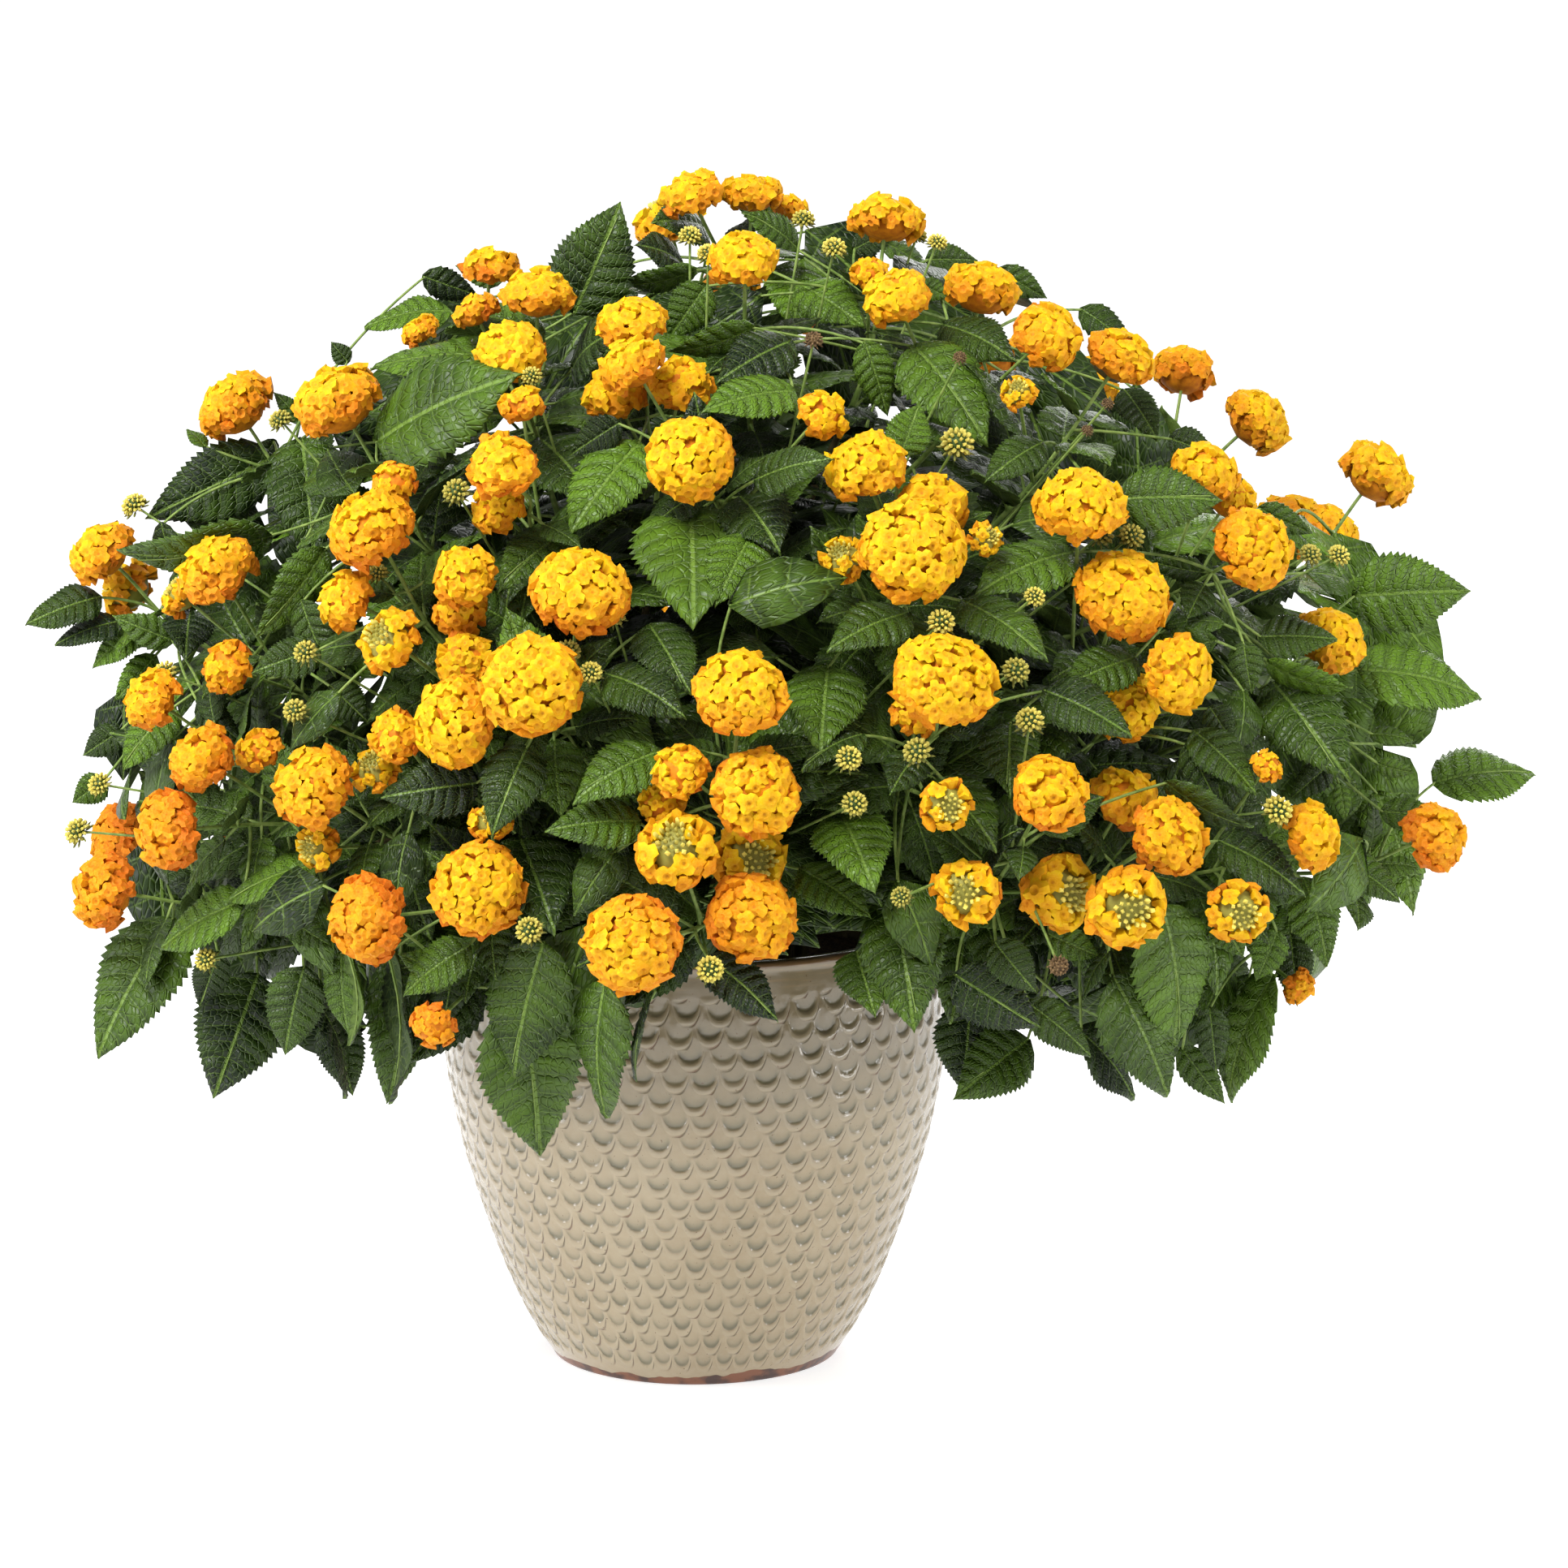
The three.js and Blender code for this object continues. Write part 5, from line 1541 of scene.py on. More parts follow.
@dataclass(frozen=True)
class LeafFinish:
    """The quilted green of a blade's upper side, with paler veins and painted shade in the furrows beside
    them, or the dull paler green beneath.
    """

    name: str
    old: tuple[float, float, float]
    young: tuple[float, float, float]
    vein: tuple[float, float, float]
    roughness: float
    vein_share: float
    quilt: float
    net_share: float = 0.16

    def build(self) -> bpy.types.Material:
        """Makes the material.

        Returns:
            The material.
        """
        shade = Shading(self.name, self.roughness, Specular_IOR_Level=0.28)
        place = shade.add("ShaderNodeUVMap", uv_map="blade").outputs[0]
        parts = shade.add("ShaderNodeSeparateXYZ", {0: place})
        across = shade.math("ABSOLUTE", shade.math("SUBTRACT", parts.outputs[0], 0.5))
        phase = shade.math("FRACT", shade.math("MULTIPLY_ADD", parts.outputs[1], 8.0, 0.5))
        row = shade.math("ABSOLUTE", shade.math("SUBTRACT", phase, 0.5))
        side_vein = shade.rise(row, 0.462, 0.494, (0, 0.6))
        outward = shade.rise(across, 0.5, 0.2)
        side_vein = shade.math("MULTIPLY", side_vein, outward)
        rib = shade.rise(across, 0.024, 0.010)
        veins = shade.math("MAXIMUM", side_vein, rib)
        pillow = shade.math("MULTIPLY", shade.rise(row, 0.5, 0.1), shade.rise(across, 0.0, 0.12))
        tone = shade.attribute("tone")
        patch = shade.math("SUBTRACT", shade.noise(34, 3), 0.5)
        # The tone attribute mixes old and young green. Besides each leaf's own tone, it holds painted shade
        # for leaves deep in or low on the plant, and a lighter tone for leaves far to the right.
        colour = shade.mix(shade.math("ADD", tone, patch), srgb(*self.old), srgb(*self.young))
        # Painted shade: the furrows beside the veins are darkened towards the old green.
        colour = shade.mix(shade.rise(pillow, 0.6, 0.05, (0, 0.4)), colour, srgb(*self.old))
        narrowed = {0: place, 1: (0.7, 1.0, 1.0)}
        chart = shade.add("ShaderNodeVectorMath", narrowed, operation="MULTIPLY").outputs[0]
        cells = shade.add(
            "ShaderNodeTexVoronoi", {"Vector": chart, "Scale": 22.0}, feature="DISTANCE_TO_EDGE",
            voronoi_dimensions="2D",
        ).outputs["Distance"]
        nets = shade.rise(cells, 0.0, 0.2)
        lines = shade.math("SUBTRACT", 1.0, nets)
        colour = shade.mix(shade.math("MULTIPLY", lines, self.net_share), colour, srgb(*self.vein))
        colour = shade.mix(shade.math("MULTIPLY", veins, self.vein_share), colour, srgb(*self.vein))
        shade.paint(colour)
        shade.bump(nets, 0.0008, self.quilt)
        shade.bump(pillow, 0.0020, self.quilt)
        return shade.material


@dataclass(frozen=True)
class PetalFinish:
    """Florets that go from clear yellow to orange with age and with painted shade, round a darker throat."""

    young: tuple[float, float, float] = (212, 170, 3)
    ripe: tuple[float, float, float] = (204, 132, 5)
    old: tuple[float, float, float] = (188, 92, 9)
    throat: tuple[float, float, float] = (158, 74, 4)
    light: tuple[float, float, float] = (250, 214, 90)

    def build(self) -> bpy.types.Material:
        """Makes the material.

        Returns:
            The material.
        """
        shade = Shading("petal", 0.7, Specular_IOR_Level=0.15)
        tone = shade.attribute("tone")
        place = shade.add("ShaderNodeUVMap", uv_map="blade").outputs[0]
        out = shade.add("ShaderNodeSeparateXYZ", {0: place}).outputs[0]
        # The tone attribute is partly the florets' age and partly painted shade on low heads and down each
        # dome.
        colour = shade.mix(shade.rise(tone, 0.1, 0.6), srgb(*self.young), srgb(*self.ripe))
        colour = shade.mix(shade.rise(tone, 0.55, 1.0), colour, srgb(*self.old))
        # Painted shade: each floret turns more orange towards its middle and into the notches between lobes,
        # where the lobes shade one another.
        inner = shade.rise(out, 0.8, 0.4, (0, 0.36))
        colour = shade.mix(inner, colour, srgb(*self.old))
        colour = shade.mix(shade.rise(out, 0.2, 0.05, (0, 0.5)), colour, srgb(*self.throat))
        grain = shade.noise(900, 2)
        colour = shade.mix(shade.rise(grain, 0.35, 0.75, (0.0, 0.12)), colour, srgb(*self.light))
        shade.paint(colour)
        return shade.material


@dataclass(frozen=True)
class PlainFinish:
    """A matt growth colour, mottled with a second one."""

    name: str
    first: tuple[float, float, float]
    second: tuple[float, float, float]
    roughness: float = 0.7
    grain: float = 300
    relief: float = 0.0
    stretch: tuple[float, float, float] = (1, 1, 1)

    def build(self) -> bpy.types.Material:
        """Makes the material.

        Returns:
            The material.
        """
        shade = Shading(self.name, self.roughness, Specular_IOR_Level=0.3)
        grain = shade.noise(self.grain, 4, self.stretch)
        shade.paint(shade.mix(shade.rise(grain, 0.35, 0.65), srgb(*self.first), srgb(*self.second)))
        if self.relief:
            shade.bump(grain, self.relief)
        return shade.material


@dataclass(frozen=True)
class BudFinish:
    """Closed florets, from green to pale yellow by their tone."""

    green: tuple[float, float, float] = (52, 72, 22)
    yellow: tuple[float, float, float] = (226, 208, 96)

    def build(self) -> bpy.types.Material:
        """Makes the material."""
        shade = Shading("bud", 0.6, Specular_IOR_Level=0.3)
        shade.paint(shade.mix(shade.attribute("tone"), srgb(*self.green), srgb(*self.yellow)))
        return shade.material


@dataclass(frozen=True)
class GlazeFinish:
    """Glossy cream glaze that pools grey-green in the scoops, breaks brown below and ends at a clay foot.
    Its upper belly carries painted shadow from the foliage, darkest in the scoops.
    """

    cream: tuple[float, float, float] = (165, 149, 120)
    warm: tuple[float, float, float] = (152, 134, 103)
    pool: tuple[float, float, float] = (98, 94, 70)
    pale: tuple[float, float, float] = (172, 159, 132)
    # Painted shadow of the foliage on the upper belly.
    foliage_shadow: tuple[float, float, float] = (114, 102, 78)
    olive: tuple[float, float, float] = (88, 74, 44)
    rust: tuple[float, float, float] = (96, 62, 32)
    # Dark brown of the upper scoops, partly pooled glaze and partly painted shade.
    dark: tuple[float, float, float] = (70, 54, 40)
    clay: tuple[float, float, float] = (118, 66, 33)
    burnt: tuple[float, float, float] = (58, 26, 10)
    speck: tuple[float, float, float] = (92, 66, 40)
    rim: tuple[float, float, float] = (104, 72, 42)
    streak: tuple[float, float, float] = (150, 124, 88)
    rim_height: float = 0.2485
    ring_wave: float = 0.012

    def build(self) -> bpy.types.Material:
        """Makes the material.

        Returns:
            The material.
        """
        shade = Shading("glaze", 0.2, Coat_Weight=0.5, Coat_Roughness=0.06, IOR=1.52)
        parts = shade.add("ShaderNodeSeparateXYZ", {0: shade.object})
        height = parts.outputs[2]
        turn = Wire(shade, shade.math("ARCTAN2", parts.outputs[1], parts.outputs[0]))
        fields = SCOOPS.fields(WireKit, turn, Wire(shade, height) * 1000.0)
        recess, band, groove, upper = (part.socket for part in fields)
        broad = shade.noise(9, 3)
        colour = shade.mix(shade.rise(broad, 0.35, 0.7), srgb(*self.cream), srgb(*self.warm))
        grain = shade.noise(240, 4)
        colour = shade.mix(shade.rise(grain, 0.3, 0.75, (0, 0.3)), colour, srgb(*self.pale))
        # Painted shadow: the upper belly, under the foliage, is darkened towards a grey-brown.
        shaded = shade.rise(height, 0.12, 0.215, (0, 0.75))
        colour = shade.mix(shaded, colour, srgb(*self.foliage_shadow))
        colour = shade.mix(shade.rise(recess, 0.05, 0.7, (0, 0.9)), colour, srgb(*self.pool))
        # Partly pooled glaze and partly painted shade: the scoops of the upper rows, under the foliage,
        # darken to a dark brown.
        pool_and_shade = shade.math("MULTIPLY", shade.rise(recess, 0.3, 0.9), shade.math("MULTIPLY", upper, 0.9))
        colour = shade.mix(pool_and_shade, colour, srgb(*self.dark))
        colour = shade.mix(shade.math("MULTIPLY", band, 0.3), colour, srgb(*self.pale))
        line = shade.mix(shade.rise(shade.noise(70, 1), 0.5, 0.62), srgb(*self.olive), srgb(*self.rust))
        worn = shade.rise(shade.noise(110, 2), 0.3, 0.5, (0.35, 1.0))
        colour = shade.mix(shade.math("MULTIPLY", shade.math("MULTIPLY", groove, worn), 0.9), colour, line)
        specks = shade.rise(shade.noise(520, 2), 0.69, 0.76)
        colour = shade.mix(shade.math("MULTIPLY", specks, 0.7), colour, srgb(*self.speck))
        rim = shade.math("ABSOLUTE", shade.math("SUBTRACT", height, self.rim_height))
        colour = shade.mix(shade.rise(rim, 0.0030, 0.0009, (0, 0.8)), colour, srgb(*self.rim))
        streaks = shade.noise(60, 3, (1, 1, 14))
        collar = shade.rise(height, 0.232, 0.238)
        streaks = shade.math("MULTIPLY", shade.rise(streaks, 0.5, 0.7), shade.math("MULTIPLY", collar, 0.4))
        colour = shade.mix(streaks, colour, srgb(*self.streak))
        wobble = shade.math("MULTIPLY", shade.noise(34, 3), self.ring_wave)
        bare = shade.math("LESS_THAN", height, wobble)
        fired = shade.mix(shade.rise(shade.noise(90, 3), 0.4, 0.62), srgb(*self.clay), srgb(*self.burnt))
        colour = shade.mix(bare, colour, fired)
        shade.paint(colour)
        shade.feed(shade.surface.inputs["Roughness"], shade.math("MULTIPLY_ADD", bare, 0.5, 0.2))
        relief = shade.math("MULTIPLY_ADD", recess, -0.7, shade.math("MULTIPLY", collar, 0.2))
        relief = shade.math("SUBTRACT", relief, shade.math("MULTIPLY", groove, 0.5))
        shade.bump(relief, 0.001, 0.9)
        shade.bump(shade.noise(160, 3), 0.0006, 0.35)
        return shade.material


# ------------------------------------------------------------------ shapes


@dataclass
class Template:
    """A closed shape that is copied and bent many times."""

    places: np.ndarray
    faces: np.ndarray
    slots: np.ndarray

    @classmethod
    def of(cls, form: bmesh.types.BMesh) -> Template:
        """Takes the corners and triangles of a finished form, and frees it.

        Args:
            form: the finished form.

        Returns:
            The template.
        """
        bmesh.ops.triangulate(form, faces=form.faces[:])
        form.verts.index_update()
        places = np.array([vertex.co[:] for vertex in form.verts])
        faces = np.array([[vertex.index for vertex in face.verts] for face in form.faces])
        slots = np.array([face.material_index for face in form.faces])
        form.free()
        return cls(places, faces, slots)


class Piece:
    """Collects shaped copies of templates, in millimetres, and makes one mesh object of them."""

    def __init__(self, name: str, materials: list[bpy.types.Material]) -> None:
        """Starts an empty piece.

        Args:
            name: name of the object.
            materials: its materials, in the order of the slots.
        """
        self.name, self.materials = name, materials
        self.places: list[np.ndarray] = []
        self.faces: list[np.ndarray] = []
        self.slots: list[np.ndarray] = []
        self.charts: list[np.ndarray] = []
        self.numbers: dict[str, list[np.ndarray]] = {}
        self.count = 0

    def add(
        self, places: np.ndarray, faces: np.ndarray, slots: np.ndarray, chart: np.ndarray | None = None,
        **numbers: np.ndarray,
    ) -> None:
        """Adds one closed shape.

        Args:
            places: its corners.
            faces: its triangles, by corner.
            slots: material of each triangle.
            chart: place of each corner on the texture map.
            **numbers: further numbers for each corner.
        """
        self.places.append(places)
        self.faces.append(faces + self.count)
        self.slots.append(slots)
        self.charts.append(np.zeros((len(places), 2)) if chart is None else chart)
        for name, values in numbers.items():
            self.numbers.setdefault(name, []).append(np.broadcast_to(values, (len(places),)))
        self.count += len(places)

    def make(self, sharp: float | None = None) -> bpy.types.Object:
        """Makes the object, smooth but for edges sharper than an angle in degrees.

        Args:
            sharp: that angle, or None for a smooth piece.

        Returns:
            The object.
        """
        faces = np.concatenate(self.faces)
        mesh = bpy.data.meshes.new(self.name)
        mesh.from_pydata((np.concatenate(self.places) * METRE).tolist(), [], faces.tolist())
        mesh.polygons.foreach_set("material_index", np.concatenate(self.slots).astype(np.int32))
        chart = mesh.uv_layers.new(name="blade")
        chart.data.foreach_set("uv", np.concatenate(self.charts)[faces.ravel()].astype(np.float32).ravel())
        for name, values in self.numbers.items():
            layer = mesh.attributes.new(name, "FLOAT", "POINT")
            layer.data.foreach_set("value", np.concatenate(values).astype(np.float32))
        for material in self.materials:
            mesh.materials.append(material)
        mesh.shade_smooth()
        if sharp is not None:
            mesh.set_sharp_from_angle(angle=math.radians(sharp))
        LOG.info("%s: %d triangles", self.name, len(faces))
        return add_object(self.name, mesh)


class BladeMaker:
    """Bends a flat cut of the blade into leaves."""

    def __init__(self, cut: BladeCut) -> None:
        """Cuts the flat blade.

        Args:
            cut: how finely the blade is cut.
        """
        self.rows, self.columns, self.veins, self.toothed = cut.value
        form = bmesh.new()
        bmesh.ops.create_grid(form, x_segments=self.columns, y_segments=self.rows, size=1)
        if self.toothed:
            sides = [
                edge for edge in form.edges
                if edge.is_boundary and all(abs(vertex.co.x) > 0.999 for vertex in edge.verts)
            ]
            bmesh.ops.subdivide_edges(form, edges=sides, cuts=1)
        bmesh.ops.solidify(form, geom=form.faces[:], thickness=1.0)
        for face in form.faces:
            face.material_index = int(all(vertex.co.z < -0.5 for vertex in face.verts))
        self.template = Template.of(form)
        self.across, lift, self.layer = self.template.places.T
        self.along = (lift + 1) / 2
        step = self.along * self.rows
        rim = np.abs(self.across) > 0.999
        self.tooth = rim & (np.abs(step - np.floor(step) - 0.5) < 0.1)
        self.notch = rim & ~self.tooth

    @staticmethod
    def half_width(share: np.ndarray) -> np.ndarray:
        """Half the width at a share of the length, against its largest."""
        share = np.clip(share, 0, 1)
        return share**0.62 * (1 - share) ** 1.1 / (0.36**0.62 * 0.64**1.1)

    def shape(self, leaf: Leaf, item: float) -> tuple[np.ndarray, np.ndarray]:
        """The corners of one leaf, and their places on the texture map.

        Args:
            leaf: the leaf.
            item: number that its random draws take.
        """
        t, s = self.across, self.along
        bend = 1 - (1 - s) ** 4
        share = s + 0.22 * np.abs(t) ** 1.15 * (1 - s) * bend
        out = np.ones_like(t)
        if self.toothed:
            fade = smoothstep(0.06, 0.16, share) * (1 - smoothstep(0.93, 1.0, share))
            out = out + fade * np.where(self.tooth, 0.06, np.where(self.notch, -0.06, 0.0))
            share = share + fade * np.where(self.tooth, 0.35 / self.rows, 0.0)
        half = leaf.width / 2
        wide = np.maximum(self.half_width(share) * half, 0.8 - 0.55 * share) * out * t
        phase = 6.28 * chance(item, 61)
        edge = np.abs(t)
        vein = np.abs(np.sin(math.pi * s * self.veins))
        puff = smoothstep(0.04, 0.3, edge) * (1 - smoothstep(0.72, 1.0, edge))
        rise = leaf.BOW * leaf.length * 4 * share * (1 - share)
        rise = rise - leaf.FOLD * leaf.width * np.abs(wide) / half
        rise = rise + 0.04 * leaf.width * vein * puff * smoothstep(0, 0.1, s)
        rise = rise - 0.03 * leaf.width * np.exp(-((t / 0.16) ** 2)) * (1 - s)
        swell = 0.5 + chance(item, 62)
        rise = rise + 0.035 * leaf.width * swell * edge**2 * np.sin(10 * share + phase + 1.9 * (t > 0))
        rise = rise - (0.03 + 0.09 * chance(item, 63)) * leaf.length * share**2.5
        rise = rise + (chance(item, 64) - 0.5) * 0.22 * wide * share
        rise = rise + 0.8 + self.layer * (0.55 if self.toothed else 0.6)
        sway = (chance(item, 65) - 0.5) * 0.1 * leaf.length * share**2
        axis = unit(leaf.tip - leaf.foot)
        side = np.cross(axis, leaf.normal)
        places = leaf.foot + np.outer(share * leaf.length, axis) + np.outer(wide + sway, side)
        places = places + np.outer(rise, leaf.normal)
        chart = np.stack((wide / leaf.width + 0.5, s * self.veins / 8), axis=1)
        return places, chart


@dataclass(frozen=True)
class FloretMaker:
    """Makes the flower heads: florets, closed buds and the dark middle behind them."""

    petal_reach: float = 6.5
    share: float = 0.092
    flat: float = 0.8
    side_flat: float = 0.66
    cap: float = 2.1

    def floret(self, item: int) -> Template:
        """A trumpet with four rounded lobes, a throat and a neck that closes to a point.

        Args:
            item: number of the shape, which varies its lobes.

        Returns:
            The template, whose lobes reach about 1 out of the middle.
        """
        form = bmesh.new()
        levels = ((16, 1.0, -0.13), (8, 0.36, 0.06))
        loops = [self.ring(form, sides, radius, level) for sides, radius, level in levels]
        bmesh.ops.bridge_loops(form, edges=loops[0] + loops[1])
        throat = bmesh.ops.holes_fill(form, edges=loops[1], sides=0)["faces"]
        bmesh.ops.poke(form, faces=throat)
        foot = bmesh.ops.holes_fill(form, edges=loops[0], sides=0)["faces"]
        apex = bmesh.ops.poke(form, faces=foot)["verts"]
        apex[0].co.z = -1.5
        for vertex in form.verts:
            if vertex.co.length < 0.2:
                vertex.co.z = -0.22
        bmesh.ops.recalc_face_normals(form, faces=form.faces[:])
        made = Template.of(form)
        turn = np.arctan2(made.places[:, 1], made.places[:, 0])
        lobe = np.abs(np.sin(2 * turn)) ** 0.6
        reach = np.hypot(made.places[:, 0], made.places[:, 1])
        outer = reach > 0.9
        slim = np.array([0.9 + 0.2 * chance(item + math.floor(step / 1.5708), 5) for step in turn])
        made.places[:, :2] *= np.where(outer, (0.66 + 0.34 * lobe) * slim, 1.0)[:, None]
        ruffle = 0.10 * np.cos(8 * turn + 0.4) * lobe + 0.12 * np.sin(2 * turn + item) - 0.05
        made.places[:, 2] += np.where(outer, ruffle, 0.0)
        return made

    @staticmethod
    def ring(form: bmesh.types.BMesh, sides: int, radius: float, level: float) -> list[bmesh.types.BMEdge]:
        """One loop of edges.

        Args:
            form: the form that the loop goes into.
            sides: how many edges it has.
            radius: its radius.
            level: its height.

        Returns:
            The edges.
        """
        made = bmesh.ops.create_circle(form, segments=sides, radius=radius)["verts"]
        for vertex in made:
            vertex.co.z = level
        return list({edge for vertex in made for edge in vertex.link_edges})

    @staticmethod
    def bud() -> Template:
        """A closed four-sided floret.

        Returns:
            The template.
        """
        form = bmesh.new()
        bmesh.ops.create_uvsphere(form, u_segments=4, v_segments=3, radius=1)
        bmesh.ops.recalc_face_normals(form, faces=form.faces[:])
        return Template.of(form)

    @staticmethod
    def ball(detail: int) -> Template:
        """A plain closed ball."""
        form = bmesh.new()
        bmesh.ops.create_icosphere(form, subdivisions=detail, radius=1)
        return Template.of(form)


def scatter(
    piece: Piece, template: Template, centres: np.ndarray, normals: np.ndarray, sizes: np.ndarray,
    turns: np.ndarray, tones: np.ndarray, slot: int,
) -> None:
    """Adds one copy of a template at each place.

    Args:
        piece: what the copies go into.
        template: the shape, standing on its own Z axis.
        centres: where each copy goes.
        normals: where each copy's Z axis looks.
        sizes: scale of each copy, as three numbers or one.
        turns: turn of each copy round its own axis, in radians.
        tones: the tone of each copy.
        slot: material of the copies.
    """
    count = len(centres)
    helper = np.where(np.abs(normals[:, 2:3]) < 0.9, UP[None], np.array((1.0, 0, 0))[None])
    first = np.cross(helper, normals)
    first /= np.linalg.norm(first, axis=1)[:, None]
    second = np.cross(normals, first)
    cosine, sine = np.cos(turns)[:, None], np.sin(turns)[:, None]
    first, second = first * cosine + second * sine, second * cosine - first * sine
    sizes = np.broadcast_to(np.asarray(sizes, float).reshape(count, -1), (count, 3))
    local = template.places[None] * sizes[:, None, :]
    places = centres[:, None] + local[..., 0:1] * first[:, None] + local[..., 1:2] * second[:, None]
    places = (places + local[..., 2:3] * normals[:, None]).reshape(-1, 3)
    size = len(template.places)
    faces = (template.faces[None] + (np.arange(count) * size)[:, None, None]).reshape(-1, 3)
    radial = np.hypot(template.places[:, 0], template.places[:, 1])
    chart = np.tile(np.stack((radial, template.places[:, 2] + 0.5), axis=1), (count, 1))
    piece.add(places, faces, np.full(len(faces), slot), chart, tone=np.repeat(tones, size))


class HeadMaker:
    """Dresses flower heads with florets and buds."""

    SIZES = FloretMaker()

    def __init__(self) -> None:
        """Makes the shapes that every head repeats."""
        self.florets = [self.SIZES.floret(item) for item in (1, 2, 3)]
        self.bud = self.SIZES.bud()
        self.ball = self.SIZES.ball(2)

    def dome(self, head: Head, count: int, turn: float) -> tuple[np.ndarray, np.ndarray, np.ndarray]:
        """Evenly spread places on the dome of a head.

        Args:
            head: the head.
            count: how many places.
            turn: turn of the whole pattern, in radians.

        Returns:
            The places, the outward directions, and the share of the way down of each.
        """
        kit = self.SIZES
        number = np.arange(count)
        share = (number + 0.35) / count
        height = 1 - (1 - math.cos(kit.cap)) * share
        level = np.sqrt(np.maximum(0, 1 - height**2))
        around = GOLDEN * number + turn
        side = square_to(np.array((1, 0.3, 0.2)), head.facing)
        other = np.cross(head.facing, side)
        flat = kit.side_flat if head.stage is Stage.SIDE else kit.flat
        x, y = (level * np.cos(around))[:, None], (level * np.sin(around))[:, None]
        ball = x * side + y * other
        places = head.centre + head.radius * (ball + (height * flat)[:, None] * head.facing)
        ways = ball + (height / flat)[:, None] * head.facing
        return places, ways / np.linalg.norm(ways, axis=1)[:, None], share

    def add(self, piece: Piece, head: Head) -> None:
        """Adds one whole head to a piece whose materials are petal, bud and the dark middle.

        Args:
            piece: the piece.
            head: the head.
        """
        kit = self.SIZES
        wild = np.random.default_rng(700 + head.index)
        ringed = head.stage is Stage.RING
        count = max(16, round(kit.share * head.radius**2 * (0.8 if ringed else 1.15)))
        places, ways, share = self.dome(head, count, head.index)
        middle = share < 0.13 if ringed else np.zeros(count, bool)
        reach = min(kit.petal_reach * (1.12 if ringed else 1.0), 0.38 * head.radius)
        # Partly age and partly painted shade: heads low on the plant and to the left, and the florets
        # further down each dome, are more orange.
        age_and_shade = 0.36 * smoothstep(430, 240, head.centre[2]) + 0.2 * smoothstep(0, -260, head.centre[0])
        age_and_shade = (float(age_and_shade) + 0.22 * (chance(head.index, 41) - 0.4)) * (0.2 if ringed else 1.0)
        tones = np.clip(age_and_shade + 0.75 * share**1.4 + 0.16 * (wild.random(count) - 0.5), 0, 1)
        ways = ways + 0.7 * (wild.random((count, 3)) - 0.5)
        ways /= np.linalg.norm(ways, axis=1)[:, None]
        inset = reach * (0.52 * wild.random(count) - 0.16)
        places = places - ways * inset[:, None]
        sizes = reach * (0.86 + 0.24 * wild.random(count))
        turns = wild.random(count) * 6.28
        pick = wild.integers(0, 3, count)
        for number, template in enumerate(self.florets):
            some = (pick == number) & ~middle
            if some.any():
                scatter(piece, template, places[some], ways[some], sizes[some], turns[some], tones[some], 0)
        flat = kit.side_flat if head.stage is Stage.SIDE else kit.flat
        scatter(
            piece, self.ball, head.centre[None], head.facing[None],
            np.array((1, 1, flat)) * (0.72 if ringed else 0.82) * head.radius, np.zeros(1),
            np.full(1, 0.3), 1 if ringed else 2,
        )
        if ringed:
            count, size = round(12 + 0.7 * head.radius), 0.055 * head.radius + 0.3
            self.add_buds(piece, head, count, 0.10, 0.9, (0.45, 1.0), size)

    def add_buds(
        self, piece: Piece, head: Head, count: int, cover: float, shell: float, tones: tuple[float, float],
        size: float,
    ) -> None:
        """Adds packed closed florets over the crown of a head.

        Args:
            piece: what the buds go into, with their material in slot 1.
            head: the head.
            count: how many buds.
            cover: share of the dome that they cover.
            shell: how far out they stand against the radius.
            tones: their tones in the middle and at the outside.
            size: radius of one bud.
        """
        places, ways, share = self.dome(head, round(count / cover), head.index + 1.0)
        places, ways, share = places[:count], ways[:count], share[:count]
        places = head.centre + (places - head.centre) * shell
        grown = share / cover
        sizes = np.stack((size * (0.8 + 0.4 * grown),) * 2 + (size * (1.3 + 0.9 * grown),), axis=1)
        values = tones[0] + (tones[1] - tones[0]) * grown
        scatter(piece, self.bud, places, ways, sizes, share * 40, values, 1)


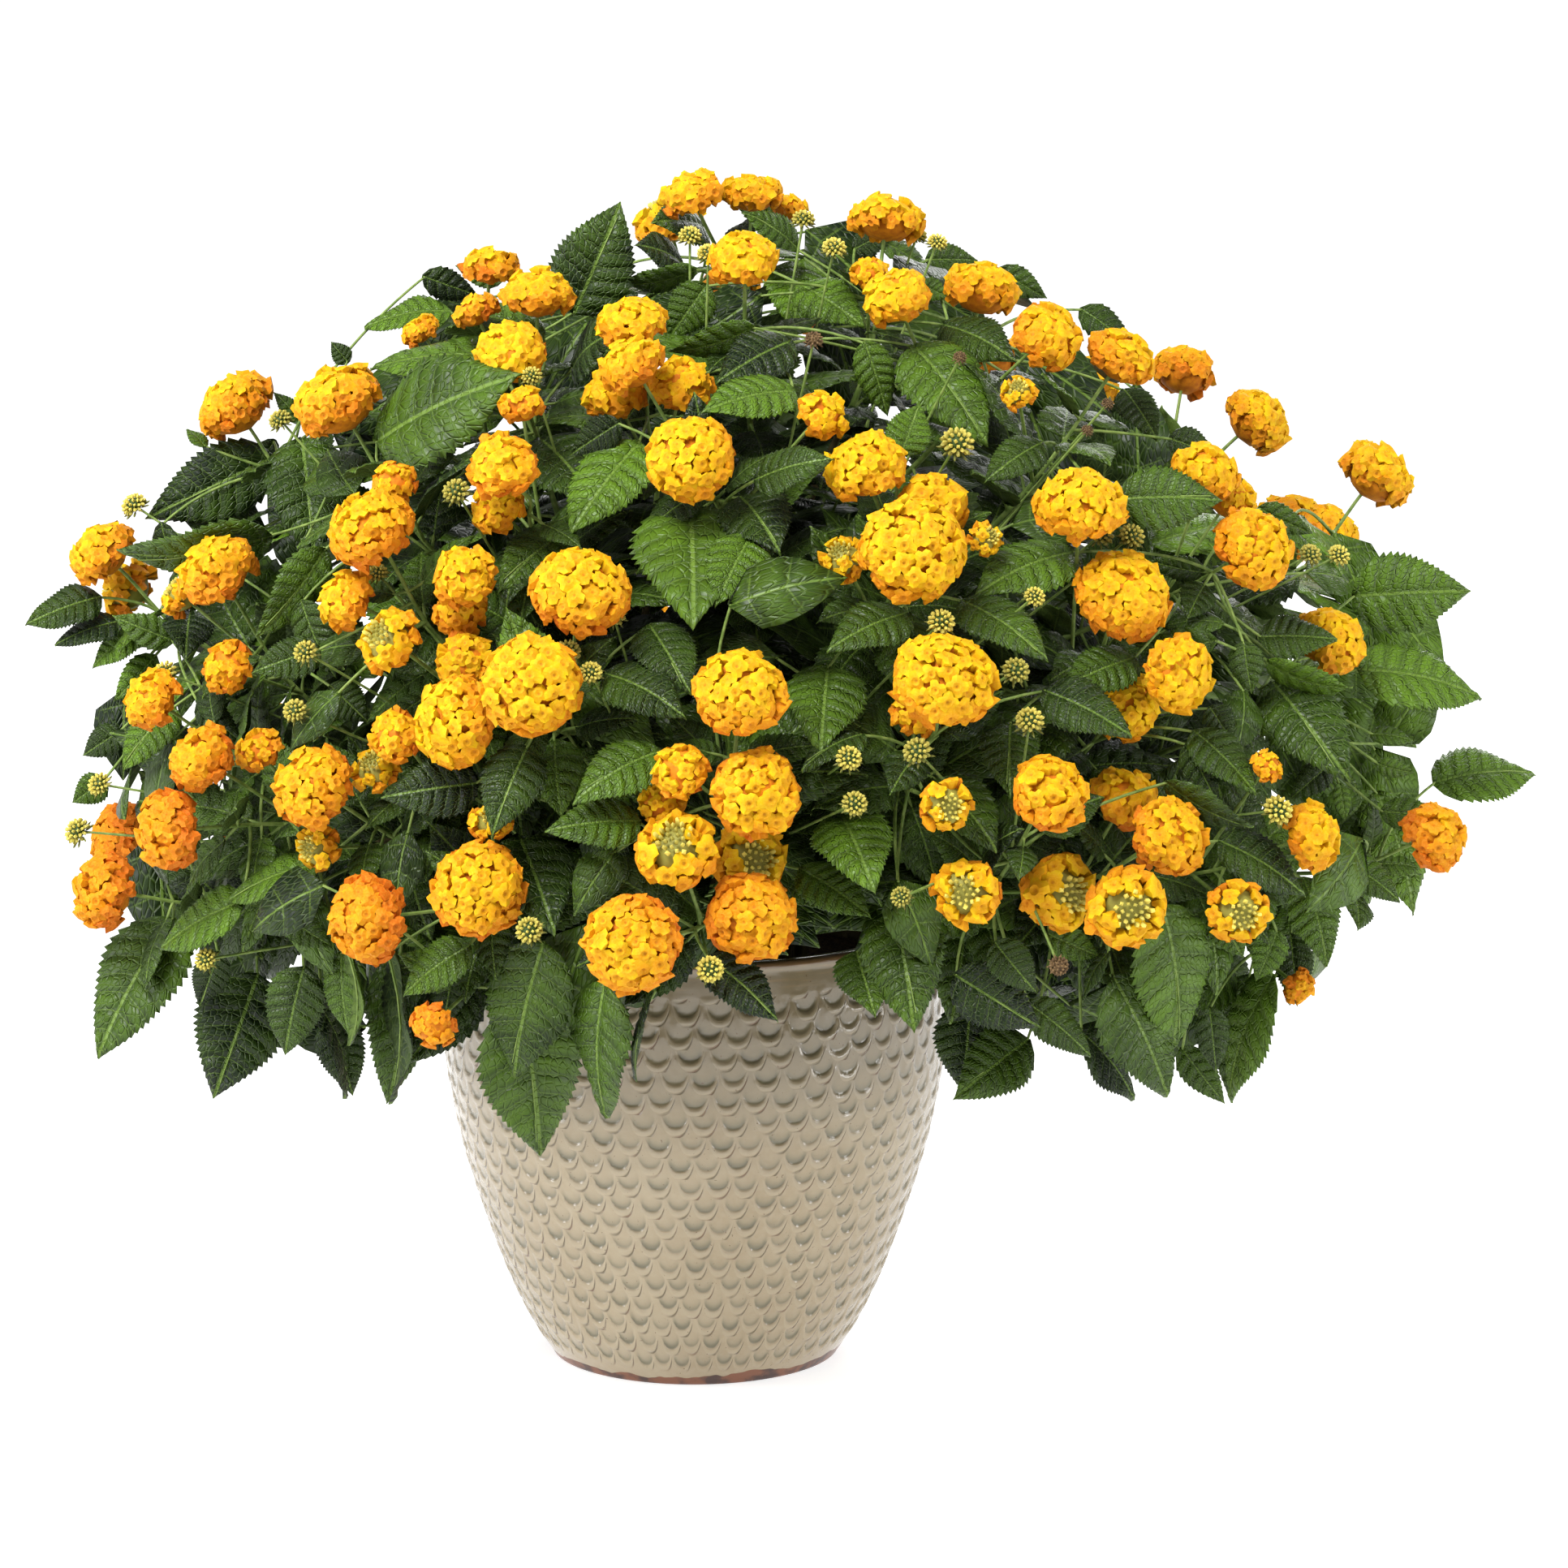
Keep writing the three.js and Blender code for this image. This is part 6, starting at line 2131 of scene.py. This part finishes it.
class WoodMaker:
    """Makes the round wood of one stem from curves that taper."""

    def __init__(self, name: str, materials: list[bpy.types.Material]) -> None:
        """Starts the curves, with the materials that their slots stand for.

        Args:
            name: name of the object.
            materials: its materials, in the order of the slots.
        """
        self.name = name
        self.curve = bpy.data.curves.new(name, "CURVE")
        for material in materials:
            self.curve.materials.append(material)
        self.curve.dimensions = "3D"
        self.curve.bevel_depth = METRE
        self.curve.bevel_resolution = 1
        self.curve.use_fill_caps = True
        self.places: list[np.ndarray] = []

    def add(self, places: np.ndarray, radii: np.ndarray, slot: int, leafy: bool = False) -> None:
        """Adds one stem.

        Args:
            places: its middle line.
            radii: its radius at each of the places.
            slot: its material.
            leafy: whether other wood may grow from it.
        """
        line = self.curve.splines.new("POLY")
        line.points.add(len(places) - 1)
        flat = np.concatenate((places * METRE, np.ones((len(places), 1))), axis=1)
        line.points.foreach_set("co", flat.ravel())
        line.points.foreach_set("radius", np.asarray(radii, float))
        line.material_index = slot
        line.use_smooth = True
        if leafy:
            self.places.append(places)

    def nearest(self, place: np.ndarray) -> np.ndarray:
        """The nearest place in the middle of the wood laid so far.

        Args:
            place: the place to start from.

        Returns:
            The place in the wood.
        """
        if len(self.places) > 1:
            self.places = [np.concatenate(self.places)]
        every = self.places[0]
        return every[int(np.argmin(np.linalg.norm(every - place, axis=1)))]

    def make(self) -> bpy.types.Object:
        """Makes the mesh object.

        Returns:
            The object.
        """
        holder = add_object(self.name + "_curve", self.curve)
        graph = bpy.context.evaluated_depsgraph_get()
        mesh = bpy.data.meshes.new_from_object(holder.evaluated_get(graph))
        bpy.data.objects.remove(holder)
        mesh.name = self.name
        LOG.info("%s: %d faces", self.name, len(mesh.polygons))
        return add_object(self.name, mesh)


def along_path(points: list[np.ndarray], pitch: float) -> np.ndarray:
    """Evenly spaced places on a smooth curve through some points."""
    path = SmoothPath(points)
    return np.array(path.spaced(max(2, round(path.length / pitch))))


def tapered(count: int, first: float, last: float) -> np.ndarray:
    """Radii that run evenly from one to another."""
    return np.linspace(first, last, count)


@dataclass(frozen=True)
class PotSizes:
    """Sizes of the pot, whose belly is given as radius and height."""

    height: float = 250
    wall: float = 9
    floor: float = 12
    clay_ring: float = 7
    band: float = 15
    depth: float = 1.9
    upper_depth: float = 2.7
    raised: float = 0.3
    columns: int = 8
    step: float = 1.7
    belly: tuple[tuple[float, float], ...] = (
        (80, 0), (90.7, 16.4), (100.2, 35), (108.2, 54), (121.4, 91.4), (129.8, 119.5), (135.9, 147.6),
        (139.5, 170), (140, 190), (139, 210), (136.6, 228), (134, 250),
    )

    def radius(self, height: np.ndarray) -> np.ndarray:
        """Radius of the belly at a height."""
        line = np.array([np.array((radius, 0, level), float) for radius, level in self.belly])
        path = SmoothPath(list(line)).places
        return np.interp(height, path[:, 2], path[:, 0])


def turned_form(profile: list[tuple[float, float]], steps: int) -> bmesh.types.BMesh:
    """A closed form turned round the upright axis.

    Args:
        profile: radius and height from the axis below, round the outside, and back to the axis.
        steps: how many steps it has round the axis.

    Returns:
        The form, in the units of the profile.
    """
    form = bmesh.new()
    bmesh.ops.create_grid(form, x_segments=steps, y_segments=len(profile) - 1, size=1)
    seam = []
    for vertex in form.verts:
        turn = (vertex.co.x + 1) * math.pi
        row = round((vertex.co.y + 1) / 2 * (len(profile) - 1))
        if abs(vertex.co.x) > 0.9999 or row in (0, len(profile) - 1):
            seam.append(vertex)
        radius, level = profile[row]
        vertex.co = (radius * math.cos(turn), radius * math.sin(turn), level)
    bmesh.ops.remove_doubles(form, verts=seam, dist=1e-4)
    bmesh.ops.recalc_face_normals(form, faces=form.faces[:])
    return form


class PotMaker:
    """Turns the pot and presses the rows of scoops into it."""

    SIZES = PotSizes()

    def profile(self) -> list[tuple[float, float]]:
        """Radius and height from the middle of the foot, up the belly, over the lip and down inside.

        Returns:
            Pairs of radius and height.
        """
        size = self.SIZES
        rise = np.arange(2.2, size.height - 5, size.step)
        belly = [(float(radius), float(level)) for radius, level in zip(size.radius(rise), rise)]
        top = float(size.radius(np.array(size.height)))
        lip = [
            (top + 0.9, size.height - 5), (top + 1.6, size.height - 4), (top + 1.9, size.height - 3),
            (top + 1.6, size.height - 1.6), (top + 0.6, size.height - 0.6), (top - 1.2, size.height - 0.1),
            (top - 4.0, size.height), (top - 6.6, size.height - 0.5), (top - 8.2, size.height - 2),
            (top - size.wall, size.height - 5),
        ]
        inside = [
            (float(size.radius(np.array(level))) - size.wall, level)
            for level in (240.0, 232.0, 224.0, 216.0, 190.0, 150.0, 110.0, 70.0, 35.0, 14.0)
        ]
        foot = [(0.0, 0.0), (40.0, 0.0), (74.0, 0.0), (78.5, 0.0), (80.6, 0.7)]
        return foot + belly + lip + inside + [(75.0, size.floor), (40.0, size.floor), (0.0, size.floor)]

    def press(self, places: np.ndarray) -> np.ndarray:
        """How far the scoops press each place of the belly in, below zero where they push it out.

        Args:
            places: places on the belly, one a row.

        Returns:
            One depth for each place.
        """
        size = self.SIZES
        turn = np.arctan2(places[:, 1], places[:, 0])
        recess, band, _, upper = SCOOPS.fields(ArrayKit, turn, places[:, 2])
        return recess * (size.depth + (size.upper_depth - size.depth) * upper) - band * size.raised

    def make(self, material: bpy.types.Material) -> bpy.types.Object:
        """Makes the pot's object.

        Args:
            material: the glaze.

        Returns:
            The object.
        """
        size = self.SIZES
        form = turned_form(self.profile(), SCOOPS.around * size.columns)
        mesh = to_mesh(form, "pot_glazed")
        places = np.empty(len(mesh.vertices) * 3)
        mesh.vertices.foreach_get("co", places)
        places = places.reshape(-1, 3)
        around = np.hypot(places[:, 0], places[:, 1])
        outer = (around > size.radius(places[:, 2]) - 4) & (places[:, 2] > size.clay_ring)
        outer &= places[:, 2] < size.height - size.band
        inward = np.where(outer, self.press(places) / np.maximum(around, 1), 0.0)
        places[:, :2] *= (1 - inward)[:, None]
        mesh.vertices.foreach_set("co", (places * METRE).ravel())
        mesh.materials.append(material)
        mesh.shade_smooth()
        mesh.update()
        LOG.info("pot_glazed: %d faces", len(mesh.polygons))
        return add_object("pot_glazed", mesh)


class SoilMaker:
    """Heaps the crumbly mix inside the pot."""

    def make(self, growth: Growth, material: bpy.types.Material) -> bpy.types.Object:
        """Makes the soil's object, sunk a little round every stem.

        Args:
            growth: the plant, whose stems stand in the soil.
            material: the look of the soil.

        Returns:
            The object.
        """
        pot = PotMaker.SIZES
        wall = [12.6, 40, 80, 130, 190, 210, 215]
        profile = [(0.0, 12.6), (40.0, 12.6)]
        profile += [(float(pot.radius(np.array(float(level)))) - pot.wall - 0.6, level) for level in wall]
        rim = profile[-1][0]
        profile += [(rim * (1 - step / 26), 215 + 12 * (step / 26)) for step in range(1, 27)]
        form = turned_form(profile, 120)
        feet = [stem.foot for stem in growth.stems]
        for vertex in form.verts:
            if vertex.co.z > 215.2:
                crumb = noise.noise(vertex.co * 0.16) * 2.6 + noise.noise(vertex.co * 0.5) * 1.3
                near = min(math.hypot(vertex.co.x - foot[0], vertex.co.y - foot[1]) for foot in feet)
                vertex.co.z += crumb - 4 * math.exp(-((near / 8) ** 2))
        bmesh.ops.scale(form, vec=(METRE,) * 3, verts=form.verts[:])
        mesh = to_mesh(form, "soil_mix")
        mesh.materials.append(material)
        mesh.shade_smooth()
        return add_object("soil_mix", mesh)


# ------------------------------------------------------------------ the plant


@dataclass
class Palette:
    """Every material of the plant and its pot."""

    def __post_init__(self) -> None:
        """Builds the materials."""
        self.glaze = GlazeFinish().build()
        self.soil = PlainFinish("soil", (38, 28, 20), (74, 56, 40), 0.95, 260, 0.002).build()
        self.bark = PlainFinish("bark", (74, 66, 40), (108, 98, 60), 0.8, 260, 0.0006, (1, 1, 0.3)).build()
        self.green_wood = PlainFinish("green_wood", (92, 116, 48), (124, 144, 72), 0.6, 200).build()
        self.leaf_top = LeafFinish(
            "leaf_top", (13, 28, 8), (86, 118, 26), (112, 140, 56), 0.4, 0.6, 0.8
        ).build()
        self.leaf_under = LeafFinish(
            "leaf_under", (28, 44, 16), (92, 116, 42), (112, 132, 62), 0.6, 0.5, 0.4
        ).build()
        self.petal = PetalFinish().build()
        self.bud = BudFinish().build()
        self.middle = PlainFinish("head_middle", (186, 104, 8), (210, 128, 10), 0.8, 300).build()
        self.spent = PlainFinish("spent", (82, 62, 42), (122, 98, 64), 0.8, 500).build()


class Plant:
    """Makes the pieces of the growth, one set for each stem."""

    OWN_HEADS = 46

    def __init__(self, growth: Growth, palette: Palette) -> None:
        """Ranks the heads by size, because the largest are pieces of their own.

        Args:
            growth: the plant as it is set out.
            palette: its materials.
        """
        self.growth, self.palette = growth, palette
        self.maker = HeadMaker()
        self.blades = {cut: BladeMaker(cut) for cut in BladeCut}
        ranked = sorted(growth.heads, key=lambda head: (-head.radius, head.index))
        self.own = ranked[: self.OWN_HEADS]
        self.buds: dict[int, list[tuple[np.ndarray, float, np.ndarray, int, bool]]] = {}
        self.place_buds()

    def place_buds(self) -> None:
        """Sets the bud heads and spent heads of the front sheet, each hung from the nearest wood."""
        listed = [(entry, False) for entry in BUD_HEADS] + [(entry, True) for entry in SPENT_HEADS]
        for number, ((across, down, width), spent) in enumerate(listed):
            sight = SHEET.sight(across, down)
            distance = MOUND.sight_distance(SHEET, sight, 0.97)
            for _ in range(24):
                radius = width / 2 * distance / SHEET.focal
                centre = SHEET.along(sight, distance)
                space = np.linalg.norm(self.growth.centres - centre, axis=1) - self.growth.sizes - radius
                if (space > 0.5).all():
                    break
                distance += 5
            joints = self.growth.nearest_joints(centre, 4)
            fitting = [
                (joint, stem) for joint, stem in joints
                if self.growth.is_open_way(joint, centre, 1.0, None)
            ]
            joint, stem = (fitting or joints or [(self.growth.spots[0], 0)])[0]
            self.buds.setdefault(stem, []).append((centre, radius, joint, number, spent))

    def make_stem(self, stem: MainStem) -> list[bpy.types.Object]:
        """Makes the wood, leaves, joined heads and buds of one stem."""
        name = f"leafy_stem_{stem.number + 1:02d}"
        return [self.make_wood(stem, name), self.make_leaves(stem, name), *self.make_heads(stem, name)]

    def make_wood(self, stem: MainStem, name: str) -> bpy.types.Object:
        """Makes the stem, its branches, the stalks of its heads and those of its leaves.

        Args:
            stem: the stem.
            name: name that its pieces start with.

        Returns:
            The object.
        """
        wood = WoodMaker(name + "_wood", [self.palette.bark, self.palette.green_wood])
        main = along_path(stem.route, 8)
        wood.add(main, tapered(len(main), 4.4, 3.0), 0, leafy=True)
        for shoot in stem.branches:
            route = [wood.nearest(shoot.route[0]), *shoot.route[1:], *shoot.leader.route[1:]]
            places = along_path(route, 7)
            share = np.linspace(0, 1, len(places))
            radii = np.interp(share, (0, 0.55, 0.75, 1), (2.3, 1.9, 1.2, 1.0))
            split = max(2, int(len(places) * 0.5))
            wood.add(places[: split + 1], radii[: split + 1], 0, leafy=True)
            wood.add(places[split:], radii[split:], 1, leafy=True)
            wood.add(*self.inward(shoot.leader), 1)
        for stalk in stem.stalks:
            places = along_path([wood.nearest(stalk.route[0]), *stalk.route[1:]], 8)
            wood.add(places, tapered(len(places), 1.15, 0.9), 1)
            wood.add(*self.inward(stalk), 1)
        for leaf in self.growth.leaves:
            if leaf.stem != stem.number:
                continue
            joint = wood.nearest(leaf.joint)
            axis = unit(leaf.tip - leaf.foot)
            span = float(np.linalg.norm(leaf.foot - joint))
            bow = (joint + leaf.foot) / 2 - axis * 0.16 * span + leaf.normal * 0.06 * span
            share = np.linspace(0, 1, max(3, round(span / 9) + 1))[:, None]
            end = leaf.foot + axis * 1.5 + leaf.normal * 0.3
            places = joint * (1 - share) ** 2 + 2 * bow * share * (1 - share) + end * share**2
            wood.add(places, tapered(len(places), 1.0, 0.75), 1)
            if leaf.cut is BladeCut.FINE:
                share = np.array((0.0, 0.12, 0.3, 0.5, 0.7, 0.88))
                lift = leaf.BOW * leaf.length * 4 * share * (1 - share)
                lift = lift - 0.055 * leaf.length * share**3 - 0.1 - 0.03 * leaf.width * (1 - share)
                rib = leaf.foot + np.outer(share * leaf.length, axis) + np.outer(lift, leaf.normal)
                wood.add(rib, tapered(len(rib), 0.75, 0.25), 1)
        for centre, radius, joint, _, _ in self.buds.get(stem.number, []):
            start = wood.nearest(joint)
            lean = unit(centre - start + UP * 12)
            places = along_path([start, (start + centre) / 2 + UP * 2, centre - lean * 0.3 * radius], 8)
            wood.add(places, tapered(len(places), 0.9, 0.7), 1)
        return wood.make()

    @staticmethod
    def inward(stalk: Stalk) -> tuple[np.ndarray, np.ndarray]:
        """The last stretch of a stalk, from its end into the middle of its head."""
        start = stalk.route[-1]
        return np.array((start - stalk.head.facing, stalk.head.centre)), np.array((1.0, 0.6))

    def make_leaves(self, stem: MainStem, name: str) -> bpy.types.Object:
        """Makes every blade of the stem.

        Args:
            stem: the stem.
            name: name that its pieces start with.

        Returns:
            The object.
        """
        piece = Piece(name + "_leaves", [self.palette.leaf_top, self.palette.leaf_under])
        for number, leaf in enumerate(self.growth.leaves):
            if leaf.stem == stem.number:
                maker = self.blades[leaf.cut]
                places, chart = maker.shape(leaf, number)
                template = maker.template
                # Painted shade: leaves low on the plant get a darker tone. Leaves far to the right get a
                # lighter one.
                low = 1 - float(smoothstep(190.0, 360.0, leaf.foot[2]))
                outer = float(smoothstep(250.0, 420.0, leaf.tip[0]))
                tone = 0.04 + 1.05 * leaf.tone**1.8 * (1 - 0.35 * low) + 0.55 * outer
                piece.add(places, template.faces, template.slots, chart, tone=np.array(tone))
        return piece.make()

    def make_heads(self, stem: MainStem, name: str) -> list[bpy.types.Object]:
        """Makes the heads that are joined to the stem, and its bud heads.

        Args:
            stem: the stem.
            name: name that its pieces start with.

        Returns:
            The objects, none to two.
        """
        made = []
        stalks = [shoot.leader for shoot in stem.branches] + stem.stalks
        joined = [stalk.head for stalk in stalks if not any(stalk.head is head for head in self.own)]
        if joined:
            piece = Piece(name + "_blooms", [self.palette.petal, self.palette.bud, self.palette.middle])
            for head in joined:
                self.maker.add(piece, head)
            made.append(piece.make(sharp=50))
        if stem.number in self.buds:
            piece = Piece(name + "_buds", [self.palette.bud, self.palette.bud, self.palette.spent])
            for centre, radius, joint, number, spent in self.buds[stem.number]:
                self.add_bud_head(piece, centre, radius, joint, number, spent)
            made.append(piece.make(sharp=50))
        return made

    def add_bud_head(
        self, piece: Piece, centre: np.ndarray, radius: float, joint: np.ndarray, number: int, spent: bool
    ) -> None:
        """Adds a tight head of buds, or a spent brown one.

        Args:
            piece: the piece that it goes into.
            centre: middle of the head.
            radius: its radius.
            joint: where its stalk starts.
            number: number of its random draws.
            spent: whether it has withered.
        """
        facing = unit(unit(centre - joint) + UP * 0.8 + np.array((0, -0.6, 0)))
        head = Head(centre, radius, facing, Stage.OPEN, 600 + number)
        slot = 2 if spent else 1
        scatter(
            piece, self.maker.ball, centre[None], facing[None], np.array((1, 1, 0.8)) * 0.62 * radius,
            np.zeros(1), np.array((0.0,)), slot,
        )
        places, ways, share = self.maker.dome(head, 44, number)
        size = 0.15 * radius * (0.85 + 0.3 * share)
        sizes = np.stack((size, size, 1.3 * size), axis=1)
        places = centre + (places - centre) * 0.8
        tone = np.clip(0.5 + 0.45 * chance(number, 71) - 0.45 * share**2, 0, 1)
        scatter(piece, self.maker.bud, places, ways, sizes, share * 40, tone, slot)
        side = square_to(np.array((1, 0.3, 0.2)), facing)
        turns = np.arange(9) * 2.094 / 3 + number
        bracts = np.array([turned(side, facing, turn) for turn in turns])
        leans = bracts * 0.9 - facing * 0.3 * chance(number, 72)
        leans /= np.linalg.norm(leans, axis=1)[:, None]
        feet = centre - facing * 0.35 * radius + leans * 0.75 * radius
        scatter(
            piece, self.maker.bud, feet, leans, np.tile(np.array((0.09, 0.09, 0.42)) * radius, (9, 1)),
            turns, np.full(9, 0.15), slot,
        )

    def make_own_heads(self) -> list[bpy.types.Object]:
        """Makes the large heads, each its own piece.

        Returns:
            The objects, the largest head first.
        """
        made = []
        for order, head in enumerate(self.own):
            name = f"bloom_{order + 1:02d}"
            piece = Piece(name + "_florets", [self.palette.petal, self.palette.bud, self.palette.middle])
            self.maker.add(piece, head)
            made.append(piece.make(sharp=50))
        return made


# ------------------------------------------------------------------ camera, floor and light


@dataclass(frozen=True)
class Studio:
    """A pale floor and soft white light, seen from the front sheet's eye."""

    lens: float = 130.25
    sensor: float = 36
    clip_end: float = 200
    world: float = 0.37
    floor_shade: float = 0.5
    floor_glow: float = 0.74
    far_glow: float = 0.9
    glow_bounds: tuple[float, float] = (0.6, 3.0)
    floor_reach: float = 30

    def set_camera(self) -> None:
        """Puts the camera at the eye."""
        data = bpy.data.cameras.new("camera")
        data.lens, data.sensor_width = self.lens, self.sensor
        data.clip_end = self.clip_end
        made = add_object("camera", data)
        eye, aim = Vector(SHEET.eye) * METRE, Vector(SHEET.aim) * METRE
        made.location = eye
        made.rotation_euler = (aim - eye).to_track_quat("-Z", "Y").to_euler()
        bpy.context.scene.camera = made

    def set_floor(self) -> None:
        """Lays a large pale disc."""
        form = bmesh.new()
        bmesh.ops.create_circle(form, cap_ends=True, segments=96, radius=self.floor_reach)
        mesh = to_mesh(form, "floor")
        shade = Shading("floor", 0.8)
        shade.paint((self.floor_shade,) * 3 + (1.0,))
        shade.surface.inputs["Emission Color"].default_value = (1, 1, 1, 1)
        away = shade.add("ShaderNodeVectorMath", {0: shade.object}, operation="LENGTH").outputs["Value"]
        glow = shade.rise(away, *self.glow_bounds, (self.floor_glow, self.far_glow))
        shade.feed(shade.surface.inputs["Emission Strength"], glow)
        mesh.materials.append(shade.material)
        made = add_object("floor", mesh)
        made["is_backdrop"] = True

    def set_light(self) -> None:
        """Sets the white surroundings, a key light, two tall boxes at the sides and one box behind."""
        world = bpy.data.worlds.new("studio")
        world.use_nodes = True
        world.node_tree.nodes["Background"].inputs["Strength"].default_value = self.world
        world.node_tree.nodes["Background"].inputs["Color"].default_value = (1, 1, 1, 1)
        bpy.context.scene.world = world
        self.add_box("key", (-0.9, -1.5, 2.5), (1.3, 1.3), 116)
        self.add_box("left_box", (-1.9, -0.7, 0.8), (0.5, 1.6), 24)
        self.add_box("right_box", (1.9, -0.7, 0.8), (0.5, 1.6), 22)
        self.add_box("back_box", (0.7, 2.4, 1.5), (1.4, 1.4), 30)

    @staticmethod
    def add_box(
        name: str, place: tuple[float, float, float], size: tuple[float, float], power: float
    ) -> None:
        """Adds one rectangular light that looks at the plant.

        Args:
            name: name of the light.
            place: where it hangs, in metres.
            size: its width and height, in metres.
            power: its power, in watts.
        """
        data = bpy.data.lights.new(name, "AREA")
        data.shape, data.size, data.size_y, data.energy = "RECTANGLE", size[0], size[1], power
        made = add_object(name, data)
        made.location = place
        made.rotation_euler = (Vector((0, 0, 0.3)) - Vector(place)).to_track_quat("-Z", "Y").to_euler()


def main() -> None:
    """Builds the plant piece by piece, in the order that it grows."""
    logging.basicConfig(level=logging.INFO, format="%(name)s: %(message)s")
    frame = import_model()
    low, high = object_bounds()
    LOG.info("frame with %d nodes", len(frame["nodes"]))

    studio = Studio()
    studio.set_camera()
    growth = Growth()
    growth.grow()
    LOG.info("%d heads, %d large leaves", len(growth.heads), len(growth.leaves))
    for leaf in growth.leaves[growth.front_count:]:
        leaf.cut = BladeCut.PLAIN
    box_low = np.array(low[:]) / METRE + BOX_MARGIN
    box_high = np.array(high[:]) / METRE - BOX_MARGIN
    filling = Filling(growth, box_low, box_high)
    filling.fill()
    LOG.info("%d smaller leaves", len(filling.added))

    palette = Palette()
    pot = PotMaker().make(palette.glaze)
    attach(pot, "root")
    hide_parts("pot")
    soil = SoilMaker().make(growth, palette.soil)
    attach(soil, "root")
    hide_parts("soil")

    plant = Plant(growth, palette)
    for stem in growth.stems:
        for made in plant.make_stem(stem):
            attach(made, "root")
            "petals" if made.name.endswith("blooms") else "foliage"
            if made.name.endswith("_wood"):
                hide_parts(made.name.removesuffix("_wood"))
    for made in plant.make_own_heads():
        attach(made, "root")
        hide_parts(made.name.removesuffix("_florets"))

    studio.set_floor()
    studio.set_light()
    bpy.context.scene.view_settings.view_transform = "Standard"
    bpy.context.scene.cycles.max_bounces = LIGHT_BOUNCES
    low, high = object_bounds()


if __name__ == "__main__":
    main()
